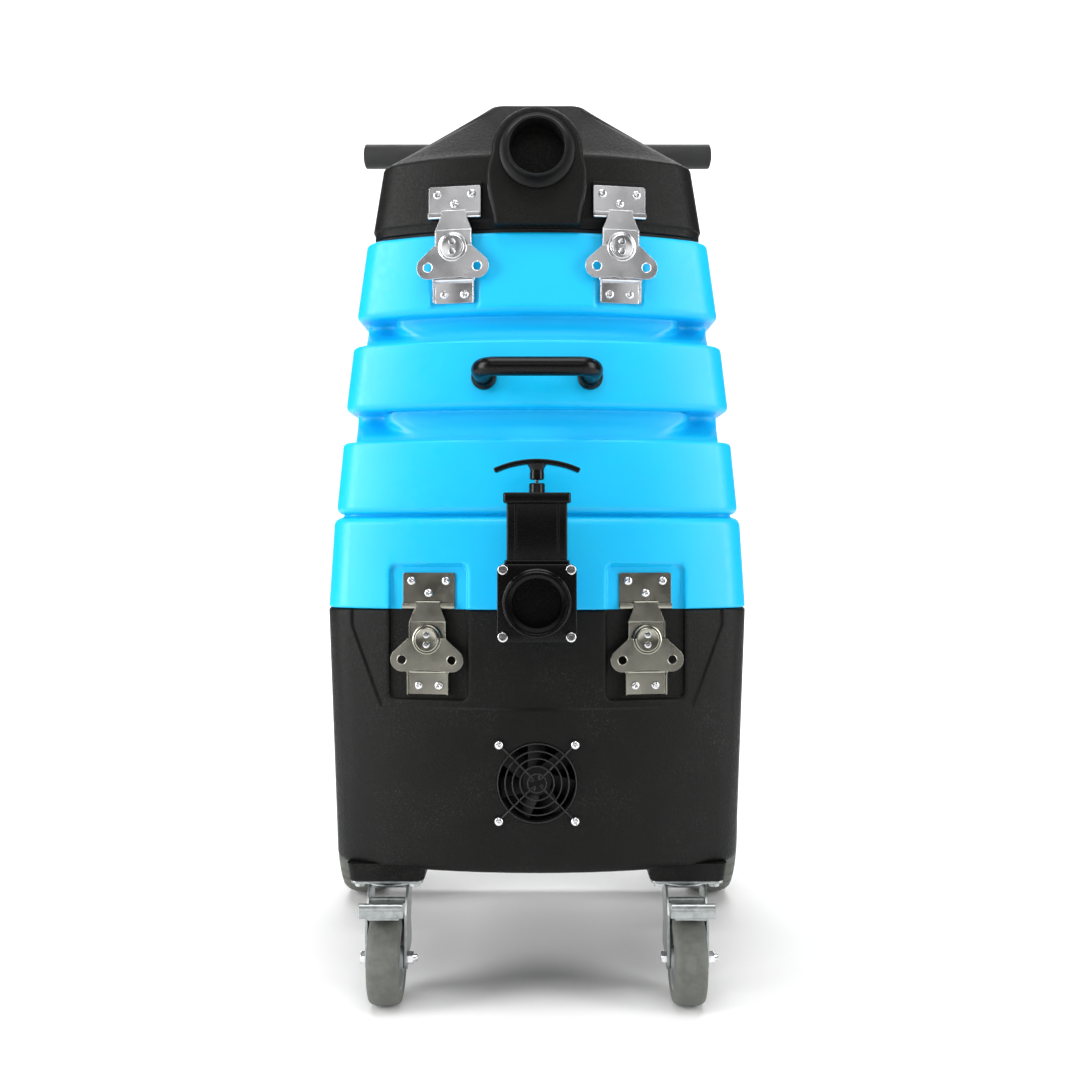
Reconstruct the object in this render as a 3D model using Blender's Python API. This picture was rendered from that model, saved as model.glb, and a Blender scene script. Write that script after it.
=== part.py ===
"""Portable carpet cleaner machine: a black base on two castors and two large wheels,
a ribbed recovery tank that tilts back on it, and a black lid with the vacuum inlet.

Metres, +Z up, front towards -Y, +X to the right of someone who faces the front.
The origin lies on the floor, under the middle of the machine.
"""

import math

import bmesh
import bpy
from mathutils import Matrix
from mathutils import Vector

# Casings, seen from above: a bowed front, rounded corners and a flat back
FRONT_Y = -0.270
REAR_Y = 0.285
BOW = 0.052
FRONT_CORNER = 0.040
REAR_CORNER = 0.012
LEAN = 0.060
RUN_GAP = 0.0003

# Base housing
BASE_BOTTOM = 0.153
BASE_TOP = 0.4390
BASE_HALF_BOTTOM = 0.2265
BASE_HALF_TOP = 0.2372
BASE_WALL = 0.0060
BASE_EDGE = 0.009
RIM_FLANGE = 0.016
TRAPEZOID_DEPTH = 0.0025
TRAPEZOID_LOW = 0.332
TRAPEZOID_HALF_LOW = 0.172
TRAPEZOID_HALF_HIGH = 0.206

# Tank: ribs from the bottom up, each with its height range and half widths
TANK_BOTTOM = BASE_TOP + 0.0006
TANK_TOP = 0.855
TANK_WALL = 0.0065
RIB_4 = (TANK_BOTTOM, 0.5410, 0.2372, 0.2316)
RIB_3 = (0.5440, 0.6260, 0.2298, 0.2222)
RIB_2 = (0.6600, 0.7360, 0.2201, 0.2115)
RIB_1 = (0.7650, TANK_TOP, 0.2085, 0.1967)
RIB_EDGE = 0.005
GROOVE_SET_BACK = 0.020
GROOVE_SIDE = 0.010
GROOVE_WAIST = 0.040
GROOVE_CLEAR = 0.0006
PARTITION_Y = 0.100
PARTITION_TOP = 0.840
PARTITION_THICK = 0.003
SUMP_HALF = 0.0355
SUMP_LOW = 0.4145
SUMP_TOP = 0.4860
SUMP_BACK = -0.190

# Lid
GASKET = 0.0040
LID_BOTTOM = TANK_TOP + GASKET + 2.0 * RUN_GAP
LID_FRONT_Y = -0.2430
LID_HALF_BOTTOM = 0.1895
LID_HALF_SHOULDER = 0.1790
LID_SHOULDER_Z = 0.9455
LID_SHOULDER_RISE = 0.0005
LID_ROOF_Z = 1.0140
LID_ROOF_HALF = 0.0540
LID_ROOF_FRONT = -0.180
LID_ROOF_REAR = 0.040
LID_WALL = 0.0050
PYLON_FACE = -0.2580
PYLON_HALF = 0.0560
PYLON_TOP_HALF = 0.0490
PYLON_CROWN = 0.9900
PYLON_FOOT_HALF = 0.0480
PYLON_FOOT_TOP = 0.8760
PYLON_FLARE_TOP = 0.8880
INLET_Z = 0.9400
INLET_BORE = 0.0600
INLET_OUTER = 0.0660
INLET_FLANGE = 0.0820
INLET_FRONT = -0.2770

# Hinges at the back
HINGE_HALF = 0.060
HINGE_PIN = 0.0050
HINGE_KNUCKLE = 0.0110
HINGE_LEAF = 0.0020
HINGE_LEAF_TALL = 0.032
HINGE_AXIS_Y = REAR_Y + RUN_GAP + HINGE_KNUCKLE / 2.0 + 0.0007

# Push handle
BAR_LENGTH = 0.542
BAR_DIAMETER = 0.038
BAR_Y = 0.330
BAR_Z = 1.113
UPRIGHT_X = 0.205
UPRIGHT_DIAMETER = 0.028

# Drain valve on the tank
VALVE_Z = 0.450
VALVE_WIDE = 0.0826
VALVE_TALL = 0.0810
VALVE_BACK = -0.2853
VALVE_FRONT = -0.3300
VALVE_FLANGE = 0.0120
VALVE_WAIST = 0.0635
VALVE_BORE = 0.0520
HUB_BORE = 0.0603
HUB_OUTER = 0.0670
HUB_FRONT = -0.3550
BLADE_WIDE = 0.0570
BLADE_THICK = 0.0040
BLADE_TRAVEL = 0.0570
BONNET_TOP = 0.5540
BONNET_DEEP = 0.0240
CAP_WIDE = 0.0706
CAP_DEEP = 0.0310
CAP_TOP = 0.5650
GLAND_TOP = 0.5750
STEM = 0.0040
T_BOTTOM = 0.5785
T_TOP = 0.6005
T_WIDE = 0.0920
T_DEEP = 0.0180

# Grab handle on the tank
GRAB_Z = 0.6935
GRAB_PAD_X = 0.0582
GRAB_TUBE = 0.0205
GRAB_HALF = 0.0715
GRAB_REACH = 0.0480

# Rotary draw latches; local x is along the seam, local z up, depth is measured off the seat
LOWER_LATCH_X = 0.1185
LOWER_LATCH_Z = 0.4065
LOWER_LATCH_ANGLE = math.radians(10.0)
UPPER_LATCH_X = 0.0910
UPPER_LATCH_Z = 0.8380
UPPER_LATCH_ANGLE = math.radians(11.0)
UPPER_SEAT_Y = -0.2348
POCKET_INNER = 0.0435
POCKET_OUTER = 0.0445
POCKET_DEPTH = 0.0080
POCKET_LOW = 0.341
POCKET_HIGH = 0.488
POCKET_CORNER = 0.007
BACKING = 0.0055
SHEET = 0.0015
KEEPER_HALF = 0.0295
KEEPER_TOP = 0.0730
KEEPER_LIP_LOW = 0.0330
KEEPER_LIP_TOP = 0.0395
MOUNT_HALF = 0.02325
MOUNT_LOW = -0.0605
PIVOT_DROP = 0.0350
PIVOT_DEPTH = 0.0055
PIVOT_PIN = 0.0040
LINK_HALF = 0.02075
TONGUE_HALF = 0.0135
DRAW = 0.0030
WING_X = 0.0280
WING_Z = -0.0220
WING_RADIUS = 0.0130
WING_HOLE = 0.0092
DISC = 0.0270

# Cooling fan behind the front wall
FAN_Z = 0.2527
FAN_SQUARE = 0.092
FAN_HOLE = 0.086
FAN_DEEP = 0.025
FAN_PITCH = 0.0825
FAN_BLADES = 7
GUARD_RINGS = (0.0102, 0.0184, 0.0267, 0.0346, 0.0427)
GUARD_WIRE = 0.0019
GUARD_FRONT = 0.0024
GUARD_BACK = 0.0006

# Castors
CASTOR_X = 0.167
CASTOR_SWIVEL_Y = -0.192
CASTOR_TRAIL = 0.038
CASTOR_RADIUS = 0.0508
CASTOR_WIDE = 0.036
CASTOR_BOSS_BOTTOM = 0.137
CASTOR_PLATE_X = 0.080
CASTOR_PLATE_Y = 0.084
CASTOR_PLATE_THICK = 0.003
CROWN_TOP = 0.1295
CROWN_BOTTOM = 0.1255
CROWN_RADIUS = 0.030
FORK_GAP = 0.040
FORK_SHEET = 0.003
KING_PIN = 0.010
AXLE_BOLT = 0.008
PEDAL_HALF = 0.024
PEDAL_PIVOT_Y = -0.222
PEDAL_PIVOT_Z = 0.1125

# Rear wheels
WHEEL_RADIUS = 0.127
WHEEL_WIDE = 0.062
WHEEL_X = 0.247
WHEEL_Y = 0.228
AXLE = 0.016
WELL_RADIUS = 0.140
WELL_X = 0.205

# Electrical pieces at the back
PANEL_HALF = 0.085
PANEL_LOW = 0.320
PANEL_HIGH = 0.385
PANEL_THICK = 0.003
ROCKER_X = (-0.060, -0.025)
ROCKER_HALF_X = 0.0085
ROCKER_HALF_Z = 0.0125
ROCKER_TILT = 0.15
POWER_INLET_X = 0.045

# Pieces inside
MOTOR_Y = 0.070
MOTOR_RADIUS = 0.0725
PUMP_X = -0.080
PUMP_Y = -0.100
PIPE_X = 0.100
PIPE_Y = -0.060
PIPE_OUTER = 0.0250
PIPE_INNER = 0.0220
PIPE_TOP = 0.800

CIRCLE_STEPS = 18
BOW_STEPS = 8
CORNER_STEPS = 6
REAR_STEPS = 2


# ---------------------------------------------------------------- helpers

def clear_scene():
    """Start from an empty scene."""
    for item in list(bpy.data.objects):
        bpy.data.objects.remove(item, do_unlink=True)


def finish(name, colour, roughness, metallic=0.0):
    """One Principled material."""
    made = bpy.data.materials.new(name)
    made.use_nodes = True
    shader = made.node_tree.nodes["Principled BSDF"]
    shader.inputs["Base Color"].default_value = (*colour, 1.0)
    shader.inputs["Roughness"].default_value = roughness
    shader.inputs["Metallic"].default_value = metallic
    return made


def standing(item):
    """Where an empty stands in the world, added up through its parents."""
    place = Vector()
    while item:
        place += item.location
        item = item.parent
    return place


def pivot(name, place, parent=None):
    """An empty on a joint's axis, which carries the pieces of one moving body."""
    empty = bpy.data.objects.new(name, None)
    empty.empty_display_size = 0.03
    empty.parent = parent
    empty.location = Vector(place) - standing(parent)
    bpy.context.collection.objects.link(empty)
    return empty


def new_object(name, shape, carrier=None):
    """An object from a bmesh in world coordinates, with its origin at its carrier."""
    bmesh.ops.recalc_face_normals(shape, faces=shape.faces)
    bmesh.ops.translate(shape, verts=shape.verts, vec=-standing(carrier))
    mesh = bpy.data.meshes.new(name)
    shape.to_mesh(mesh)
    shape.free()
    made = bpy.data.objects.new(name, mesh)
    made.parent = carrier
    bpy.context.collection.objects.link(made)
    return made


def piece(name, shape, material, carrier=None, smooth=False):
    """One physical piece of the machine."""
    made = new_object(name, shape, carrier)
    made.data.materials.append(material)
    if smooth:
        made.data.shade_smooth()
        made.data.set_sharp_from_angle(angle=math.radians(35.0))
    return made


def with_tool(target, name, shape, operation):
    """Cut or join a hidden solid, which stays editable as a Boolean."""
    tool = new_object(name, shape, target.parent)
    tool.hide_render = True
    tool.display_type = 'WIRE'
    step = target.modifiers.new(name, 'BOOLEAN')
    step.operation = operation
    step.solver = 'EXACT'
    step.object = tool


def cut(target, name, shape):
    """Take a solid away from a piece."""
    with_tool(target, name, shape, 'DIFFERENCE')


def join(target, name, shape):
    """Add a solid to a piece."""
    with_tool(target, name, shape, 'UNION')


def block(shape, low, high):
    """A box between two corners."""
    middle = [(a + b) / 2.0 for a, b in zip(low, high)]
    size = [b - a for a, b in zip(low, high)]
    placed = Matrix.Translation(middle) @ Matrix.Diagonal((*size, 1.0))
    bmesh.ops.create_cube(shape, size=1.0, matrix=placed)


def loft(shape, rings):
    """Skin rings of equal length and close both ends."""
    rows = [[shape.verts.new(point) for point in ring] for ring in rings]
    count = len(rows[0])
    for lower, upper in zip(rows, rows[1:]):
        for i in range(count):
            j = (i + 1) % count
            shape.faces.new((lower[i], lower[j], upper[j], upper[i]))
    shape.faces.new(rows[0][::-1])
    shape.faces.new(rows[-1])


def on_axis(axis, first, second, along):
    """A point from two coordinates across an axis and one along it."""
    if axis == 'X':
        return Vector((along, first, second))
    if axis == 'Y':
        return Vector((first, along, second))
    return Vector((first, second, along))


def prism(shape, outline, axis, start, end):
    """An outline pushed along an axis."""
    loft(shape, [[on_axis(axis, a, b, along) for a, b in outline] for along in (start, end)])


def arc(centre, radius, start, end, steps):
    """Points on an arc, in degrees, both ends included."""
    turns = [math.radians(start + (end - start) * i / steps) for i in range(steps + 1)]
    return [(centre[0] + radius * math.cos(t), centre[1] + radius * math.sin(t)) for t in turns]


def circle(centre, radius, steps=CIRCLE_STEPS):
    """Points round a circle."""
    return arc(centre, radius, 0.0, 360.0, steps)[:-1]


def rounded(low, high, radius, steps=3):
    """A rectangle with rounded corners."""
    left, bottom = low[0] + radius, low[1] + radius
    right, top = high[0] - radius, high[1] - radius
    return (arc((left, bottom), radius, 180.0, 270.0, steps)
            + arc((right, bottom), radius, 270.0, 360.0, steps)
            + arc((right, top), radius, 0.0, 90.0, steps)
            + arc((left, top), radius, 90.0, 180.0, steps))


def rod(shape, axis, centre, diameter, start, end, steps=CIRCLE_STEPS):
    """A round bar along an axis."""
    prism(shape, circle(centre, diameter / 2.0, steps), axis, start, end)


def turned(shape, axis, centre, profile, steps=CIRCLE_STEPS):
    """A ring turned from a closed profile of (radius, place along the axis) points."""
    rows = []
    for i in range(steps):
        angle = 2.0 * math.pi * i / steps
        across = (math.cos(angle), math.sin(angle))
        rows.append([shape.verts.new(on_axis(axis, centre[0] + r * across[0],
                                             centre[1] + r * across[1], along))
                     for r, along in profile])
    count = len(profile)
    for i in range(steps):
        row, following = rows[i], rows[(i + 1) % steps]
        for j in range(count):
            k = (j + 1) % count
            shape.faces.new((row[j], row[k], following[k], following[j]))


def tube(shape, path, radius, sides=12):
    """A round tube of constant thickness along a path in one plane."""
    path = [Vector(point) for point in path]
    ways = [(b - a).normalized() for a, b in zip(path, path[1:])]
    normal = Vector((1.0, 0.0, 0.0))
    if abs(ways[0].dot(normal)) > 0.9 or abs(ways[-1].dot(normal)) > 0.9 or len(path) > 2:
        spread = [a.cross(b) for a, b in zip(ways, ways[1:])]
        longest = max(spread, key=lambda v: v.length, default=Vector())
        normal = longest.normalized() if longest.length > 1e-6 else Vector((0.0, 0.0, 1.0))
    rings = []
    for i, point in enumerate(path):
        before = ways[max(i - 1, 0)]
        after = ways[min(i, len(ways) - 1)]
        bisector = (before + after).normalized()
        side = bisector.cross(normal).normalized()
        stretch = 1.0 / max(bisector.dot(after), 0.5)
        rings.append([point + side * radius * stretch * math.cos(2.0 * math.pi * k / sides)
                      + normal * radius * math.sin(2.0 * math.pi * k / sides)
                      for k in range(sides)])
    loft(shape, rings)


def bend(corner, before, after, radius, steps):
    """Points that round a corner of a path, as an arc that touches both straights."""
    corner, before, after = Vector(corner), Vector(before), Vector(after)
    back = (before - corner).normalized()
    ahead = (after - corner).normalized()
    half = back.angle(ahead) / 2.0
    centre = corner + (back + ahead).normalized() * radius / math.sin(half)
    start = corner + back * radius / math.tan(half) - centre
    end = corner + ahead * radius / math.tan(half) - centre
    sweep = start.angle(end)
    points = []
    for i in range(steps + 1):
        t = i / steps
        points.append(centre + (start * math.sin((1.0 - t) * sweep)
                                + end * math.sin(t * sweep)) / math.sin(sweep))
    return points


def moved(shape, matrix):
    """Place a bmesh that was drawn in local coordinates."""
    bmesh.ops.transform(shape, matrix=matrix, verts=shape.verts)
    return shape


# ---------------------------------------------------------------- casing outlines

def bow_radius(half):
    """Radius of the bowed front of a casing."""
    return (half * half + BOW * BOW) / (2.0 * BOW)


def bow_drop(x, half):
    """How far the bowed front lies behind its middle, at x."""
    radius = bow_radius(half)
    return radius - math.sqrt(radius * radius - x * x)


def plan(half, front, inset=0.0, front_corner=FRONT_CORNER, rear=REAR_Y):
    """Outline of a casing from above, or the same outline moved in by inset."""
    radius = bow_radius(half) - inset
    corner = max(front_corner - inset, 0.004)
    rear_corner = max(REAR_CORNER - inset, 0.003)
    half = half - inset
    middle_y = front + inset + radius
    corner_y = middle_y - math.sqrt((radius - corner) ** 2 - (half - corner) ** 2)
    tangent = math.degrees(math.atan2(corner_y - middle_y, half - corner))
    side = half - corner
    back_x = half - rear_corner
    back_y = rear - inset - rear_corner
    return (arc((0.0, middle_y), radius, -180.0 - tangent, tangent, BOW_STEPS)
            + arc((side, corner_y), corner, tangent, 0.0, CORNER_STEPS)[1:]
            + arc((back_x, back_y), rear_corner, 0.0, 90.0, REAR_STEPS)
            + arc((-back_x, back_y), rear_corner, 90.0, 180.0, REAR_STEPS)
            + arc((-side, corner_y), corner, 180.0, 180.0 - tangent, CORNER_STEPS)[:-1])


def groove_plan(half, front, inset=0.0):
    """Outline of the tank between two ribs: a narrow bowed front wall with deeper corners."""
    side = half - GROOVE_SIDE - inset
    wall = side - GROOVE_WAIST
    y = front + GROOVE_SET_BACK + inset
    radius = bow_radius(half)
    corner = [(wall - 0.006, 0.0), (wall, 0.006), (wall + 0.003, 0.030), (wall + 0.010, 0.036),
              (side - 0.010, 0.040), (side, 0.050), (side, 0.060)]
    depth = radius - math.sqrt(radius * radius - corner[0][0] ** 2)
    right = [(x, y + depth + back) for x, back in corner]
    left = [(-x, back) for x, back in right[::-1]]
    bow = [corner[0][0] * (2.0 * i / BOW_STEPS - 1.0) for i in range(1, BOW_STEPS)]
    front_wall = [(x, y + radius - math.sqrt(radius * radius - x * x)) for x in bow]
    rear = REAR_Y - GROOVE_SIDE - inset
    corner_rear = max(REAR_CORNER - inset, 0.003)
    back_x = side - corner_rear
    back_y = rear - corner_rear
    return ([left[-1]] + front_wall + right
            + arc((back_x, back_y), corner_rear, 0.0, 90.0, REAR_STEPS)
            + arc((-back_x, back_y), corner_rear, 90.0, 180.0, REAR_STEPS)
            + left[:-1])


def level(outline, z):
    """An outline lifted to a height."""
    return [(x, y, z) for x, y in outline]


def lean(z):
    """Front of the tank at a height."""
    return FRONT_Y + LEAN * max(z - TANK_BOTTOM, 0.0)


def between(z, low, high, at_low, at_high):
    """Straight line between two values."""
    return at_low + (at_high - at_low) * (z - low) / (high - low)


def rib_half(rib, z):
    """Half width of a rib at a height."""
    return between(z, rib[0], rib[1], rib[2], rib[3])


# ---------------------------------------------------------------- base

def base_half(z):
    """Half width of the base housing at a height."""
    return between(z, BASE_BOTTOM, BASE_TOP, BASE_HALF_BOTTOM, BASE_HALF_TOP)


def base_shell():
    """The moulded housing as one skin: outside, rim and inside."""
    edge = BASE_EDGE
    outer = [(BASE_BOTTOM, edge), (BASE_BOTTOM + 0.3 * edge, 0.3 * edge),
             (BASE_BOTTOM + edge, 0.0), (BASE_TOP - 0.003, 0.0), (BASE_TOP, 0.003)]
    inner = [(BASE_TOP, RIM_FLANGE), (BASE_TOP - 0.006, RIM_FLANGE),
             (BASE_TOP - 0.012, BASE_WALL), (BASE_BOTTOM + edge + BASE_WALL, BASE_WALL),
             (BASE_BOTTOM + BASE_WALL, edge + BASE_WALL)]
    shape = bmesh.new()
    loft(shape, [level(plan(base_half(z), FRONT_Y, inset), z) for z, inset in outer + inner])
    return shape


def trapezoid_recess():
    """The shallow step in the front wall round the latches, which follows the bow."""
    half = base_half(TRAPEZOID_LOW)
    low_half, high_half = TRAPEZOID_HALF_LOW, TRAPEZOID_HALF_HIGH
    steps = [-high_half, -low_half, -0.130, -0.087, -0.043, 0.0, 0.043, 0.087, 0.130, low_half, high_half]
    rings = []
    for x in steps:
        low = TRAPEZOID_LOW
        if abs(x) > low_half:
            low = BASE_TOP - 0.018
        back = FRONT_Y + bow_drop(x, half) + TRAPEZOID_DEPTH
        rings.append([(x, back - 0.030, low), (x, back, low),
                      (x, back, BASE_TOP + 0.010), (x, back - 0.030, BASE_TOP + 0.010)])
    shape = bmesh.new()
    loft(shape, rings)
    return shape


def well_liner(shape, side):
    """Inner wall of a wheel well, which keeps the housing closed."""
    radius = WELL_RADIUS + BASE_WALL
    low = BASE_BOTTOM + 0.004
    back = REAR_Y - 0.004
    z = WHEEL_RADIUS
    first = math.degrees(math.asin((low - z) / radius))
    last = math.degrees(math.acos((back - WHEEL_Y) / radius))
    outline = arc((WHEEL_Y, z), radius, 180.0 - first, last, 14) + [(back, low)]
    inner = side * (WELL_X - BASE_WALL)
    outer = side * (BASE_HALF_BOTTOM - 0.003)
    prism(shape, outline, 'X', min(inner, outer), max(inner, outer))


def castor_boss(shape, side):
    """Tapered block under the housing that a castor is bolted to."""
    rings = []
    for z, grow in ((CASTOR_BOSS_BOTTOM, 0.0), (BASE_BOTTOM + 0.003, 0.004)):
        low = (side * CASTOR_X - CASTOR_PLATE_X / 2.0 - 0.001 - grow,
               CASTOR_SWIVEL_Y - CASTOR_PLATE_Y / 2.0 - grow)
        high = (side * CASTOR_X + CASTOR_PLATE_X / 2.0 + 0.001 + grow,
                CASTOR_SWIVEL_Y + CASTOR_PLATE_Y / 2.0 + grow)
        rings.append(level(rounded(low, high, 0.006), z))
    loft(shape, rings)


def latch_frame(side, x, seat_y, z, angle):
    """Matrix from a latch's local space, where -Y points off its seat."""
    return Matrix.Translation((side * x, seat_y, z)) @ Matrix.Rotation(side * angle, 4, 'Z')


def lower_frame(side):
    """Place of a lower latch in its pocket."""
    inner_x = LOWER_LATCH_X - POCKET_INNER
    half = base_half(TRAPEZOID_LOW)
    inner_y = FRONT_Y + bow_drop(inner_x, half) + TRAPEZOID_DEPTH + POCKET_DEPTH
    seat_y = inner_y + POCKET_INNER * math.tan(LOWER_LATCH_ANGLE)
    return latch_frame(side, LOWER_LATCH_X, seat_y, LOWER_LATCH_Z, LOWER_LATCH_ANGLE)


def upper_frame(side):
    """Place of an upper latch on the top rib."""
    return latch_frame(side, UPPER_LATCH_X, UPPER_SEAT_Y, UPPER_LATCH_Z, UPPER_LATCH_ANGLE)


def mirrored(outline, side):
    """An outline for the right, or its mirror image for the left."""
    if side > 0:
        return outline
    return [(-x, y) for x, y in outline[::-1]]


def pocket_tool(side):
    """The space of a latch pocket in front of its flat floor."""
    outline = rounded((-POCKET_INNER, POCKET_LOW - LOWER_LATCH_Z),
                      (POCKET_OUTER, POCKET_HIGH - LOWER_LATCH_Z), POCKET_CORNER)
    shape = bmesh.new()
    prism(shape, mirrored(outline, side), 'Y', -0.040, 0.0)
    return moved(shape, lower_frame(side))


def pocket_backing(side, low, high, front):
    """Thickening behind a pocket, drawn between two heights."""
    outline = [(-POCKET_INNER - 0.006, -front - 0.0045), (POCKET_OUTER + 0.006, -front),
               (POCKET_OUTER + 0.006, BACKING), (-POCKET_INNER - 0.006, BACKING)]
    shape = bmesh.new()
    prism(shape, mirrored(outline, side), 'Z', low - LOWER_LATCH_Z, high - LOWER_LATCH_Z)
    return moved(shape, lower_frame(side))


def merged(*shapes):
    """Several separate solids in one bmesh."""
    whole = bmesh.new()
    for shape in shapes:
        mesh = bpy.data.meshes.new("merged")
        shape.to_mesh(mesh)
        shape.free()
        whole.from_mesh(mesh)
        bpy.data.meshes.remove(mesh)
    return whole


def axle_boss(shape, side):
    """Block under the housing that holds the rear axle."""
    inner, outer = side * 0.150, side * 0.190
    outline = (arc((WHEEL_Y, WHEEL_RADIUS), 0.020, 180.0, 360.0, 8)
               + [(WHEEL_Y + 0.032, BASE_BOTTOM + 0.003), (WHEEL_Y - 0.032, BASE_BOTTOM + 0.003)])
    prism(shape, outline, 'X', min(inner, outer), max(inner, outer))


def make_base(looks):
    """Housing with its wells, pockets, notch, fan hole and panel window."""
    housing = piece("base_housing", base_shell(), looks["black_shell"])
    bosses = bmesh.new()
    for side in (-1, 1):
        well_liner(bosses, side)
        castor_boss(bosses, side)
        axle_boss(bosses, side)
    join(housing, "base_bosses", bosses)
    backings = [pocket_backing(side, POCKET_LOW - 0.006, BASE_TOP - 0.0005, 0.0) for side in (-1, 1)]
    join(housing, "base_pocket_backings", merged(*backings))
    cut(housing, "base_trapezoid", trapezoid_recess())
    cut(housing, "base_pockets", merged(pocket_tool(-1), pocket_tool(1)))

    openings = bmesh.new()
    for side in (-1, 1):
        ends = (side * WELL_X, side * 0.300)
        rod(openings, 'X', (WHEEL_Y, WHEEL_RADIUS), 2.0 * WELL_RADIUS, min(ends), max(ends), 32)
    rod(openings, 'X', (WHEEL_Y, WHEEL_RADIUS), AXLE + 2.0 * RUN_GAP, -0.195, 0.195, 16)
    rod(openings, 'Y', (0.0, FAN_Z), FAN_HOLE, FRONT_Y - 0.010, FRONT_Y + 0.012, 24)
    block(openings, (-SUMP_HALF - 0.001, FRONT_Y - 0.020, SUMP_LOW - 0.001),
          (SUMP_HALF + 0.001, SUMP_BACK + 0.004, BASE_TOP + 0.010))
    block(openings, (-PANEL_HALF + 0.008, REAR_Y - 0.012, PANEL_LOW + 0.008),
          (PANEL_HALF - 0.008, REAR_Y + 0.004, PANEL_HIGH - 0.008))
    cut(housing, "base_openings", openings)
    return housing


# ---------------------------------------------------------------- tank

def rib_levels(rib):
    """Heights and insets that give a rib its eased edges."""
    low, high = rib[0], rib[1]
    edge = RIB_EDGE
    return [(low, edge), (low + edge, 0.0), (high - edge, 0.0), (high, edge)]


def rib_rings(rib, levels):
    """Rings of one rib."""
    return [level(plan(rib_half(rib, z), lean(z), inset), z) for z, inset in levels]


def groove_rings(lower, upper, wall=0.0):
    """Rings of the set-back wall between two ribs."""
    half = (lower[3] + upper[2]) / 2.0
    low, high = lower[1] - wall, upper[0] + wall
    front = lean((low + high) / 2.0)
    return [level(groove_plan(half, front, wall), low + GROOVE_CLEAR),
            level(groove_plan(half, front, wall), high - GROOVE_CLEAR)]


def tank_shell_shape():
    """The moulded tank as one skin."""
    wall = TANK_WALL
    notch = (RIB_4[1] + RIB_3[0]) / 2.0
    outer = rib_rings(RIB_4, rib_levels(RIB_4))
    outer += [level(plan(RIB_4[3], lean(notch), RIB_EDGE + 0.003), notch)]
    outer += rib_rings(RIB_3, rib_levels(RIB_3))
    outer += groove_rings(RIB_3, RIB_2)
    outer += rib_rings(RIB_2, rib_levels(RIB_2))
    outer += groove_rings(RIB_2, RIB_1)
    outer += rib_rings(RIB_1, rib_levels(RIB_1))
    inner = [level(plan(RIB_1[3], lean(TANK_TOP), RIM_FLANGE), TANK_TOP),
             level(plan(RIB_1[3], lean(TANK_TOP), RIM_FLANGE), TANK_TOP - 0.006),
             level(plan(rib_half(RIB_1, TANK_TOP - 0.014), lean(TANK_TOP - 0.014), wall),
                   TANK_TOP - 0.014),
             level(plan(rib_half(RIB_1, RIB_1[0] + wall), lean(RIB_1[0] + wall), wall),
                   RIB_1[0] + wall)]
    inner += groove_rings(RIB_2, RIB_1, wall)[::-1]
    inner += rib_rings(RIB_2, [(RIB_2[1] - wall, wall), (RIB_2[0] + wall, wall)])
    inner += groove_rings(RIB_3, RIB_2, wall)[::-1]
    inner += rib_rings(RIB_3, [(RIB_3[1] - wall, wall), (RIB_3[0] + 0.012, wall)])
    inner += [level(plan(RIB_4[3], lean(notch), wall + 0.010), notch)]
    inner += rib_rings(RIB_4, [(RIB_4[1] - 0.012, wall), (TANK_BOTTOM + wall + 0.004, wall),
                               (TANK_BOTTOM + wall, wall + 0.005)])
    shape = bmesh.new()
    loft(shape, outer + inner)
    return shape


def partition():
    """Wall that parts the recovery chamber, in front, from the solution chamber."""
    inset = PARTITION_THICK
    outline = []
    for rib in (RIB_4, RIB_3, RIB_2, RIB_1):
        low = max(rib[0], TANK_BOTTOM + inset)
        high = min(rib[1], PARTITION_TOP)
        outline.append((rib_half(rib, low) - inset, low + 0.002))
        outline.append((rib_half(rib, high) - inset, high - 0.002))
        if rib in (RIB_3, RIB_2):
            outline.append((rib[3] - GROOVE_SIDE - inset, high - 0.002))
            outline.append((rib[3] - GROOVE_SIDE - inset, high + 0.028))
        if rib is RIB_4:
            outline.append((rib[3] - RIB_EDGE - 0.005, high))
    mirrored_side = [(-x, z) for x, z in outline[::-1]]
    shape = bmesh.new()
    prism(shape, outline + mirrored_side, 'Y', PARTITION_Y, PARTITION_Y + PARTITION_THICK)
    return shape


def make_tank(looks, tilt):
    """Tank shell with its sump, pockets, partition and drain bore."""
    shell = piece("tank_shell", tank_shell_shape(), looks["cyan_shell"], tilt)
    extra = bmesh.new()
    block(extra, (-SUMP_HALF, VALVE_BACK + RUN_GAP, SUMP_LOW), (SUMP_HALF, SUMP_BACK, SUMP_TOP))
    join(shell, "tank_sump", extra)
    join(shell, "tank_partition", partition())
    backings = [pocket_backing(side, TANK_BOTTOM + 0.0005, POCKET_HIGH + 0.006, 0.002)
                for side in (-1, 1)]
    join(shell, "tank_pocket_backings", merged(*backings))
    cut(shell, "tank_pockets", merged(pocket_tool(-1), pocket_tool(1)))
    seats = []
    for side in (-1, 1):
        seat = bmesh.new()
        block(seat, (-MOUNT_HALF - 0.002, -0.020, MOUNT_LOW - 0.003),
              (MOUNT_HALF + 0.002, 0.0, -PIVOT_DROP + 0.008))
        seats.append(moved(seat, upper_frame(side)))
    cut(shell, "tank_latch_seats", merged(*seats))
    bores = bmesh.new()
    rod(bores, 'Y', (0.0, VALVE_Z), VALVE_BORE, VALVE_BACK - 0.010, SUMP_BACK - 0.012, 20)
    cut(shell, "tank_drain_bore", bores)
    well = bmesh.new()
    block(well, (-SUMP_HALF + 0.006, -0.258, VALVE_Z - VALVE_BORE / 2.0 + 0.0005),
          (SUMP_HALF - 0.006, SUMP_BACK - 0.006, 0.500))
    cut(shell, "tank_sump_well", well)
    return shell


# ---------------------------------------------------------------- lid

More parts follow.
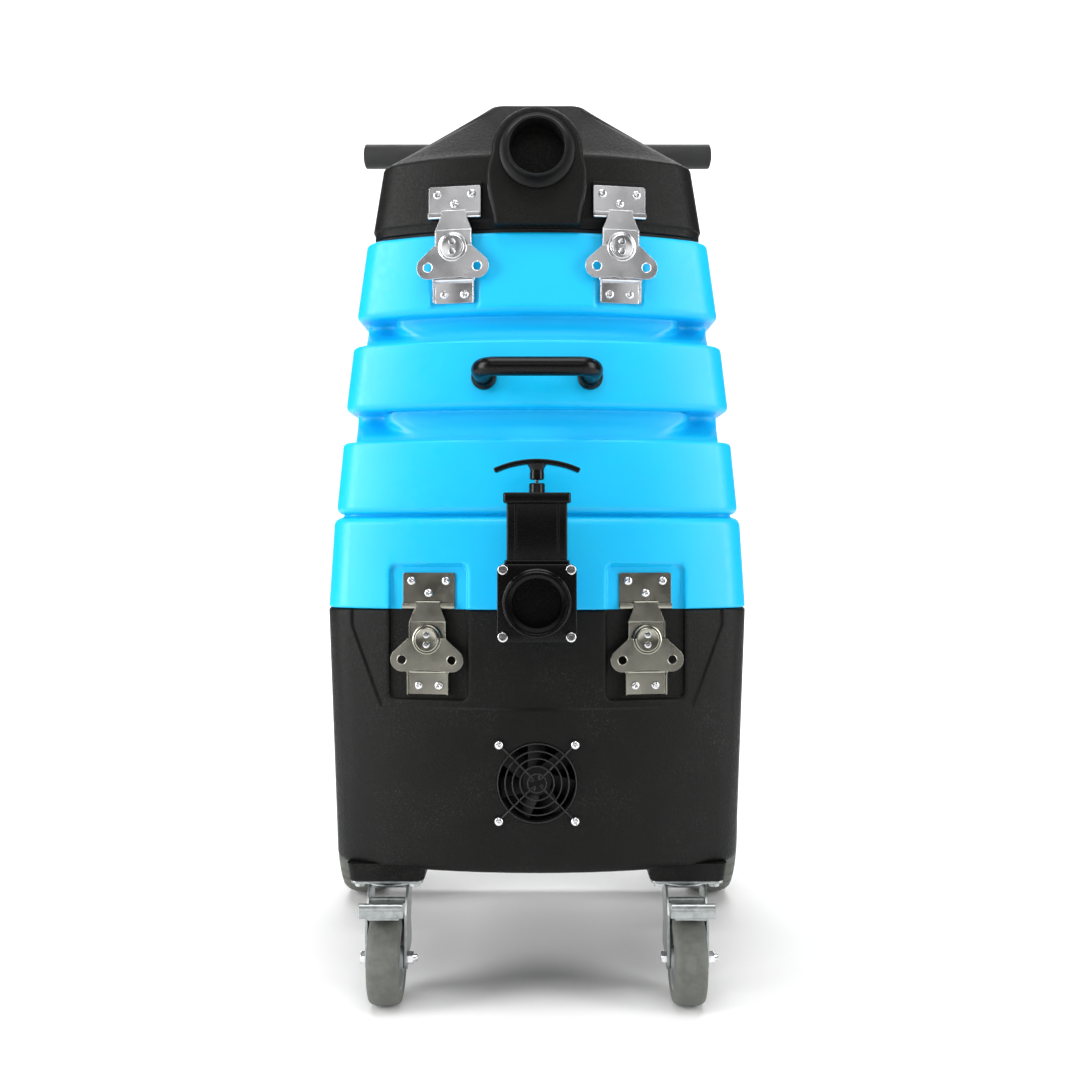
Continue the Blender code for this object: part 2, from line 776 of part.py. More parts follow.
def lid_rings(inset, bottom, flange):
    """Rings of the lid; the roof rises from a bowed shoulder to a small flat top."""
    rings = [level(plan(LID_HALF_BOTTOM, LID_FRONT_Y, flange or inset), bottom)]
    if flange:
        rings.append(level(plan(LID_HALF_BOTTOM, LID_FRONT_Y, flange), bottom + 0.006))
        rings.append(level(plan(LID_HALF_BOTTOM - 0.002, LID_FRONT_Y, inset), bottom + 0.012))
    for drop, edge in ((0.006, 0.0), (0.0, 0.004)):
        outline = plan(LID_HALF_SHOULDER, LID_FRONT_Y + 0.003, inset + edge)
        rings.append([(x, y, LID_SHOULDER_Z - drop - 0.6 * inset
                       + LID_SHOULDER_RISE * (1.0 - (x / LID_HALF_SHOULDER) ** 2))
                      for x, y in outline])
    for drop, edge in ((0.006, 0.0), (0.0, 0.008)):
        outline = roof_plan(edge + inset)
        rings.append(level(outline, LID_ROOF_Z - drop - inset))
    return rings


def roof_plan(inset):
    """Outline of the flat top, with as many points as the lid's other outlines."""
    half = LID_ROOF_HALF - inset
    front = LID_ROOF_FRONT + inset
    rear = LID_ROOF_REAR - inset
    corner = 0.016
    left, right = -half + corner, half - corner
    straight = [(left + (right - left) * i / BOW_STEPS, front) for i in range(BOW_STEPS + 1)]
    return (straight
            + arc((right, front + corner), corner, 270.0, 360.0, CORNER_STEPS)[1:]
            + arc((right, rear - corner), corner, 0.0, 90.0, REAR_STEPS)
            + arc((left, rear - corner), corner, 90.0, 180.0, REAR_STEPS)
            + arc((left, front + corner), corner, 180.0, 270.0, CORNER_STEPS)[:-1])


def pylon(inset, bottom, front, back):
    """Arched tower round the inlet, which runs back into the roof."""
    rings = []
    for y, crown in ((front, PYLON_CROWN), (back, LID_ROOF_Z - 0.002)):
        top_half = PYLON_TOP_HALF - inset
        spring = crown - PYLON_TOP_HALF
        outline = [(-PYLON_HALF + inset, PYLON_FLARE_TOP), (-PYLON_FOOT_HALF + inset, PYLON_FOOT_TOP),
                   (-PYLON_FOOT_HALF + inset, bottom), (PYLON_FOOT_HALF - inset, bottom),
                   (PYLON_FOOT_HALF - inset, PYLON_FOOT_TOP), (PYLON_HALF - inset, PYLON_FLARE_TOP)]
        outline += arc((0.0, spring), top_half, 0.0, 180.0, 12)
        rings.append([(x, y, z) for x, z in outline])
    shape = bmesh.new()
    loft(shape, rings)
    return shape


def keeper_pad(side):
    """Flat pad on the lid's front wall behind an upper keeper."""
    shape = bmesh.new()
    outline = rounded((-KEEPER_HALF - 0.001, KEEPER_LIP_LOW + 0.001),
                      (KEEPER_HALF + 0.001, KEEPER_TOP + 0.001), 0.003, 2)
    prism(shape, outline, 'Y', 0.0, 0.012)
    return moved(shape, upper_frame(side))


def make_lid(looks, lid_axis):
    """Hollow lid with its inlet tower."""
    outer = bmesh.new()
    loft(outer, lid_rings(0.0, LID_BOTTOM, 0.0))
    shell = piece("lid_shell", outer, looks["black_shell"], lid_axis)
    join(shell, "lid_pylon", pylon(0.0, LID_BOTTOM + 0.004, PYLON_FACE, LID_ROOF_FRONT + 0.020))
    join(shell, "lid_keeper_pads", merged(keeper_pad(-1), keeper_pad(1)))
    cavity = bmesh.new()
    loft(cavity, lid_rings(LID_WALL, LID_BOTTOM - 0.001, RIM_FLANGE))
    cut(shell, "lid_cavity", cavity)
    cut(shell, "lid_pylon_cavity", pylon(LID_WALL, LID_BOTTOM + 0.014, PYLON_FACE + LID_WALL,
                                         LID_ROOF_FRONT + 0.010))
    bore = bmesh.new()
    rod(bore, 'Y', (0.0, INLET_Z), INLET_OUTER + 2.0 * RUN_GAP, PYLON_FACE - 0.010,
        PYLON_FACE + 0.012, 24)
    cut(shell, "lid_inlet_hole", bore)

    inlet = bmesh.new()
    inner, outer_r, flange = INLET_BORE / 2.0, INLET_OUTER / 2.0, INLET_FLANGE / 2.0
    face = PYLON_FACE - RUN_GAP
    turned(inlet, 'Y', (0.0, INLET_Z),
           [(inner, INLET_FRONT), (outer_r, INLET_FRONT), (flange, face - 0.003),
            (flange, face), (outer_r, face), (outer_r, -0.215), (inner, -0.215)], 20)
    piece("inlet_tube", inlet, looks["black_moulded"], lid_axis, smooth=True)

    gasket = bmesh.new()
    low, high = TANK_TOP + RUN_GAP, TANK_TOP + RUN_GAP + GASKET
    loft(gasket, [level(plan(LID_HALF_BOTTOM, LID_FRONT_Y, 0.004), low),
                  level(plan(LID_HALF_BOTTOM, LID_FRONT_Y, 0.004), high)])
    ring = piece("lid_gasket", gasket, looks["rubber"], lid_axis)
    hole = bmesh.new()
    loft(hole, [level(plan(LID_HALF_BOTTOM, LID_FRONT_Y, 0.014), low - 0.002),
                level(plan(LID_HALF_BOTTOM, LID_FRONT_Y, 0.014), high + 0.002)])
    cut(ring, "lid_gasket_hole", hole)


# ---------------------------------------------------------------- hinges

def hinge_leaf(name, z, above, material, carrier):
    """One leaf of a back hinge. The lower leaf has the outer knuckles and the pin."""
    shape = bmesh.new()
    axis = (HINGE_AXIS_Y, z)
    outer = HINGE_KNUCKLE / 2.0
    near = REAR_Y + RUN_GAP
    low, high = (z + 0.001, z + HINGE_LEAF_TALL) if above else (z - HINGE_LEAF_TALL, z - 0.001)
    if above:
        third = HINGE_HALF / 3.0 - RUN_GAP
        turned(shape, 'X', axis, [(HINGE_PIN / 2.0 + RUN_GAP, -third), (outer, -third),
                                  (outer, third), (HINGE_PIN / 2.0 + RUN_GAP, third)], 14)
        made = piece(name, shape, material, carrier)
        leaf_plate = bmesh.new()
        outline = [(-HINGE_HALF, z + outer + 0.003), (-third, z + outer + 0.003),
                   (-third, z + 0.002), (third, z + 0.002), (third, z + outer + 0.003),
                   (HINGE_HALF, z + outer + 0.003), (HINGE_HALF, high), (-HINGE_HALF, high)]
        prism(leaf_plate, outline, 'Y', near, near + HINGE_LEAF)
        join(made, name + "_plate", leaf_plate)
        cut_pin = bmesh.new()
        rod(cut_pin, 'X', axis, HINGE_PIN + 2.0 * RUN_GAP, -third - 0.001, third + 0.001, 14)
        cut(made, name + "_bore", cut_pin)
    else:
        third = HINGE_HALF / 3.0
        rod(shape, 'X', axis, HINGE_PIN, -HINGE_HALF, HINGE_HALF, 14)
        made = piece(name, shape, material, carrier)
        knuckles = bmesh.new()
        rod(knuckles, 'X', axis, HINGE_KNUCKLE, -HINGE_HALF - 0.001, -third, 14)
        rod(knuckles, 'X', axis, HINGE_KNUCKLE, third, HINGE_HALF + 0.001, 14)
        join(made, name + "_knuckles", knuckles)
        leaf_plate = bmesh.new()
        outline = [(-HINGE_HALF, low), (HINGE_HALF, low), (HINGE_HALF, z - 0.002),
                   (third + 0.0006, z - 0.002), (third + 0.0006, z - outer - 0.003),
                   (-third - 0.0006, z - outer - 0.003), (-third - 0.0006, z - 0.002),
                   (-HINGE_HALF, z - 0.002)]
        prism(leaf_plate, outline, 'Y', near, near + HINGE_LEAF)
        join(made, name + "_plate", leaf_plate)
    return made


# ---------------------------------------------------------------- latches

def keeper_shape():
    """Screwed plate whose lower edge is folded out into an upward channel."""
    thin = SHEET
    d = RUN_GAP
    lip = 0.0052
    section = [(-d, KEEPER_TOP), (-d, KEEPER_LIP_LOW), (-lip, KEEPER_LIP_LOW),
               (-lip, KEEPER_LIP_TOP), (-lip + thin, KEEPER_LIP_TOP),
               (-lip + thin, KEEPER_LIP_LOW + thin), (-d - thin, KEEPER_LIP_LOW + thin),
               (-d - thin, KEEPER_TOP)]
    shape = bmesh.new()
    prism(shape, section, 'X', -KEEPER_HALF, KEEPER_HALF)
    return shape


def mount_shape():
    """Screwed plate with two ears that hold the pivot pin."""
    d = RUN_GAP
    section = [(-MOUNT_HALF, -d), (MOUNT_HALF, -d), (MOUNT_HALF, -0.0085),
               (MOUNT_HALF - SHEET, -0.0085), (MOUNT_HALF - SHEET, -d - SHEET),
               (-MOUNT_HALF + SHEET, -d - SHEET), (-MOUNT_HALF + SHEET, -0.0085),
               (-MOUNT_HALF, -0.0085)]
    shape = bmesh.new()
    prism(shape, section, 'Z', MOUNT_LOW, -PIVOT_DROP + 0.003)
    return shape


def arm_shape():
    """Swinging arm: a knuckle round the pin and a plate behind the link."""
    shape = bmesh.new()
    half = MOUNT_HALF - SHEET - RUN_GAP
    rod(shape, 'X', (-PIVOT_DEPTH, -PIVOT_DROP), PIVOT_PIN + 0.0010, -half, half, 10)
    return shape


def arm_plate():
    """Plate of the arm, which carries the butterfly's stud."""
    shape = bmesh.new()
    block(shape, (-0.0185, -PIVOT_DEPTH, -PIVOT_DROP), (0.0185, -PIVOT_DEPTH + SHEET, 0.012))
    return shape


def link_shape():
    """Hooked link: a plate that narrows to a tongue and folds over the keeper's lip."""
    near = PIVOT_DEPTH + RUN_GAP
    far = near + SHEET
    shape = bmesh.new()
    outline = [(-LINK_HALF, -0.026), (LINK_HALF, -0.026), (LINK_HALF, 0.020),
               (TONGUE_HALF, 0.0345), (TONGUE_HALF, 0.0420), (-TONGUE_HALF, 0.0420),
               (-TONGUE_HALF, 0.0345), (-LINK_HALF, 0.020)]
    prism(shape, outline, 'Y', -far, -near)
    return shape


def link_hook():
    """Folded end of the link."""
    near = PIVOT_DEPTH + RUN_GAP
    shape = bmesh.new()
    section = [(-near - 0.0007, 0.0403), (-near - 0.0007, 0.0417), (-0.0022, 0.0417),
               (-0.0022, 0.0375), (-0.0034, 0.0375), (-0.0034, 0.0403)]
    prism(shape, section, 'X', 0.0004 - TONGUE_HALF, TONGUE_HALF - 0.0004)
    return shape


def wing_outline():
    """Butterfly outline: a straight top, round wing ends and a shallow arch below."""
    top = (0.0235, 0.0015)
    to_top = math.degrees(math.atan2(top[1] - WING_Z, top[0] - WING_X))
    reach = math.hypot(top[0] - WING_X, top[1] - WING_Z)
    start = to_top - math.degrees(math.acos(WING_RADIUS / reach))
    right = [top] + arc((WING_X, WING_Z), WING_RADIUS, start, -90.0, 4)
    left = [(-x, z) for x, z in right[::-1]]
    return right + [(0.010, WING_Z - WING_RADIUS + 0.0015), (-0.010, WING_Z - WING_RADIUS + 0.0015)] + left


def make_latch(name, side, frame, fixed, far, looks):
    """One draw latch: mount and arm on one casing, keeper on the other."""
    steel = looks["plated_steel"]
    piece(name + "_keeper", moved(keeper_shape(), frame), steel, far)
    piece(name + "_mount", moved(mount_shape(), frame), steel, fixed)

    swing_at = frame @ Vector((0.0, -PIVOT_DEPTH, -PIVOT_DROP))
    swing = pivot(name + "_swing_axis", swing_at, fixed)
    arm = piece(name + "_arm", moved(arm_shape(), frame), steel, swing)
    join(arm, name + "_arm_plate", moved(arm_plate(), frame))

    draw = pivot(name + "_draw_axis", frame @ Vector((0.0, -PIVOT_DEPTH, 0.0)), swing)
    link = piece(name + "_link", moved(link_shape(), frame), steel, draw)
    join(link, name + "_link_hook", moved(link_hook(), frame))
    slot = bmesh.new()
    block(slot, (-0.0035, -0.012, -0.0035 - DRAW), (0.0035, -0.001, 0.0035))
    cut(link, name + "_link_slot", moved(slot, frame))

    turn = pivot(name + "_turn_axis", frame @ Vector((0.0, -0.010, 0.0)), swing)
    wing = bmesh.new()
    prism(wing, wing_outline(), 'Y', -0.0115, -0.0095)
    butterfly = piece(name + "_butterfly", moved(wing, frame), steel, turn)
    stud = bmesh.new()
    near = PIVOT_DEPTH + RUN_GAP
    rings = [(0.0030, -near), (0.0030, -near - SHEET - RUN_GAP), (0.0080, -near - SHEET - RUN_GAP),
             (0.0080, -0.0100)]
    loft(stud, [[on_axis('Y', x, z, along) for x, z in circle((0.0, 0.0), r, 8)] for r, along in rings])
    disc = bmesh.new()
    rod(disc, 'Y', (0.0, 0.0), DISC, -0.0135, -0.0110, 12)
    join(butterfly, name + "_butterfly_boss", moved(merged(stud, disc), frame))
    holes = bmesh.new()
    for way in (-1, 1):
        rod(holes, 'Y', (way * WING_X, WING_Z), WING_HOLE, -0.016, -0.005, 8)
    cut(butterfly, name + "_butterfly_holes", moved(holes, frame))


# ---------------------------------------------------------------- drain valve

def make_valve(looks, tilt, gate):
    """Gate valve on the sump: body, bonnet, blade with stem, and T handle."""
    black = looks["black_gloss"]
    half, low = VALVE_WIDE / 2.0, VALVE_Z - VALVE_TALL / 2.0
    high = VALVE_Z + VALVE_TALL / 2.0
    waist = VALVE_WAIST / 2.0
    body = bmesh.new()
    prism(body, rounded((-half, low), (half, high), 0.006), 'Y', VALVE_BACK - VALVE_FLANGE, VALVE_BACK)
    made = piece("valve_body", body, black, tilt)
    front = bmesh.new()
    prism(front, rounded((-half, low), (half, high), 0.006), 'Y', VALVE_FRONT, VALVE_FRONT + VALVE_FLANGE)
    join(made, "valve_front_flange", front)
    middle = bmesh.new()
    block(middle, (-waist, VALVE_FRONT + 0.006, low + 0.001), (waist, VALVE_BACK - 0.006, high - 0.0005))
    join(made, "valve_middle", middle)
    hub = bmesh.new()
    rod(hub, 'Y', (0.0, VALVE_Z), HUB_OUTER, HUB_FRONT, VALVE_FRONT + 0.003, 20)
    join(made, "valve_hub", hub)
    bore = bmesh.new()
    rod(bore, 'Y', (0.0, VALVE_Z), VALVE_BORE, HUB_FRONT - 0.010, VALVE_BACK + 0.010, 20)
    cut(made, "valve_bore", bore)
    socket = bmesh.new()
    rod(socket, 'Y', (0.0, VALVE_Z), HUB_BORE, HUB_FRONT - 0.005, VALVE_FRONT, 20)
    cut(made, "valve_socket", socket)

    mid_y = (VALVE_FRONT + VALVE_BACK) / 2.0
    blade_half = BLADE_WIDE / 2.0
    blade_low = VALVE_Z - VALVE_BORE / 2.0 - 0.0045
    blade_high = high - 0.006
    slot_half = blade_half + RUN_GAP
    thick = BLADE_THICK / 2.0
    slot = bmesh.new()
    block(slot, (-slot_half, mid_y - thick - RUN_GAP, blade_low - RUN_GAP),
          (slot_half, mid_y + thick + RUN_GAP, high + 0.010))
    cut(made, "valve_slot", slot)

    deep = BONNET_DEEP / 2.0
    bonnet = bmesh.new()
    block(bonnet, (-waist, mid_y - deep, high + RUN_GAP), (waist, mid_y + deep, BONNET_TOP))
    cover = piece("valve_bonnet", bonnet, black, tilt)
    cap = bmesh.new()
    wide = CAP_WIDE / 2.0
    block(cap, (-wide, mid_y - CAP_DEEP / 2.0, BONNET_TOP - 0.0005), (wide, mid_y + CAP_DEEP / 2.0, CAP_TOP))
    join(cover, "valve_cap", cap)
    gland = bmesh.new()
    rod(gland, 'Z', (0.0, mid_y), 0.017, CAP_TOP - 0.001, GLAND_TOP, 16)
    join(cover, "valve_gland", gland)
    cavity = bmesh.new()
    block(cavity, (-slot_half, mid_y - thick - RUN_GAP, high - 0.010),
          (slot_half, mid_y + thick + RUN_GAP, blade_high + BLADE_TRAVEL + 0.002))
    cut(cover, "valve_cavity", cavity)
    stem_hole = bmesh.new()
    rod(stem_hole, 'Z', (0.0, mid_y), STEM + 2.0 * RUN_GAP, blade_high + BLADE_TRAVEL, GLAND_TOP + 0.005, 12)
    cut(cover, "valve_stem_hole", stem_hole)

    blade = bmesh.new()
    outline = arc((0.0, blade_low + blade_half), blade_half, 180.0, 360.0, 14)
    outline += [(blade_half, blade_high), (-blade_half, blade_high)]
    prism(blade, outline, 'Y', mid_y - thick, mid_y + thick)
    plate = piece("gate_blade", blade, looks["plated_steel"], gate)
    stem = bmesh.new()
    rod(stem, 'Z', (0.0, mid_y), STEM, blade_high - 0.004, T_BOTTOM + 0.011, 12)
    join(plate, "gate_stem", stem)

    grip = bmesh.new()
    rod(grip, 'Z', (0.0, mid_y), 0.0156, T_BOTTOM, T_TOP - 0.004, 16)
    handle = piece("gate_handle", grip, black, gate)
    bar = bmesh.new()
    t_half = T_WIDE / 2.0
    radius = 0.110
    middle_z = T_TOP - radius
    spread = math.degrees(math.asin(t_half / radius))
    outline = arc((0.0, middle_z), radius, 90.0 + spread, 90.0 - spread, 10)
    outline += arc((0.0, middle_z), radius - 0.0055, 90.0 - spread, 90.0 + spread, 10)
    prism(bar, outline, 'Y', mid_y - T_DEEP / 2.0, mid_y + T_DEEP / 2.0)
    join(handle, "gate_handle_bar", bar)
    hole = bmesh.new()
    rod(hole, 'Z', (0.0, mid_y), STEM + 2.0 * RUN_GAP, T_BOTTOM - 0.002, T_BOTTOM + 0.0115, 12)
    cut(handle, "gate_handle_bore", hole)


# ---------------------------------------------------------------- handles

def make_handles(looks, tilt):
    """Push handle behind the tank, and the grab handle on its front."""
    radius = UPRIGHT_DIAMETER / 2.0
    low_y = REAR_Y + RUN_GAP + radius
    for side, word in ((-1, "left"), (1, "right")):
        x = side * UPRIGHT_X
        bottom, knee, top = (x, low_y, 0.470), (x, low_y, 0.930), (x, BAR_Y - 0.004, BAR_Z - 0.016)
        shape = bmesh.new()
        tube(shape, [bottom] + bend(knee, bottom, top, 0.120, 3) + [top], radius, 12)
        upright = piece("handle_upright_" + word, shape, looks["painted_tube"], tilt, smooth=True)
        foot = bmesh.new()
        inner = side * 0.165
        near = REAR_Y + RUN_GAP
        block(foot, (min(inner, x), near, 0.480), (max(inner, x), near + 0.003, 0.525))
        join(upright, "handle_upright_foot_" + word, foot)
        clearing = bmesh.new()
        rod(clearing, 'X', (BAR_Y, BAR_Z), BAR_DIAMETER + 2.0 * RUN_GAP, x - 0.020, x + 0.020, 24)
        cut(upright, "handle_upright_saddle_" + word, clearing)
    bar = bmesh.new()
    half = BAR_LENGTH / 2.0
    r = BAR_DIAMETER / 2.0
    edge = 0.004
    ends = [(-half, r - edge), (-half + edge, r), (half - edge, r), (half, r - edge)]
    loft(bar, [[on_axis('X', y, z, x) for y, z in circle((BAR_Y, BAR_Z), size, 18)] for x, size in ends])
    piece("push_bar", bar, looks["foam_grip"], tilt, smooth=True)

    seat = lean(GRAB_Z) + bow_drop(GRAB_PAD_X - 0.013, rib_half(RIB_2, GRAB_Z)) - 2.0 * RUN_GAP
    tube_r = GRAB_TUBE / 2.0
    leg_x = GRAB_HALF - tube_r
    bar_y = seat - GRAB_REACH
    bar_z = GRAB_Z + 0.0055
    left, right = (-leg_x, bar_y, bar_z), (leg_x, bar_y, bar_z)
    foot_l, foot_r = (-GRAB_PAD_X, seat - 0.001, GRAB_Z), (GRAB_PAD_X, seat - 0.001, GRAB_Z)
    path = ([foot_l] + bend(left, foot_l, right, 0.014, 3) + bend(right, left, foot_r, 0.014, 3) + [foot_r])
    shape = bmesh.new()
    tube(shape, path, tube_r, 10)
    handle = piece("grab_handle", shape, looks["black_gloss"], tilt, smooth=True)
    pads = bmesh.new()
    for side in (-1, 1):
        rod(pads, 'Y', (side * GRAB_PAD_X, GRAB_Z), 0.0280, seat - 0.008, seat, 14)
    join(handle, "grab_handle_pads", pads)


# ---------------------------------------------------------------- cooling fan

def make_fan(looks, spin):
    """Square fan behind the front wall, with its rotor and the wire guard outside."""
    black = looks["black_moulded"]
    half = FAN_SQUARE / 2.0
    half_base = base_half(FAN_Z)
    front = FRONT_Y + BASE_WALL + bow_drop(half, half_base) + 0.0008
    back = front + FAN_DEEP
    frame = bmesh.new()
    prism(frame, rounded((-half, FAN_Z - half), (half, FAN_Z + half), 0.004), 'Y', front, back)
    made = piece("fan_frame", frame, black)
    hole = bmesh.new()
    rod(hole, 'Y', (0.0, FAN_Z), FAN_HOLE, front - 0.005, back + 0.005, 24)
    cut(made, "fan_frame_hole", hole)
    spokes = bmesh.new()
    rod(spokes, 'Y', (0.0, FAN_Z), 0.030, back - 0.0035, back - 0.0005, 12)
    join(made, "fan_frame_seat", spokes)
    for i in range(3):
        strut = bmesh.new()
        block(strut, (-0.002, back - 0.0034, 0.010), (0.002, back - 0.0006, FAN_HOLE / 2.0 + 0.001))
        turn = Matrix.Translation((0.0, 0.0, FAN_Z)) @ Matrix.Rotation(math.radians(120.0 * i), 4, 'Y')
        join(made, "fan_frame_strut_" + str(i), moved(strut, turn))

    hub = bmesh.new()
    hub_back = back - 0.0035 - RUN_GAP
    rod(hub, 'Y', (0.0, FAN_Z), 0.032, front + 0.002, hub_back, 14)
    rotor = piece("fan_rotor", hub, black, spin)
    blades = []
    for i in range(FAN_BLADES):
        blade = bmesh.new()
        block(blade, (-0.012, -0.0009, 0.014), (0.012, 0.0009, FAN_HOLE / 2.0 - 0.002))
        moved(blade, Matrix.Rotation(math.radians(32.0), 4, 'Z'))
        turn = (Matrix.Translation((0.0, front + 0.0105, FAN_Z))
                @ Matrix.Rotation(2.0 * math.pi * i / FAN_BLADES, 4, 'Y'))
        blades.append(moved(blade, turn))
    join(rotor, "fan_rotor_blades", merged(*blades))

    guard = piece("fan_guard", guard_rings(), looks["black_wire"])
    eyes = bmesh.new()
    corner = FAN_PITCH / 2.0
    for x in (-corner, corner):
        for z in (-corner, corner):
            rod(eyes, 'Y', (x, FAN_Z + z), 0.0100, FRONT_Y - GUARD_FRONT, FRONT_Y - GUARD_BACK, 10)
    join(guard, "fan_guard_eyes", eyes)


def guard_rings():
    """Flat wire rings and diagonal spokes, drawn as cells of a polar grid."""
    wire = GUARD_WIRE / 2.0
    radii = []
    for ring in GUARD_RINGS:
        radii += [ring - wire, ring + wire]
    radii.append(FAN_PITCH / math.sqrt(2.0) - 0.003)
    parts = 3
    steps = parts + 1
    angles = 4 * steps
    front, back = FRONT_Y - GUARD_FRONT, FRONT_Y - GUARD_BACK
    shape = bmesh.new()
    sheets = []
    for y in (front, back):
        rows = []
        for r in radii:
            half = math.asin(wire / r)
            row = []
            for quarter in range(4):
                middle = math.radians(45.0 + 90.0 * quarter)
                first, last = middle + half, middle + math.pi / 2.0 - half
                row.append((r, middle - half))
                row += [(r, first + (last - first) * k / parts) for k in range(parts)]
            rows.append([shape.verts.new((a * math.cos(t), y, FAN_Z + a * math.sin(t))) for a, t in row])
        sheets.append(rows)
    kept = set()
    for i in range(len(radii) - 1):
        for j in range(angles):
            on_ring = i % 2 == 0 and i < 2 * len(GUARD_RINGS)
            on_spoke = j % steps == 0
            if on_ring or on_spoke:
                kept.add((i, j))
    for i, j in sorted(kept):
        k = (j + 1) % angles
        corners = [(i, j), (i + 1, j), (i + 1, k), (i, k)]
        neighbours = [(i, (j - 1) % angles), (i + 1, j), (i, k), (i - 1, j)]
        shape.faces.new([sheets[0][a][b] for a, b in corners])
        shape.faces.new([sheets[1][a][b] for a, b in corners[::-1]])
        for n, other in enumerate(neighbours):
            if other not in kept:
                (a, b), (c, d) = corners[n], corners[(n + 1) % 4]
                shape.faces.new((sheets[0][a][b], sheets[0][c][d], sheets[1][c][d], sheets[1][a][b]))
    loose = [vert for vert in shape.verts if not vert.link_faces]
    bmesh.ops.delete(shape, geom=loose, context='VERTS')
    return shape


# ---------------------------------------------------------------- castors and wheels

def make_castor(looks, side, word):
    """Swivel castor with its fork, wheel, axle bolt and brake pedal."""
    steel = looks["zinc"]
    x = side * CASTOR_X
    y = CASTOR_SWIVEL_Y
    top = CASTOR_BOSS_BOTTOM - RUN_GAP
    plate = bmesh.new()
    low = (x - CASTOR_PLATE_X / 2.0, y - CASTOR_PLATE_Y / 2.0)
    high = (x + CASTOR_PLATE_X / 2.0, y + CASTOR_PLATE_Y / 2.0)
    prism(plate, rounded(low, high, 0.006, 2), 'Z', top - CASTOR_PLATE_THICK, top)
    made = piece("castor_plate_" + word, plate, steel)
    king = bmesh.new()
    race = CROWN_TOP + RUN_GAP
    pin = KING_PIN / 2.0
    head = CROWN_BOTTOM - RUN_GAP
    rings = [(0.008, head - 0.005), (0.008, head), (pin, head), (pin, race), (0.026, race),
             (0.028, top - 0.001)]
    loft(king, [level(circle((x, y), r, 14), z) for r, z in rings])
    join(made, "castor_king_pin_" + word, king)

    swivel = pivot("castor_swivel_axis_" + word, (x, y, CROWN_TOP))
    crown = bmesh.new()
    turned(crown, 'Z', (x, y), [(pin + RUN_GAP, CROWN_BOTTOM), (CROWN_RADIUS, CROWN_BOTTOM),
                                (CROWN_RADIUS, CROWN_TOP), (pin + RUN_GAP, CROWN_TOP)], 16)
    fork = piece("castor_fork_" + word, crown, steel, swivel)
    axle_y = y - CASTOR_TRAIL
    axle_z = CASTOR_RADIUS
    outline = (arc((axle_y, axle_z), 0.012, 170.0, 330.0, 4)
               + [(y - 0.002, 0.090), (y + 0.020, CROWN_BOTTOM + 0.002), (y - 0.024, CROWN_BOTTOM + 0.002),
                  (axle_y - 0.010, 0.100)])
    for way in (-1, 1):
        leg = bmesh.new()
        ends = (x + way * FORK_GAP / 2.0, x + way * (FORK_GAP / 2.0 + FORK_SHEET))
        prism(leg, outline, 'X', min(ends), max(ends))
        join(fork, "castor_leg_" + word + ("_a" if way < 0 else "_b"), leg)
    hole = bmesh.new()
    rod(hole, 'X', (axle_y, axle_z), AXLE_BOLT + 2.0 * RUN_GAP, x - 0.040, x + 0.040, 12)
    cut(fork, "castor_leg_hole_" + word, hole)

    bolt = bmesh.new()
    leg_out = FORK_GAP / 2.0 + FORK_SHEET + RUN_GAP
    r = AXLE_BOLT / 2.0
    rings = [(0.0065, -leg_out - 0.006), (0.0065, -leg_out), (r, -leg_out), (r, leg_out),
             (0.0070, leg_out), (0.0070, leg_out + 0.007), (r, leg_out + 0.007), (r, leg_out + 0.011)]
    loft(bolt, [[on_axis('X', a, b, x + along) for a, b in circle((axle_y, axle_z), size, 12)]
                for size, along in rings])
    piece("castor_axle_" + word, bolt, steel, swivel)

    roll = pivot("castor_roll_axis_" + word, (x, axle_y, axle_z), swivel)
    wheel = bmesh.new()
    bore = r + RUN_GAP
    hub = FORK_GAP / 2.0 - RUN_GAP
    wide = CASTOR_WIDE / 2.0
    profile = [(bore, hub), (0.0125, hub), (0.0125, wide - 0.006), (0.031, wide - 0.006),
               (0.036, wide), (0.0460, wide), (CASTOR_RADIUS, wide - 0.010)]
    profile += [(size, -along) for size, along in profile[::-1]]
    turned(wheel, 'X', (axle_y, axle_z), [(size, x + along) for size, along in profile], 20)
    piece("castor_wheel_" + word, wheel, looks["grey_rubber"], roll, smooth=True)

    press = pivot("brake_axis_" + word, (x, PEDAL_PIVOT_Y, PEDAL_PIVOT_Z), swivel)
    rocker = bmesh.new()
    inner = FORK_GAP / 2.0 - RUN_GAP
    rod(rocker, 'X', (PEDAL_PIVOT_Y, PEDAL_PIVOT_Z), 0.0070, x - inner, x + inner, 12)
    pedal = piece("brake_pedal_" + word, rocker, steel, press)
    arm = bmesh.new()
    section = [(PEDAL_PIVOT_Y, 0.1095), (PEDAL_PIVOT_Y, 0.1125), (-0.2790, 0.1125), (-0.2790, 0.1095),
               (-0.2640, 0.1095), (-0.2640, 0.1015), (-0.2520, 0.1015), (-0.2520, 0.1095)]
    prism(arm, section, 'X', x - 0.0185, x + 0.0185)
    join(pedal, "brake_arm_" + word, arm)
    lip = bmesh.new()
    section = [(-0.2780, 0.1090), (-0.2870, 0.1090), (-0.2900, 0.1130), (-0.2900, 0.1240),
               (-0.2870, 0.1265), (-0.2780, 0.1265)]
    prism(lip, section, 'X', x - PEDAL_HALF, x + PEDAL_HALF)
    join(pedal, "brake_lip_" + word, lip)


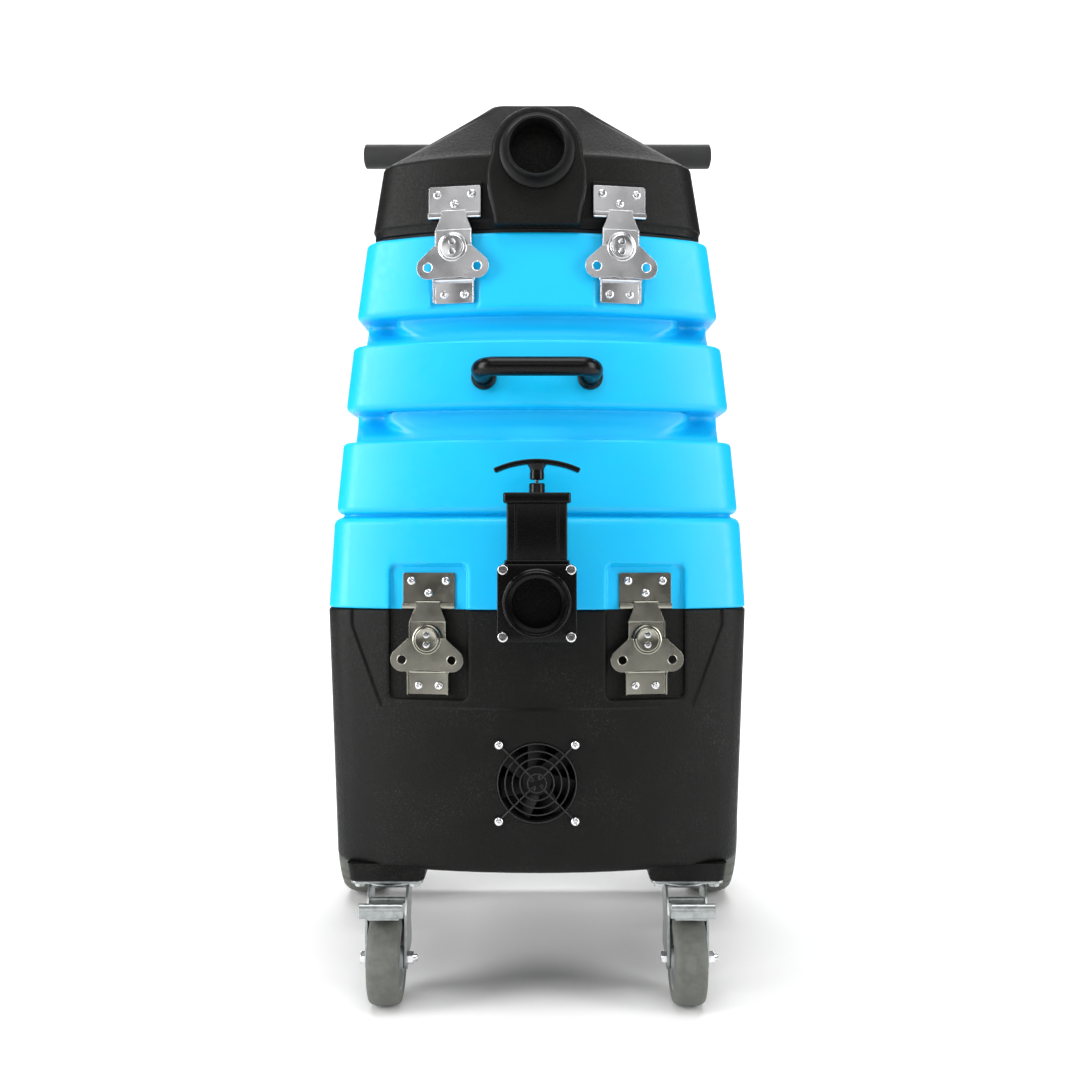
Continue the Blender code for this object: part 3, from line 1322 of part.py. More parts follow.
def make_rear_wheels(looks):
    """Solid axle under the base and the two large wheels on it."""
    axle = bmesh.new()
    r = AXLE / 2.0
    hub_out = WHEEL_X + 0.019
    rings = [(0.012, -hub_out - 0.008), (0.013, -hub_out - 0.006), (0.013, -hub_out - RUN_GAP),
             (r, -hub_out - RUN_GAP), (r, hub_out + RUN_GAP), (0.013, hub_out + RUN_GAP),
             (0.013, hub_out + 0.006), (0.012, hub_out + 0.008)]
    loft(axle, [[on_axis('X', a, b, along) for a, b in circle((WHEEL_Y, WHEEL_RADIUS), size, 16)]
                for size, along in rings])
    piece("rear_axle", axle, looks["zinc"])
    wide = WHEEL_WIDE / 2.0
    bore = r + RUN_GAP
    profile = [(bore, 0.019), (0.022, 0.019), (0.028, 0.008), (0.074, 0.008), (0.082, 0.025),
               (0.104, wide), (0.119, wide - 0.004), (WHEEL_RADIUS, 0.014)]
    profile += [(size, -along) for size, along in profile[::-1]]
    for side, word in ((-1, "left"), (1, "right")):
        x = side * WHEEL_X
        roll = pivot("rear_wheel_axis_" + word, (x, WHEEL_Y, WHEEL_RADIUS))
        wheel = bmesh.new()
        turned(wheel, 'X', (WHEEL_Y, WHEEL_RADIUS), [(size, x + along) for size, along in profile], 28)
        piece("rear_wheel_" + word, wheel, looks["grey_rubber"], roll, smooth=True)


# ---------------------------------------------------------------- inside and back

def make_inside(looks, tilt):
    """Vacuum motor and pump in the base, standpipe in the tank."""
    floor = BASE_BOTTOM + BASE_WALL + RUN_GAP
    motor = bmesh.new()
    centre = (0.0, MOTOR_Y)
    rings = [(0.060, floor), (0.060, floor + 0.010), (MOTOR_RADIUS, floor + 0.012), (MOTOR_RADIUS, floor + 0.070),
             (0.050, floor + 0.074), (0.050, floor + 0.150), (0.044, floor + 0.158)]
    loft(motor, [level(circle(centre, r, 16), z) for r, z in rings])
    piece("vac_motor", motor, looks["cast_metal"])
    pump = bmesh.new()
    rings = [(-0.055, 0.030), (0.020, 0.030), (0.022, 0.038), (0.055, 0.038), (0.058, 0.030)]
    loft(pump, [[on_axis('X', a, b, PUMP_X + along) for a, b in circle((PUMP_Y, floor + 0.0385), r, 12)]
                for along, r in rings])
    body = piece("solution_pump", pump, looks["cast_metal"])
    foot = bmesh.new()
    block(foot, (PUMP_X - 0.035, PUMP_Y - 0.028, floor),
          (PUMP_X + 0.020, PUMP_Y + 0.028, floor + 0.020))
    join(body, "solution_pump_foot", foot)

    pipe = bmesh.new()
    low = TANK_BOTTOM + TANK_WALL + RUN_GAP
    turned(pipe, 'Z', (PIPE_X, PIPE_Y),
           [(PIPE_INNER, low), (0.0400, low), (0.0400, low + 0.005), (PIPE_OUTER, low + 0.006),
            (PIPE_OUTER, PIPE_TOP), (PIPE_INNER, PIPE_TOP)], 14)
    piece("standpipe", pipe, looks["white_pipe"], tilt, smooth=True)


def make_back_panel(looks):
    """Switch panel with two rocker switches and the power inlet."""
    near = REAR_Y + RUN_GAP
    panel = bmesh.new()
    prism(panel, rounded((-PANEL_HALF, PANEL_LOW), (PANEL_HALF, PANEL_HIGH), 0.005), 'Y',
          near, near + PANEL_THICK)
    made = piece("switch_panel", panel, looks["black_moulded"])
    middle = (PANEL_LOW + PANEL_HIGH) / 2.0
    windows = bmesh.new()
    for x in ROCKER_X:
        block(windows, (x - ROCKER_HALF_X - 0.001, near - 0.005, middle - ROCKER_HALF_Z - 0.001),
              (x + ROCKER_HALF_X + 0.001, near + 0.010, middle + ROCKER_HALF_Z + 0.001))
    block(windows, (POWER_INLET_X - 0.0140, near - 0.005, middle - 0.0105),
          (POWER_INLET_X + 0.0140, near + 0.010, middle + 0.0105))
    cut(made, "switch_panel_windows", windows)
    frames = bmesh.new()
    for x in ROCKER_X:
        for way in (-1, 1):
            edge = x + way * (ROCKER_HALF_X + 0.0003)
            block(frames, (min(edge, edge + way * 0.002), near - 0.0100, middle - 0.006),
                  (max(edge, edge + way * 0.002), near + 0.0010, middle + 0.006))
    join(made, "switch_panel_bearings", frames)

    inlet = bmesh.new()
    block(inlet, (POWER_INLET_X - 0.0137, near - 0.020, middle - 0.0102),
          (POWER_INLET_X + 0.0137, near + 0.004, middle + 0.0102))
    socket = piece("power_inlet", inlet, looks["black_moulded"])
    flange = bmesh.new()
    block(flange, (POWER_INLET_X - 0.0250, near + PANEL_THICK + RUN_GAP, middle - 0.0135),
          (POWER_INLET_X + 0.0250, near + PANEL_THICK + 0.0035, middle + 0.0135))
    join(socket, "power_inlet_flange", flange)
    recess = bmesh.new()
    block(recess, (POWER_INLET_X - 0.0115, near - 0.014, middle - 0.008),
          (POWER_INLET_X + 0.0115, near + 0.020, middle + 0.008))
    cut(socket, "power_inlet_recess", recess)

    for x, word in zip(ROCKER_X, ("vacuum", "pump")):
        axis = pivot("rocker_axis_" + word, (x, near - 0.004, middle))
        button = bmesh.new()
        top = ROCKER_HALF_Z - 0.0005
        section = [(-0.0045, -top), (0.0085, -top), (0.0060, 0.0), (0.0085, top), (-0.0045, top)]
        prism(button, section, 'X', -ROCKER_HALF_X, ROCKER_HALF_X)
        pose = Matrix.Translation(standing(axis)) @ Matrix.Rotation(-ROCKER_TILT, 4, 'X')
        piece("rocker_" + word, moved(button, pose), looks["red_plastic"], axis)


# ---------------------------------------------------------------- the machine

def make_looks():
    """Materials by name."""
    return {
        "black_shell": finish("black_polyethylene", (0.012, 0.012, 0.012), 0.60),
        "cyan_shell": finish("cyan_polyethylene", (0.013, 0.510, 0.920), 0.42),
        "black_moulded": finish("black_abs", (0.008, 0.008, 0.008), 0.45),
        "black_gloss": finish("black_gloss_plastic", (0.004, 0.004, 0.004), 0.25),
        "black_wire": finish("black_coated_wire", (0.010, 0.010, 0.010), 0.40),
        "rubber": finish("black_rubber", (0.015, 0.015, 0.015), 0.80),
        "foam_grip": finish("black_grip", (0.028, 0.028, 0.028), 0.55),
        "painted_tube": finish("black_powder_coat", (0.020, 0.020, 0.020), 0.50),
        "plated_steel": finish("nickel_plated_steel", (0.620, 0.610, 0.580), 0.28, 1.0),
        "zinc": finish("zinc_plated_steel", (0.560, 0.580, 0.560), 0.35, 1.0),
        "grey_rubber": finish("grey_rubber", (0.150, 0.155, 0.150), 0.60),
        "cast_metal": finish("cast_aluminium", (0.420, 0.420, 0.420), 0.50, 1.0),
        "white_pipe": finish("white_pvc", (0.750, 0.750, 0.730), 0.40),
        "red_plastic": finish("red_abs", (0.480, 0.020, 0.015), 0.35),
    }


def main():
    """Build the whole machine."""
    clear_scene()
    looks = make_looks()
    make_base(looks)
    tilt = pivot("tank_tilt_axis", (0.0, HINGE_AXIS_Y, TANK_BOTTOM))
    lid_axis = pivot("lid_axis", (0.0, HINGE_AXIS_Y, LID_BOTTOM), tilt)
    gate = pivot("gate_axis", (0.0, (VALVE_FRONT + VALVE_BACK) / 2.0, VALVE_Z), tilt)
    make_tank(looks, tilt)
    make_lid(looks, lid_axis)
    hinge_leaf("tank_hinge_leaf_base", TANK_BOTTOM, False, looks["zinc"], None)
    hinge_leaf("tank_hinge_leaf_tank", TANK_BOTTOM, True, looks["zinc"], tilt)
    hinge_leaf("lid_hinge_leaf_tank", LID_BOTTOM, False, looks["zinc"], tilt)
    hinge_leaf("lid_hinge_leaf_lid", LID_BOTTOM, True, looks["zinc"], lid_axis)
    make_valve(looks, tilt, gate)
    make_handles(looks, tilt)
    for side, word in ((-1, "left"), (1, "right")):
        make_latch("lower_" + word, side, lower_frame(side), None, tilt, looks)
        make_latch("upper_" + word, side, upper_frame(side), tilt, lid_axis, looks)
        make_castor(looks, side, word)
    spin = pivot("fan_spin_axis", (0.0, FRONT_Y + 0.020, FAN_Z))
    make_fan(looks, spin)
    make_rear_wheels(looks)
    make_inside(looks, tilt)
    make_back_panel(looks)


if __name__ == "__main__":
    main()
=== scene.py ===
"""The look of a portable carpet cleaner machine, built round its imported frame.

Metres, +Z up, front towards -Y, +X to the right of someone who faces the front.
"""

import math

import bmesh
import bpy
from bpy.props import FloatProperty
from bpy.props import FloatVectorProperty
from bpy.props import IntProperty
from bpy.props import PointerProperty
from mathutils import Matrix
from mathutils import Vector


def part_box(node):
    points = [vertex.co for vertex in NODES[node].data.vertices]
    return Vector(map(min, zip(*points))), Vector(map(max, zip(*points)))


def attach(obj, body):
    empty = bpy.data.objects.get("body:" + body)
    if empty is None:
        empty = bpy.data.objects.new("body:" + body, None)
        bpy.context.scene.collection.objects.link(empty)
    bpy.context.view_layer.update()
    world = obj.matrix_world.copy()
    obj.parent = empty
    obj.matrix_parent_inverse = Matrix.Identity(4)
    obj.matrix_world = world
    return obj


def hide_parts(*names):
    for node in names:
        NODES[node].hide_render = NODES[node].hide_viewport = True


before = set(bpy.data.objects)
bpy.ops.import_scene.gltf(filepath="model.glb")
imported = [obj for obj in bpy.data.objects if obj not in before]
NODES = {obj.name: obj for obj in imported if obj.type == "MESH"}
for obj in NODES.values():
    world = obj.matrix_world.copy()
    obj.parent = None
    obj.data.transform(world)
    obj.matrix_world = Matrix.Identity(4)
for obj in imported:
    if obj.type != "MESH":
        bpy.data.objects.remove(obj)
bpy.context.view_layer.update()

bl_info = {
    "name": "Carpet cleaner machine",
    "version": (1, 0, 0),
    "blender": (4, 5, 0),
    "location": "3D View > Sidebar > Carpet cleaner",
    "description": "Moulded shells, latches, drain valve, castors and studio of a carpet cleaner machine",
    "category": "Add Mesh",
}

MM = 0.001
SIDES = ((-1, "left"), (1, "right"))

# The casings' common outline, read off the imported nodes
BASE_LOW, BASE_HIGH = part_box("base_housing")
TANK_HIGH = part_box("tank_shell")[1]
LID_LOW, LID_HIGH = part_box("lid_shell")
FRONT_Y = BASE_LOW.y
REAR_Y = BASE_HIGH.y
BASE_BOTTOM = 0.153
BASE_TOP = BASE_HIGH.z
TANK_BOTTOM = BASE_TOP + 0.6 * MM
TANK_TOP = TANK_HIGH.z
BOW = 0.052
FRONT_CORNER = 0.040
REAR_CORNER = 0.012
LEAN = 0.060

# Ribs of the tank from the bottom up: lowest and highest level, half width at each
RIBS = (
    (TANK_BOTTOM, 0.5410, 0.2372, 0.2316),
    (0.5440, 0.6260, 0.2298, 0.2222),
    (0.6600, 0.7360, 0.2201, 0.2115),
    (0.7650, TANK_TOP, 0.2085, 0.1967),
)

# Lid
LID_BOTTOM = LID_LOW.z
LID_FRONT_Y = -0.2430
LID_HALF = 0.1895
LID_SHOULDER_HALF = 0.1790
LID_SHOULDER_Z = 0.9455
LID_SHOULDER_RISE = 0.0005
LID_ROOF_Z = LID_HIGH.z
LID_ROOF_HALF = 0.0570
LID_ROOF_FRONT = -0.190
LID_ROOF_REAR = 0.040
PYLON_FACE = LID_LOW.y
PYLON_HALF = 0.0560
PYLON_TOP_HALF = 0.0500
PYLON_FOOT_HALF = 0.0480
TOWER_BOTTOM = LID_BOTTOM + 1.0 * MM
PYLON_CROWN = 0.9900
INLET_Z = 0.9400

# Latch pockets and the step round them
LOWER_LATCH = (0.1185, 0.4065, math.radians(10.0))
UPPER_LATCH = (0.0910, 0.8380, math.radians(11.0))
UPPER_SEAT_Y = -0.2348
POCKET_X = (-0.0435, 0.0445)
POCKET_Z = (0.341, 0.488)
POCKET_CORNER = 0.007
POCKET_DEPTH = 0.0080
STEP_Z = (0.332, 0.421)
STEP_HALF = (0.172, 0.206)
STEP_DEPTH = 0.0025

# Drain valve, fan, castors and wheels
VALVE_Z = 0.450
VALVE_Y = (-0.3300, -0.2853)
VALVE_MID_Y = (VALVE_Y[0] + VALVE_Y[1]) / 2.0
HUB_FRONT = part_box("valve_body")[0].y
FAN_Z = 0.2527
FAN_PITCH = 0.0825
CASTOR_X = 0.167
CASTOR_Y = -0.192
CASTOR_AXLE = (-0.230, 0.0508)
WHEEL_X = 0.247
WHEEL_Y = 0.228
WHEEL_RADIUS = 0.127


# ---------------------------------------------------------------- colour and nodes

def linear(text):
    """Linear colour from an sRGB hex value."""
    parts = [int(text[i:i + 2], 16) / 255.0 for i in (1, 3, 5)]
    return tuple(c / 12.92 if c <= 0.04045 else ((c + 0.055) / 1.055) ** 2.4 for c in parts)


def add(tree, kind, settings, inputs):
    """Add a node with its settings, and give each named input a value or a link."""
    node = tree.nodes.new(kind)
    for key, value in settings.items():
        setattr(node, key, value)
    for key, value in inputs.items():
        if isinstance(value, bpy.types.NodeSocket):
            tree.links.new(value, node.inputs[key])
        else:
            node.inputs[key].default_value = value
    return node


def ramp(tree, fac, low, high, start=0.4, end=0.6):
    """Two colours on a ramp."""
    node = add(tree, "ShaderNodeValToRGB", {}, {"Fac": fac})
    first, last = node.color_ramp.elements
    first.position, last.position = start, end
    first.color, last.color = (*low, 1.0), (*high, 1.0)
    return node.outputs["Color"]


def noise(tree, where, size_mm, detail=3.0, rough=0.6):
    """Noise whose lumps are about size_mm across."""
    scale = 1.0 / (size_mm * MM)
    node = add(tree, "ShaderNodeTexNoise", {},
               {"Vector": where, "Scale": scale, "Detail": detail, "Roughness": rough})
    return node.outputs["Fac"]


def remap(tree, value, low, high, start=0.3, end=0.7):
    """A value brought into another range."""
    node = add(tree, "ShaderNodeMapRange", {},
               {"Value": value, "From Min": start, "From Max": end, "To Min": low, "To Max": high})
    return node.outputs["Result"]


def bump(tree, height, distance_mm, strength, under=None):
    """A bump from a height, on top of another one."""
    inputs = {"Height": height, "Distance": distance_mm * MM, "Strength": strength}
    if under is not None:
        inputs["Normal"] = under
    return add(tree, "ShaderNodeBump", {}, inputs).outputs["Normal"]


# ---------------------------------------------------------------- materials

def black_rotomoulded_polyethylene(tree, where, colours):
    """Black PE from a sand-blasted rotational mould: leathery grain, with painted grey highlights on its
    tops.
    """
    grain = noise(tree, where, 3.2, 4.0, 0.62)
    pits = noise(tree, where, 1.5, 3.0, 0.6)
    broad = noise(tree, where, 70.0, 3.0, 0.55)
    # Painted highlights on the tops of the grain, greyer than the body colour, in some patches more than in
    # others
    patch = remap(tree, broad, 0.0, 1.0, 0.42, 0.66)
    tops = remap(tree, pits, 0.0, 1.0, 0.55, 0.75)
    highlight_share = add(tree, "ShaderNodeMath", {"operation": 'MULTIPLY'}, {0: patch, 1: tops}).outputs[0]
    highlight_colour = ramp(tree, highlight_share, colours.black_shell, colours.black_grain, 0.0, 0.8)
    skin = bump(tree, broad, 1.2, 0.25)
    skin = bump(tree, grain, 0.8, 0.7, skin)
    skin = bump(tree, pits, 0.3, 0.5, skin)
    rough = remap(tree, grain, 0.34, 0.56)
    return {"Base Color": highlight_colour, "Roughness": rough, "Normal": skin, "IOR": 1.51,
            "Specular IOR Level": 0.16}


def cyan_rotomoulded_polyethylene(tree, where, colours):
    """Cyan PE from a polished rotational mould: waxy, with a faint orange peel and cloudy colour."""
    cloud = noise(tree, where, 160.0, 2.0, 0.5)
    peel = noise(tree, where, 6.0, 2.0, 0.5)
    fine = noise(tree, where, 1.2, 2.0, 0.5)
    tint = ramp(tree, cloud, colours.cyan_shell, colours.cyan_light, 0.35, 0.75)
    skin = bump(tree, cloud, 2.0, 0.18)
    skin = bump(tree, peel, 0.20, 0.30, skin)
    skin = bump(tree, fine, 0.05, 0.25, skin)
    rough = remap(tree, peel, 0.34, 0.46)
    return {"Base Color": tint, "Roughness": rough, "Normal": skin, "IOR": 1.51,
            "Specular IOR Level": 0.40, "Subsurface Weight": 0.06,
            "Subsurface Radius": (0.2, 0.8, 1.0),
            "Subsurface Scale": 0.006}


def black_gloss_abs(tree, where, colours):
    """Injection moulded ABS, polished: deep black with faint sink marks and dust."""
    sink = noise(tree, where, 25.0, 2.0, 0.5)
    dust = noise(tree, where, 0.9, 2.0, 0.6)
    skin = bump(tree, sink, 0.4, 0.15)
    rough = remap(tree, dust, 0.20, 0.34)
    return {"Base Color": (*colours.gloss_black, 1.0), "Roughness": rough,
            "Normal": skin, "IOR": 1.53, "Specular IOR Level": 0.20}


def black_moulded_abs(tree, where, colours):
    """Injection moulded ABS from a spark-eroded tool: an even satin grain."""
    grain = noise(tree, where, 0.8, 2.0, 0.5)
    broad = noise(tree, where, 40.0, 2.0, 0.5)
    skin = bump(tree, grain, 0.08, 0.5)
    rough = remap(tree, broad, 0.42, 0.52)
    return {"Base Color": (*colours.moulded_black, 1.0), "Roughness": rough,
            "Normal": skin, "IOR": 1.53, "Specular IOR Level": 0.20}


def satin_grip_vinyl(tree, where, colours):
    """Dipped vinyl over the push bar: soft satin with rubbed, slightly shinier patches."""
    rubbed = noise(tree, where, 35.0, 3.0, 0.55)
    grain = noise(tree, where, 1.0, 2.0, 0.5)
    skin = bump(tree, grain, 0.08, 0.4)
    rough = remap(tree, rubbed, 0.44, 0.62)
    tint = ramp(tree, rubbed, colours.grip, [c * 1.35 for c in colours.grip], 0.3, 0.8)
    return {"Base Color": tint, "Roughness": rough, "Normal": skin, "IOR": 1.54,
            "Specular IOR Level": 0.25}


def black_powder_coat(tree, where, colours):
    """Powder-coated tube: an orange peel a millimetre or two across."""
    peel = noise(tree, where, 1.8, 2.0, 0.5)
    skin = bump(tree, peel, 0.12, 0.5)
    rough = remap(tree, peel, 0.38, 0.50)
    return {"Base Color": (*colours.moulded_black, 1.0), "Roughness": rough,
            "Normal": skin, "IOR": 1.5, "Coat Weight": 0.2}


def plated_sheet(tree, where, colour):
    """Pressed steel with bright nickel: rolling lines under the plate, and smudges."""
    stretched = add(tree, "ShaderNodeMapping", {}, {"Vector": where, "Scale": (1.0, 1.0, 0.04)})
    lines = noise(tree, stretched.outputs["Vector"], 0.5, 3.0, 0.6)
    smudge = noise(tree, where, 22.0, 3.0, 0.55)
    tint = ramp(tree, smudge, [c * 0.88 for c in colour], colour, 0.35, 0.65)
    skin = bump(tree, lines, 0.02, 0.25)
    skin = bump(tree, noise(tree, where, 26.0, 1.0, 0.5), 0.35, 0.08, skin)
    rough = remap(tree, smudge, 0.19, 0.28)
    return {"Base Color": tint, "Metallic": 1.0, "Roughness": rough, "Normal": skin}


def nickel_plated_steel(tree, where, colours):
    """Nickel plate of the lower latches: a darker, tan copy of the bright nickel, painted shade and
    reflection.
    """
    return plated_sheet(tree, where, colours.nickel)


def polished_nickel_steel(tree, where, colours):
    """Nickel plate of the upper latches, bright."""
    return plated_sheet(tree, where, colours.bright_nickel)


def black_coated_wire(tree, where, colours):
    """Round wire with a thin dipped coat: glossy, slightly uneven."""
    coat = noise(tree, where, 6.0, 2.0, 0.5)
    skin = bump(tree, coat, 0.10, 0.3)
    rough = remap(tree, coat, 0.24, 0.38)
    return {"Base Color": (*colours.moulded_black, 1.0), "Roughness": rough,
            "Normal": skin, "IOR": 1.5}


def bright_chromed_steel(tree, where, colours):
    """Chromed screw heads and rivets: a near mirror with a few dull spots."""
    spots = noise(tree, where, 2.5, 3.0, 0.6)
    tint = ramp(tree, spots, [c * 0.82 for c in colours.bright_nickel], colours.bright_nickel, 0.40, 0.55)
    rough = remap(tree, spots, 0.10, 0.26)
    return {"Base Color": tint, "Metallic": 1.0, "Roughness": rough}


def blue_zinc_plated_steel(tree, where, colours):
    """Stamped steel with clear blue zinc: bluish grey, cloudy, with bare bright edges."""
    cloud = noise(tree, where, 9.0, 4.0, 0.65)
    fine = noise(tree, where, 0.9, 2.0, 0.5)
    tint = ramp(tree, cloud, [c * 0.62 for c in colours.zinc], colours.zinc, 0.32, 0.66)
    skin = bump(tree, fine, 0.04, 0.4)
    rough = remap(tree, cloud, 0.26, 0.44)
    return {"Base Color": tint, "Metallic": 1.0, "Roughness": rough, "Normal": skin}


def grey_tyre_rubber(tree, where, colours):
    """Non-marking grey rubber: matt, with a moulded grain, floor dust and scuffs."""
    dust = noise(tree, where, 11.0, 4.0, 0.65)
    grain = noise(tree, where, 0.9, 2.0, 0.5)
    dark = [c * 0.72 for c in colours.tyre]
    tint = ramp(tree, dust, dark, colours.tyre, 0.35, 0.62)
    skin = bump(tree, grain, 0.08, 0.4)
    rough = remap(tree, dust, 0.50, 0.68)
    return {"Base Color": tint, "Roughness": rough, "Normal": skin, "IOR": 1.52}


def grey_moulded_nylon(tree, where, colours):
    """Moulded nylon of the castor and wheel hubs: light grey, satin."""
    cloud = noise(tree, where, 20.0, 3.0, 0.6)
    tint = ramp(tree, cloud, [c * 0.85 for c in colours.hub], colours.hub, 0.35, 0.65)
    skin = bump(tree, noise(tree, where, 0.9, 2.0, 0.5), 0.05, 0.4)
    rough = remap(tree, cloud, 0.38, 0.50)
    return {"Base Color": tint, "Roughness": rough, "Normal": skin, "IOR": 1.53}


def black_foam_rubber(tree, where, colours):
    """Closed-cell foam rubber of the lid seal: matt, with open cut cells."""
    cells = add(tree, "ShaderNodeTexVoronoi", {}, {"Vector": where, "Scale": 1.0 / (0.9 * MM)})
    skin = bump(tree, cells.outputs["Distance"], 0.3, 0.6)
    tint = ramp(tree, cells.outputs["Distance"], colours.moulded_black, colours.black_grain, 0.2, 1.6)
    return {"Base Color": tint, "Roughness": 0.85, "Normal": skin, "IOR": 1.5}


def cast_aluminium(tree, where, colours):
    """Sand-cast aluminium of the motor and pump: dull, pitted."""
    pits = noise(tree, where, 1.6, 4.0, 0.65)
    tint = ramp(tree, pits, [c * 0.6 for c in colours.zinc], [c * 0.9 for c in colours.zinc], 0.35, 0.6)
    skin = bump(tree, pits, 0.25, 0.5)
    rough = remap(tree, pits, 0.42, 0.60)
    return {"Base Color": tint, "Metallic": 1.0, "Roughness": rough, "Normal": skin}


def white_extruded_pvc(tree, where, colours):
    """Extruded PVC of the standpipe: faint lines along the pipe, slightly yellowed."""
    stretched = add(tree, "ShaderNodeMapping", {}, {"Vector": where, "Scale": (1.0, 1.0, 0.02)})
    lines = noise(tree, stretched.outputs["Vector"], 1.2, 2.0, 0.5)
    tint = ramp(tree, noise(tree, where, 60.0, 3.0, 0.6), colours.pvc, [c * 0.88 for c in colours.pvc],
                0.35, 0.7)
    skin = bump(tree, lines, 0.05, 0.4)
    return {"Base Color": tint, "Roughness": 0.38, "Normal": skin, "IOR": 1.54}


def red_moulded_polycarbonate(tree, where, colours):
    """Moulded polycarbonate of the rocker switches: clear red gloss."""
    cloud = noise(tree, where, 5.0, 2.0, 0.5)
    tint = ramp(tree, cloud, [c * 0.85 for c in colours.rocker], colours.rocker, 0.35, 0.7)
    rough = remap(tree, cloud, 0.20, 0.30)
    return {"Base Color": tint, "Roughness": rough, "IOR": 1.58}


def matt_studio_paper(tree, where, colours):
    """Seamless backdrop paper: plain, with hardly any tooth."""
    tooth = noise(tree, where, 4.0, 2.0, 0.5)
    tint = ramp(tree, tooth, [c * 0.985 for c in colours.backdrop], colours.backdrop, 0.3, 0.7)
    return {"Base Color": tint, "Roughness": 0.92, "Specular IOR Level": 0.1}


# Each finish by name, with the record's slot listed beside it
MAKERS = {maker.__name__: (maker, slot) for maker, slot in (
    (black_rotomoulded_polyethylene, "black_shell"),
    (cyan_rotomoulded_polyethylene, "cyan_shell"),
    (black_gloss_abs, "black_gloss"),
    (black_moulded_abs, "black_moulded"),
    (satin_grip_vinyl, "grip"),
    (black_powder_coat, "painted_tube"),
    (nickel_plated_steel, "plated_steel"),
    (polished_nickel_steel, "plated_steel"),
    (black_coated_wire, "black_wire"),
    (bright_chromed_steel, "plated_steel"),
    (blue_zinc_plated_steel, "zinc"),
    (grey_tyre_rubber, "grey_rubber"),
    (grey_moulded_nylon, "grey_rubber"),
    (black_foam_rubber, "rubber"),
    (cast_aluminium, "cast_metal"),
    (white_extruded_pvc, "white_pipe"),
    (red_moulded_polycarbonate, "red_plastic"),
    (matt_studio_paper, None),
)}


def look(name):
    """A material by name, made when it is first asked for."""
    found = bpy.data.materials.get(name)
    if found:
        return found
    material = bpy.data.materials.new(name)
    material.use_nodes = True
    tree = material.node_tree
    tree.nodes.clear()
    where = add(tree, "ShaderNodeTexCoord", {}, {}).outputs["Object"]
    inputs = MAKERS[name][0](tree, where, bpy.context.scene.cleaner_colours)
    shader = add(tree, "ShaderNodeBsdfPrincipled", {}, inputs)
    add(tree, "ShaderNodeOutputMaterial", {}, {"Surface": shader.outputs["BSDF"]})
    return material


# ---------------------------------------------------------------- mesh helpers

def arc(centre, radius, start, end, steps):
    """Points on an arc, in degrees, both ends included."""
    turns = [math.radians(start + (end - start) * i / steps) for i in range(steps + 1)]
    return [(centre[0] + radius * math.cos(t), centre[1] + radius * math.sin(t)) for t in turns]


def circle(centre, radius, steps=48):
    """Points round a circle."""
    return arc(centre, radius, 0.0, 360.0, steps)[:-1]


def rounded(low, high, radius, steps=5):
    """A rectangle with rounded corners."""
    left, bottom = low[0] + radius, low[1] + radius
    right, top = high[0] - radius, high[1] - radius
    return (arc((left, bottom), radius, 180.0, 270.0, steps)
            + arc((right, bottom), radius, 270.0, 360.0, steps)
            + arc((right, top), radius, 0.0, 90.0, steps)
            + arc((left, top), radius, 90.0, 180.0, steps))


def on_axis(axis, first, second, along):
    """A point from two coordinates across an axis and one along it."""
    if axis == 'X':
        return Vector((along, first, second))
    if axis == 'Y':
        return Vector((first, along, second))
    return Vector((first, second, along))


def level(outline, z):
    """An outline lifted to a height."""
    return [(x, y, z) for x, y in outline]


def loft(shape, rings, ends=True):
    """Skin rings of equal length, and close both ends."""
    rows = [[shape.verts.new(point) for point in ring] for ring in rings]
    count = len(rows[0])
    for lower, upper in zip(rows, rows[1:]):
        for i in range(count):
            j = (i + 1) % count
            shape.faces.new((lower[i], lower[j], upper[j], upper[i]))
    if ends:
        shape.faces.new(rows[0][::-1])
        shape.faces.new(rows[-1])
    else:
        for i in range(count):
            j = (i + 1) % count
            shape.faces.new((rows[-1][i], rows[-1][j], rows[0][j], rows[0][i]))


def prism(shape, outline, axis, start, end):
    """An outline pushed along an axis."""
    loft(shape, [[on_axis(axis, a, b, along) for a, b in outline] for along in (start, end)])


def slab(shape, outline, axis, start, end, edge, steps=3):
    """An outline pushed along an axis, with its edges rounded by drawing it in towards its middle."""
    middle = [sum(values) / len(outline) for values in zip(*outline)]
    reach = [max(abs(point[i] - middle[i]) for point in outline) for i in (0, 1)]
    rings = []
    turns = [math.pi / 2.0 * i / steps for i in range(steps + 1)]
    stations = [(start + edge * (1.0 - math.sin(t)), edge * (1.0 - math.cos(t))) for t in turns[::-1]]
    stations += [(end - edge * (1.0 - math.sin(t)), edge * (1.0 - math.cos(t))) for t in turns]
    for along, inset in stations:
        scale = [1.0 - inset / reach[i] for i in (0, 1)]
        rings.append([on_axis(axis, middle[0] + (a - middle[0]) * scale[0],
                              middle[1] + (b - middle[1]) * scale[1], along) for a, b in outline])
    loft(shape, rings)


def spun(shape, axis, centre, profile, steps=48):
    """A solid turned from (radius, place along the axis) points, capped at both ends."""
    loft(shape, [[on_axis(axis, a, b, along) for a, b in circle(centre, radius, steps)]
                 for radius, along in profile])


def ring(shape, axis, centre, profile, steps=48):
    """A ring turned from a closed profile of (radius, place along the axis) points."""
    loft(shape, [[on_axis(axis, a, b, along) for a, b in circle(centre, radius, steps)]
                 for radius, along in profile], ends=False)


def wire_ring(shape, axis, centre, along, radius, wire, steps=48):
    """A hoop of round wire."""
    ring(shape, axis, centre, circle((radius, along), wire / 2.0, 8), steps)


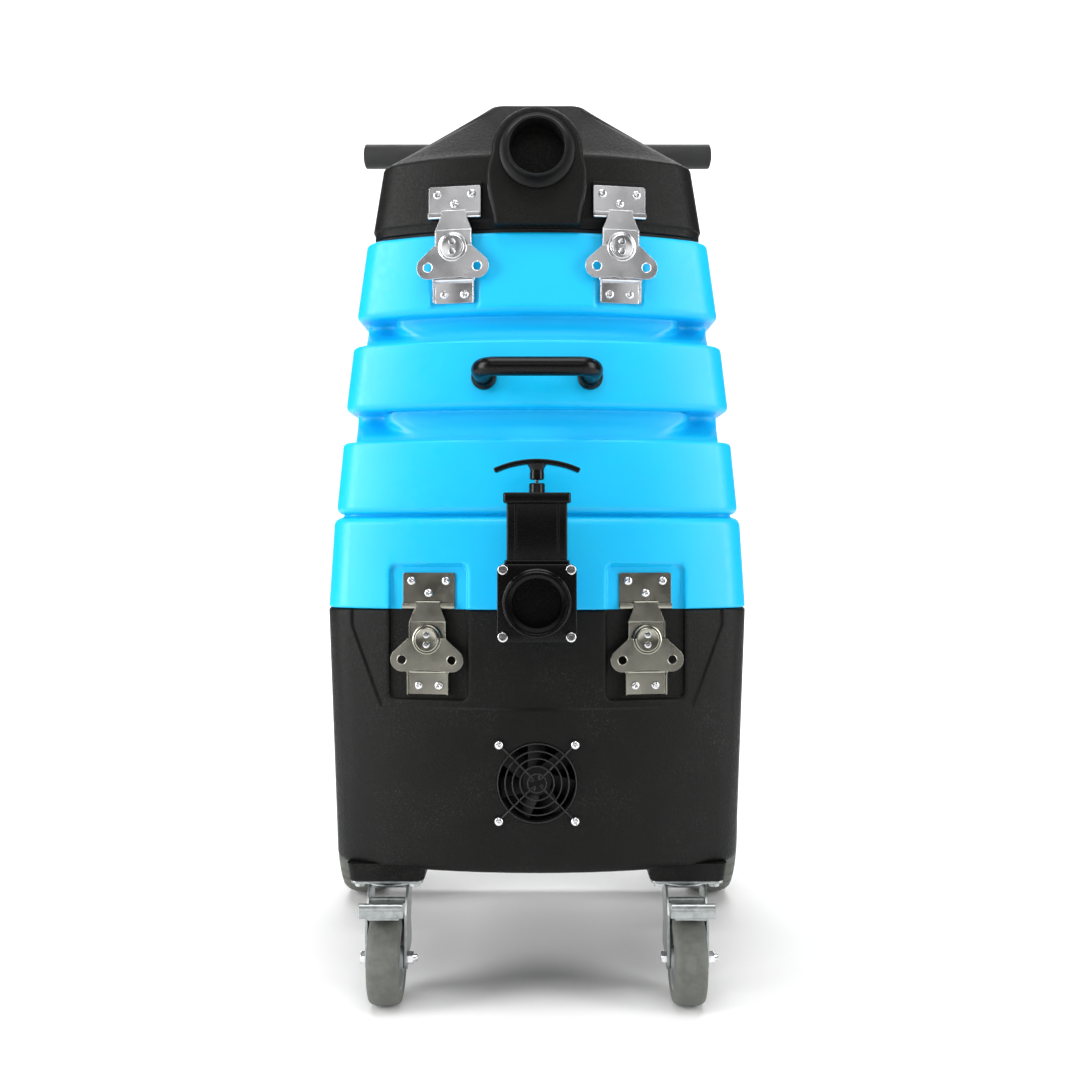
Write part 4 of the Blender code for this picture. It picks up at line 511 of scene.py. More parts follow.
def bend(corner, before, after, radius, steps):
    """Points that round a corner of a path, as an arc that touches both straights."""
    corner, before, after = Vector(corner), Vector(before), Vector(after)
    back = (before - corner).normalized()
    ahead = (after - corner).normalized()
    half = back.angle(ahead) / 2.0
    centre = corner + (back + ahead).normalized() * radius / math.sin(half)
    start = corner + back * radius / math.tan(half) - centre
    end = corner + ahead * radius / math.tan(half) - centre
    sweep = start.angle(end)
    return [centre + (start * math.sin((1.0 - i / steps) * sweep) + end * math.sin(i / steps * sweep))
            / math.sin(sweep) for i in range(steps + 1)]


def tube(shape, path, radii, normal, sides=24):
    """A round tube along a flat path, with a radius at each of its points."""
    path = [Vector(point) for point in path]
    normal = Vector(normal)
    ways = [(b - a).normalized() for a, b in zip(path, path[1:])]
    rings = []
    for i, point in enumerate(path):
        before, after = ways[max(i - 1, 0)], ways[min(i, len(ways) - 1)]
        side = (before + after).normalized().cross(normal).normalized()
        rings.append([point + (side * math.cos(2.0 * math.pi * k / sides)
                               + normal * math.sin(2.0 * math.pi * k / sides)) * radii[i]
                      for k in range(sides)])
    loft(shape, rings)


def ribbon(path, thick):
    """Outline of a sheet bent along a path: its two faces, half the thickness to each side."""
    path = [Vector(point) for point in path]
    ways = [(b - a).normalized() for a, b in zip(path, path[1:])]
    one, other = [], []
    for i, point in enumerate(path):
        before, after = ways[max(i - 1, 0)], ways[min(i, len(ways) - 1)]
        way = (before + after).normalized()
        side = Vector((-way.y, way.x)) * thick / 2.0 / max(way.dot(after), 0.6)
        one.append(tuple(point + side))
        other.append(tuple(point - side))
    return one + other[::-1]


def moved(shape, matrix):
    """Place a bmesh that was drawn in local coordinates."""
    bmesh.ops.transform(shape, matrix=matrix, verts=shape.verts)
    return shape


def gathered(shapes):
    """Several separate solids in one bmesh."""
    whole = bmesh.new()
    for shape in shapes:
        mesh = bpy.data.meshes.new("gathered")
        shape.to_mesh(mesh)
        shape.free()
        whole.from_mesh(mesh)
        bpy.data.meshes.remove(mesh)
    return whole


def piece(name, shape, material, body, stands_for=(), angle=38.0, edge=0.0, segments=2):
    """A visible piece that rides on a body; edge rounds its sharp edges by a bevel."""
    bmesh.ops.recalc_face_normals(shape, faces=shape.faces)
    mesh = bpy.data.meshes.new(name)
    shape.to_mesh(mesh)
    shape.free()
    made = bpy.data.objects.new(name, mesh)
    bpy.context.scene.collection.objects.link(made)
    mesh.materials.append(look(material))
    mesh.shade_smooth()
    if edge:
        soften(made, edge, segments)
    else:
        mesh.set_sharp_from_angle(angle=math.radians(angle))
    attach(made, body)
    if stands_for:
        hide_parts(*stands_for)
    return made


def soften(made, edge, segments=2):
    """Round the sharp edges of a piece or a node."""
    step = made.modifiers.new("edges", 'BEVEL')
    step.width = edge
    step.segments = segments
    step.limit_method = 'ANGLE'
    step.angle_limit = math.radians(32.0)
    step.harden_normals = True


def carved(made, name, shape, operation='DIFFERENCE'):
    """Apply a cut or a join to a piece at once, so that nothing hidden is left behind."""
    bmesh.ops.recalc_face_normals(shape, faces=shape.faces)
    mesh = bpy.data.meshes.new(name)
    shape.to_mesh(mesh)
    shape.free()
    tool = bpy.data.objects.new(name, mesh)
    bpy.context.scene.collection.objects.link(tool)
    step = made.modifiers.new(name, 'BOOLEAN')
    step.operation = operation
    step.solver = 'EXACT'
    step.object = tool
    bpy.context.view_layer.update()
    result = bpy.data.meshes.new_from_object(made.evaluated_get(bpy.context.evaluated_depsgraph_get()))
    made.modifiers.remove(step)
    old = made.data
    made.data = result
    result.name = made.name
    bpy.data.meshes.remove(old)
    bpy.data.objects.remove(tool)
    bpy.data.meshes.remove(mesh)
    result.shade_smooth()
    result.set_sharp_from_angle(angle=math.radians(38.0))


def refinish(node, material, edge=0.0):
    """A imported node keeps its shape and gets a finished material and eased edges."""
    item = NODES[node]
    item.data.materials.clear()
    item.data.materials.append(look(material))
    weld = item.modifiers.new("weld", 'WELD')
    weld.merge_threshold = 0.00001
    if edge:
        soften(item, edge)


# ---------------------------------------------------------------- fasteners

def head_at(place, shape):
    """A fastener drawn on +Z, turned so that its head looks along local -Y of a place."""
    return moved(shape, place @ Matrix.Rotation(math.radians(90.0), 4, 'X'))


def pan_head(place, radius, height, turn=0.0):
    """Domed screw head with a cross recess, seated at a place."""
    shape = bmesh.new()
    spokes = 40
    rows = []
    for r, z in ((1.0, -0.2), (1.0, 0.25), (0.97, 0.48), (0.88, 0.72), (0.76, 0.85), (0.64, 0.92),
                 (0.54, 0.96), (0.44, 0.98), (0.33, 0.99), (0.22, 1.0), (0.10, 1.0)):
        row = []
        for i in range(spokes):
            angle = 2.0 * math.pi * i / spokes
            x, y = r * math.cos(angle), r * math.sin(angle)
            cross = min(abs(x * math.cos(turn) + y * math.sin(turn)),
                        abs(y * math.cos(turn) - x * math.sin(turn)))
            deep = 0.75 * (1.0 - (r / 0.66) ** 2) if cross < 0.13 and r < 0.6 else 0.0
            row.append((x * radius, y * radius, (z - deep) * height))
        rows.append(row)
    loft(shape, rows)
    return head_at(place, shape)


def socket_head(place, radius, height):
    """Cap screw head with a hexagon socket, seated at a place."""
    shape = bmesh.new()
    steps = 48
    hexagon = []
    for i in range(steps):
        angle = 2.0 * math.pi * i / steps
        off = (angle + math.pi / 6.0) % (math.pi / 3.0) - math.pi / 6.0
        reach = 0.48 * radius / math.cos(off)
        hexagon.append((reach * math.cos(angle), reach * math.sin(angle)))
    rings = [level(circle((0.0, 0.0), r * radius, steps), z * height)
             for r, z in ((1.0, -0.1), (1.0, 0.80), (0.97, 0.93), (0.88, 1.0), (0.66, 1.0))]
    rings += [level(hexagon, height), level(hexagon, 0.35 * height)]
    loft(shape, rings)
    return head_at(place, shape)


def hex_head(place, radius, height, crown=0.92):
    """Hexagon bolt head or nut with chamfered corners, seated at a place."""
    shape = bmesh.new()
    steps = 48
    rings = []
    for scale, z, limit in ((1.0, 0.0, 1.0), (1.0, 0.82, 1.0), (1.0, 0.92, 0.95), (1.0, 1.0, 0.88)):
        row = []
        for i in range(steps):
            angle = 2.0 * math.pi * i / steps
            off = (angle + math.pi / 6.0) % (math.pi / 3.0) - math.pi / 6.0
            reach = min(crown * 0.94 / math.cos(off), limit) * radius * scale
            row.append((reach * math.cos(angle), reach * math.sin(angle), z * height))
        rings.append(row)
    loft(shape, rings)
    return head_at(place, shape)


def facing(x, y, z, turn_z=0.0):
    """A place whose local -Y looks forwards, turned about Z."""
    return Matrix.Translation((x, y, z)) @ Matrix.Rotation(turn_z, 4, 'Z')


# ---------------------------------------------------------------- casing surfaces

def bow_radius(half):
    """Radius of the bowed front of a casing."""
    return (half * half + BOW * BOW) / (2.0 * BOW)


def bow_drop(x, half):
    """How far the bowed front lies behind its middle, at x."""
    radius = bow_radius(half)
    return radius - math.sqrt(radius * radius - x * x)


def front_arcs(half, front, inset):
    """Radii and centres of the two arcs of a casing's front: the bow and its corner."""
    radius = bow_radius(half) - inset
    corner = max(FRONT_CORNER - inset, 4.0 * MM)
    side = half - inset - corner
    middle = front + inset + radius
    corner_y = middle - math.sqrt((radius - corner) ** 2 - side ** 2)
    return radius, middle, corner, side, corner_y


def front_surface(x, arcs):
    """Y of a casing's front at x."""
    radius, middle, corner, side, corner_y = arcs
    angle = math.atan2(corner_y - middle, side)
    if abs(x) <= radius * math.cos(angle):
        return middle - math.sqrt(radius * radius - x * x)
    return corner_y - math.sqrt(max(corner * corner - (abs(x) - side) ** 2, 0.0))


def smooth(value, low, high):
    """0 below low, 1 above high, and an S between them."""
    t = min(max((value - low) / (high - low), 0.0), 1.0)
    return t * t * (3.0 - 2.0 * t)


def steps_between(low, high, count):
    """Evenly spaced points from low, leaving high out."""
    return [low + (high - low) * i / count for i in range(count)]


def step_edge(z):
    """Half width of the stepped field round the lower latches."""
    t = min(max((z - STEP_Z[0]) / (STEP_Z[1] - STEP_Z[0]), 0.0), 1.0)
    return STEP_HALF[0] + (STEP_HALF[1] - STEP_HALF[0]) * t


# Columns per stretch of the front: plain, pocket's inner wall, pocket, outer wall, field, its edge, corner
COLUMNS = (26, 24, 22, 22, 5, 14, 6)
CORNER_COLUMNS = 8
REAR_COLUMNS = 5
PLAIN_COLUMNS = sum(COLUMNS)


def featured_columns(z, end):
    """Column positions on the right half of a front that has pockets, from 0 up to end."""
    edge = min(step_edge(z), end - 6.0 * MM)
    outer = min(0.1623, edge - 0.0145)
    stops = (0.0, 0.0757 - 0.009, 0.0757 + 0.009, outer - 0.009, outer + 0.009, edge - 0.0045,
             edge + 0.0045, end)
    half = []
    for low, high, count in zip(stops, stops[1:], COLUMNS):
        half += steps_between(low, high, count)
    return half + [end]


def plain_columns(z, end):
    """Evenly spaced columns, as many as a featured front has."""
    return steps_between(0.0, end, PLAIN_COLUMNS) + [end]


def casing_ring(half, front, z, inset=0.0, relief=None, columns=plain_columns, rear=REAR_Y):
    """One level of a casing: bowed front with its relief, corners, sides and back."""
    arcs = front_arcs(half, front, inset)
    corner, side, corner_y = arcs[2], arcs[3], arcs[4]
    last_turn = -28.0
    end = side + corner * math.cos(math.radians(last_turn))
    xs = columns(z, end)
    points = []
    for x in [-x for x in xs[:0:-1]] + xs:
        y = front_surface(x, arcs)
        if relief:
            y = relief(x, y, z)
        points.append((x, y))
    rear_corner = max(REAR_CORNER - inset, 3.0 * MM)
    back_x, back_y = half - inset - rear_corner, rear - inset - rear_corner
    points += arc((side, corner_y), corner, last_turn, 0.0, CORNER_COLUMNS)[1:]
    points += arc((back_x, back_y), rear_corner, 0.0, 90.0, REAR_COLUMNS)
    points += arc((-back_x, back_y), rear_corner, 90.0, 180.0, REAR_COLUMNS)
    points += arc((-side, corner_y), corner, 180.0, 180.0 - last_turn, CORNER_COLUMNS)[:-1]
    return level(points, z)


def latch_place(side, latch, seat_y):
    """Matrix from a latch's local space, where -Y points off its seat."""
    x, z, angle = latch
    return Matrix.Translation((side * x, seat_y, z)) @ Matrix.Rotation(side * angle, 4, 'Z')


def base_half(z):
    """Half width of the base housing at a height."""
    return 0.2265 + 0.0107 * (z - BASE_BOTTOM) / (BASE_TOP - BASE_BOTTOM)


def lower_seat_y():
    """Depth of the lower latches' seats, at the middle of a pocket."""
    x, _, angle = LOWER_LATCH
    inner_y = FRONT_Y + bow_drop(x + POCKET_X[0], base_half(STEP_Z[0])) + STEP_DEPTH + POCKET_DEPTH
    return inner_y - POCKET_X[0] * math.tan(angle)


LOWER_SEAT_Y = lower_seat_y()


def pocket_relief(x, y, z):
    """Latch pocket: a flat floor behind a wall with rounded corners."""
    centre, _, angle = LOWER_LATCH
    across = (abs(x) - centre) / math.cos(angle)
    if not POCKET_X[0] - 0.01 < across < POCKET_X[1] + 0.01:
        return y
    mid_x, half_x = sum(POCKET_X) / 2.0, (POCKET_X[1] - POCKET_X[0]) / 2.0
    mid_z, half_z = sum(POCKET_Z) / 2.0, (POCKET_Z[1] - POCKET_Z[0]) / 2.0
    dx = abs(across - mid_x) - half_x + POCKET_CORNER
    dz = abs(z - mid_z) - half_z + POCKET_CORNER
    apart = math.hypot(max(dx, 0.0), max(dz, 0.0)) + min(max(dx, dz), 0.0) - POCKET_CORNER
    floor = LOWER_SEAT_Y + (abs(x) - centre) * math.tan(angle)
    inside = 1.0 - smooth(apart, -1.3 * MM, 1.3 * MM)
    # The lip round the pocket rolls in softly before the wall drops
    rolled = (1.0 - smooth(apart, -1.0 * MM, 5.0 * MM)) * 0.7 * MM
    return y + max(floor - y, 0.0) * inside + rolled * (1.0 - inside)


def base_relief(x, y, z):
    """Stepped field and latch pockets of the base's front."""
    field = 1.0 - smooth(abs(x) - step_edge(z), -1.8 * MM, 1.8 * MM)
    field *= smooth(z, STEP_Z[0] - 1.6 * MM, STEP_Z[0] + 1.6 * MM)
    return pocket_relief(x, y + STEP_DEPTH * field, z)


def seat_relief(x, y, z):
    """Flat seats on the top rib for the upper latches' mounts."""
    centre, latch_z, angle = UPPER_LATCH
    across = (abs(x) - centre) / math.cos(angle)
    floor = UPPER_SEAT_Y + (abs(x) - centre) * math.tan(angle)
    inside = 1.0 - smooth(abs(across), 25.0 * MM, 28.0 * MM)
    inside *= smooth(z, latch_z - 67.0 * MM, latch_z - 63.0 * MM)
    inside *= 1.0 - smooth(z, latch_z - 27.0 * MM, latch_z - 24.0 * MM)
    return y + max(floor - y, 0.0) * inside


def tank_relief(x, y, z):
    """Pockets below, latch seats above."""
    if z < 0.6:
        return pocket_relief(x, y, z)
    return seat_relief(x, y, z)


def eased(z, inset, radius, up, steps=5):
    """Levels and insets of a rounded edge, bottom edge first unless up."""
    turns = [math.pi / 2.0 * i / steps for i in range(steps + 1)]
    stations = [(radius * (1.0 - math.sin(t)), inset + radius * (1.0 - math.cos(t))) for t in turns]
    if up:
        return [(z - drop, draw) for drop, draw in stations]
    return [(z + drop, draw) for drop, draw in stations[::-1]]


def heights(low, high, gap):
    """Levels between two heights, ends left out."""
    count = max(int(round((high - low) / gap)), 1)
    return [low + (high - low) * i / count for i in range(1, count)]


def lean(z):
    """Front of the tank at a height."""
    return FRONT_Y + LEAN * max(z - TANK_BOTTOM, 0.0)


# ---------------------------------------------------------------- base

def behind(inset):
    """The base's relief, followed at a distance by its inner face."""
    return lambda x, y, z: base_relief(x, y - inset, z) + inset


def base_skin():
    """The housing as one closed skin: outside, rim and inside."""
    edge = 10.0 * MM
    stations = eased(BASE_BOTTOM, 0.0, edge, up=False, steps=6)
    stations += [(z, 0.0) for z in heights(BASE_BOTTOM + edge, 0.322, 12.0 * MM)]
    stations += [(z, 0.0) for z in heights(0.322, 0.358, 0.9 * MM)]
    stations += [(z, 0.0) for z in heights(0.357, BASE_TOP - 3.0 * MM, 3.0 * MM)]
    stations += eased(BASE_TOP, 0.0, 3.0 * MM, up=True, steps=4)
    rings = [casing_ring(base_half(z), FRONT_Y, z, inset, base_relief, featured_columns)
             for z, inset in stations]
    inner = [(BASE_TOP, 0.016), (BASE_TOP - 6.0 * MM, 0.016), (BASE_TOP - 12.0 * MM, 0.007),
             (BASE_BOTTOM + 18.0 * MM, 0.007), (BASE_BOTTOM + 7.0 * MM, 0.016)]
    rings += [casing_ring(base_half(z), FRONT_Y, z, inset, behind(inset), featured_columns) for z,
              inset in inner]
    shape = bmesh.new()
    loft(shape, rings)
    return shape


def castor_boss(side):
    """Tapered block under the housing, with the plate's outline."""
    box_low, box_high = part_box("castor_plate_" + ("left" if side < 0 else "right"))
    shape = bmesh.new()
    rings = []
    for z, grow in ((box_high.z + 0.2 * MM, 0.5 * MM), (box_high.z + 1.5 * MM, 1.6 * MM),
                    (BASE_BOTTOM + 4.0 * MM, 4.0 * MM)):
        rings.append(level(rounded((box_low.x - grow, box_low.y - grow),
                                   (box_high.x + grow, box_high.y + grow), 8.0 * MM), z))
    loft(shape, rings)
    return shape


def axle_boss(side):
    """Block under the housing that holds the rear axle."""
    shape = bmesh.new()
    ends = sorted((side * 0.150, side * 0.190))
    outline = (arc((WHEEL_Y, WHEEL_RADIUS), 0.020, 180.0, 360.0, 20)
               + [(WHEEL_Y + 0.032, BASE_BOTTOM + 4.0 * MM), (WHEEL_Y - 0.032, BASE_BOTTOM + 4.0 * MM)])
    slab(shape, outline, 'X', ends[0], ends[1], 1.5 * MM)
    return shape


def well_liner(side):
    """Arched inner wall of a wheel well."""
    shape = bmesh.new()
    radius, wall = 0.140, 3.0 * MM
    inner, outer = side * 0.2045, side * 0.2262
    outline = (arc((WHEEL_Y, WHEEL_RADIUS), radius + wall, 168.0, 66.0, 36)
               + arc((WHEEL_Y, WHEEL_RADIUS), radius + 0.2 * MM, 66.0, 168.0, 36))
    prism(shape, outline, 'X', min(inner, outer), max(inner, outer))
    back = bmesh.new()
    face = (arc((WHEEL_Y, WHEEL_RADIUS), radius + wall, 168.0, 66.0, 36)
            + [(REAR_Y - 2.0 * MM, BASE_BOTTOM + 2.0 * MM), (WHEEL_Y - radius, BASE_BOTTOM + 2.0 * MM)])
    slab(back, face, 'X', min(inner, inner - side * wall), max(inner, inner - side * wall), 0.8 * MM)
    return gathered([shape, back])


class CLEANER_OT_base(bpy.types.Operator):
    """Make the black base housing with its stepped field, pockets, wells and bosses"""
    bl_idname = "cleaner.base"
    bl_label = "Base housing"

    def execute(self, context):
        """Build the housing and what is moulded under it."""
        material = "black_rotomoulded_polyethylene"
        shell = piece("base_moulding", base_skin(), material, "base", ("base_housing",))
        openings = []
        for side in (-1, 1):
            ends = sorted((side * 0.205, side * 0.300))
            well = bmesh.new()
            spun(well, 'X', (WHEEL_Y, WHEEL_RADIUS), [(0.140, ends[0]), (0.140, ends[1])], 96)
            openings.append(well)
        fan = bmesh.new()
        spun(fan, 'Y', (0.0, FAN_Z), [(0.0445, FRONT_Y - 0.01), (0.0445, FRONT_Y + 0.02)], 72)
        openings.append(fan)
        notch = bmesh.new()
        prism(notch, rounded((-0.0365, 0.4135), (0.0365, 0.460), 2.0 * MM), 'Y', FRONT_Y - 0.02, -0.186)
        openings.append(notch)
        window = bmesh.new()
        prism(window, rounded((-0.077, 0.328), (0.077, 0.377), 3.0 * MM), 'Y', REAR_Y - 0.012, REAR_Y + 0.005)
        openings.append(window)
        carved(shell, "base_openings", gathered(openings))
        for side, word in SIDES:
            piece("base_castor_boss_" + word, castor_boss(side), material, "base")
            piece("base_axle_boss_" + word, axle_boss(side), material, "base")
            piece("base_well_liner_" + word, well_liner(side), material, "base")
        return {'FINISHED'}


# ---------------------------------------------------------------- tank

def groove_path(half, front, inset, count):
    """Right half of a groove's outline: a bowed wall, a rounded corner post and a deep recess."""
    side = half - 0.010 - inset
    wall = side - 0.040
    y = front + 0.020 + inset
    radius = bow_radius(half)
    knots = [Vector((x, y + radius - math.sqrt(radius * radius - x * x)))
             for x in steps_between(0.0, wall - 0.012, 14)]
    post = y + radius - math.sqrt(radius * radius - (wall - 0.006) ** 2)
    knots += [Vector((x, post + back)) for x, back in (
        (wall - 0.009, -0.0004), (wall - 0.005, 0.0012), (wall - 0.001, 0.0052), (wall + 0.001, 0.012),
        (wall + 0.003, 0.028), (wall + 0.007, 0.034), (wall + 0.013, 0.0365), (side - 0.016, 0.038),
        (side - 0.008, 0.041), (side - 0.002, 0.047), (side, 0.056), (side, 0.066))]
    lengths = [0.0]
    for a, b in zip(knots, knots[1:]):
        lengths.append(lengths[-1] + (b - a).length)
    # Half of the points go to the corner, which has the tight curves
    bend_start = lengths[13] / lengths[-1]
    shares = [bend_start * i / (count // 2) for i in range(count // 2)]
    rest = count - count // 2 - 1
    shares += [bend_start + (1.0 - bend_start) * i / rest for i in range(rest + 1)]
    points = []
    for share in shares:
        goal = share * lengths[-1]
        k = max(i for i in range(len(lengths) - 1) if lengths[i] <= goal + 1e-9)
        t = (goal - lengths[k]) / (lengths[k + 1] - lengths[k])
        points.append(knots[k].lerp(knots[k + 1], min(t, 1.0)))
    for _ in range(3):
        inner = [(a + b * 2.0 + c) / 4.0 for a, b, c in zip(points, points[1:], points[2:])]
        points = [points[0]] + inner + [points[-1]]
    return points


def groove_ring(half, front, z, inset=0.0):
    """One level of the tank between two ribs, with as many points as a casing ring."""
    right = groove_path(half, front, inset, PLAIN_COLUMNS + 1 + CORNER_COLUMNS)
    rear_corner = max(REAR_CORNER - inset, 3.0 * MM)
    back_x, back_y = half - 0.010 - inset - rear_corner, REAR_Y - 0.010 - inset - rear_corner
    left = [(-p.x, p.y) for p in right[::-1]]
    front_left, corner_left = left[CORNER_COLUMNS:-1], left[:CORNER_COLUMNS]
    points = front_left + [tuple(p) for p in right]
    points += arc((back_x, back_y), rear_corner, 0.0, 90.0, REAR_COLUMNS)
    points += arc((-back_x, back_y), rear_corner, 90.0, 180.0, REAR_COLUMNS)
    return level(points + corner_left, z)


def mixed(one, other, share, z):
    """A ring between two others, at a height."""
    return [(a[0] + (b[0] - a[0]) * share, a[1] + (b[1] - a[1]) * share, z) for a, b in zip(one, other)]


def rib_ring(rib, z, inset, with_relief=True):
    """One level of a rib."""
    half = rib[2] + (rib[3] - rib[2]) * (z - rib[0]) / (rib[1] - rib[0])
    relief = tank_relief if with_relief else None
    columns = featured_columns if rib is RIBS[0] or rib is RIBS[3] else plain_columns
    return casing_ring(half, lean(z), z, inset, relief, columns)


def rib_rings(rib, low_edge, high_edge):
    """All levels of a rib, with its two rounded edges."""
    fine = 2.2 * MM if rib is RIBS[0] or rib is RIBS[3] else 10.0 * MM
    stations = eased(rib[0], 0.0, low_edge, up=False)
    stations += [(z, 0.0) for z in heights(rib[0] + low_edge, rib[1] - high_edge, fine)]
    stations += eased(rib[1], 0.0, high_edge, up=True)
    return [rib_ring(rib, z, inset) for z, inset in stations]


def groove_rings(lower, upper, low_edge, high_edge):
    """Ledge, wall and ceiling of a groove: shallow at its foot, hollowed behind the corners higher up."""
    ledge = rib_ring(lower, lower[1], high_edge)
    ceiling = rib_ring(upper, upper[0], low_edge)
    walls = []
    for i in range(11):
        t = i / 10.0
        z = lower[1] + 1.5 * MM + (upper[0] - lower[1] - 4.5 * MM) * t
        half = lower[3] + (upper[2] - lower[3]) * t
        plain = casing_ring(half, lean(z), z, 14.0 * MM)
        walls.append(mixed(plain, groove_ring(half, lean(z), z), smooth(t, 0.0, 0.9), z))
    rings = [mixed(ledge, walls[0], share, lower[1] + rise * MM) for share,
             rise in ((0.55, -0.1), (0.90, 0.2))]
    rings += walls
    rings += [mixed(ceiling, walls[-1], share, upper[0] - drop * MM)
              for share, drop in ((0.97, 1.4), (0.88, 0.3), (0.72, -0.2), (0.42, -0.3))]
    return rings


def tank_skin():
    """The moulded tank as one closed skin."""
    under, over = 9.0 * MM, 4.5 * MM
    notch = (RIBS[0][1] + RIBS[1][0]) / 2.0
    rings = rib_rings(RIBS[0], 2.5 * MM, 9.0 * MM)
    rings.append(casing_ring(RIBS[0][3], lean(notch), notch, 10.2 * MM))
    rings += rib_rings(RIBS[1], 9.0 * MM, over)
    rings += groove_rings(RIBS[1], RIBS[2], under, over)
    rings += rib_rings(RIBS[2], under, over)
    rings += groove_rings(RIBS[2], RIBS[3], under, over)
    rings += rib_rings(RIBS[3], under, 4.0 * MM)
    top, wall = RIBS[3], 6.5 * MM
    rings += [rib_ring(top, TANK_TOP, 0.016, False), rib_ring(top, TANK_TOP - 0.006, 0.016, False),
              rib_ring(top, TANK_TOP - 0.014, wall, False), rib_ring(top, top[0] + wall, wall, False)]
    for lower, upper in ((RIBS[2], RIBS[3]), (RIBS[1], RIBS[2])):
        half = (lower[3] + upper[2]) / 2.0
        front = lean((lower[1] + upper[0]) / 2.0)
        rings += [groove_ring(half, front, upper[0] + wall, wall),
                  groove_ring(half, front, lower[1] - wall, wall),
                  rib_ring(lower, lower[1] - wall, wall, False), rib_ring(lower, lower[0] + wall, wall,
                                                                          False)]
    lowest = RIBS[0]
    rings += [rib_ring(lowest, lowest[1] - 0.012, 0.017, False),
              rib_ring(lowest, TANK_BOTTOM + 0.060, 0.019, False),
              rib_ring(lowest, TANK_BOTTOM + 0.008, 0.019, False)]
    shape = bmesh.new()
    loft(shape, rings)
    return shape


class CLEANER_OT_tank(bpy.types.Operator):
    """Make the ribbed cyan tank with its sump and inner wall"""
    bl_idname = "cleaner.tank"
    bl_label = "Recovery tank"

    def execute(self, context):
        """Build the tank and what is moulded on it."""
        material = "cyan_rotomoulded_polyethylene"
        piece("tank_moulding", tank_skin(), material, "tank", ("tank_shell",), angle=50.0)
        sump = bmesh.new()
        slab(sump, rounded((-0.0355, 0.4145), (0.0355, 0.486), 3.0 * MM), 'Y', -0.2850, -0.190, 2.0 * MM)
        piece("tank_sump", sump, material, "tank")
        wall = bmesh.new()
        outline = []
        for rib in RIBS:
            high = min(rib[1], 0.840)
            outline += [(rib[2] - 0.0065, rib[0] + 4.0 * MM), (rib[3] - 0.0065, high - 4.0 * MM)]
            if rib in (RIBS[1], RIBS[2]):
                outline += [(rib[3] - 0.016, high - 2.0 * MM), (rib[3] - 0.016, high + 26.0 * MM)]
        outline += [(-x, z) for x, z in outline[::-1]]
        slab(wall, outline, 'Y', 0.100, 0.103, 0.8 * MM)
        piece("tank_inner_wall", wall, material, "tank")
        return {'FINISHED'}


# ---------------------------------------------------------------- lid

LID_COLUMNS = 34


def lid_columns(z, end):
    """Columns of the lid's front."""
    return steps_between(0.0, end, LID_COLUMNS) + [end]


def lid_ring(half, front, z, inset, dome=0.0):
    """One level of the lid, with its shoulder rising to the middle by dome."""
    points = casing_ring(half, front, z, inset, None, lid_columns)
    return [(x, y, z + dome * (1.0 - (x / half) ** 2)) for x, y, z in points]


def roof_ring(z, inset):
    """One level of the lid's flat top, with as many points as its other rings."""
    half = LID_ROOF_HALF - inset
    front, rear, corner = LID_ROOF_FRONT + inset, LID_ROOF_REAR - inset, 0.016
    left, right = -half + corner, half - corner
    points = [(left + (right - left) * i / (2 * LID_COLUMNS), front) for i in range(2 * LID_COLUMNS + 1)]
    points += arc((right, front + corner), corner, 270.0, 360.0, CORNER_COLUMNS)[1:]
    points += arc((right, rear - corner), corner, 0.0, 90.0, REAR_COLUMNS)
    points += arc((left, rear - corner), corner, 90.0, 180.0, REAR_COLUMNS)
    points += arc((left, front + corner), corner, 180.0, 270.0, CORNER_COLUMNS)[:-1]
    return level(points, z)


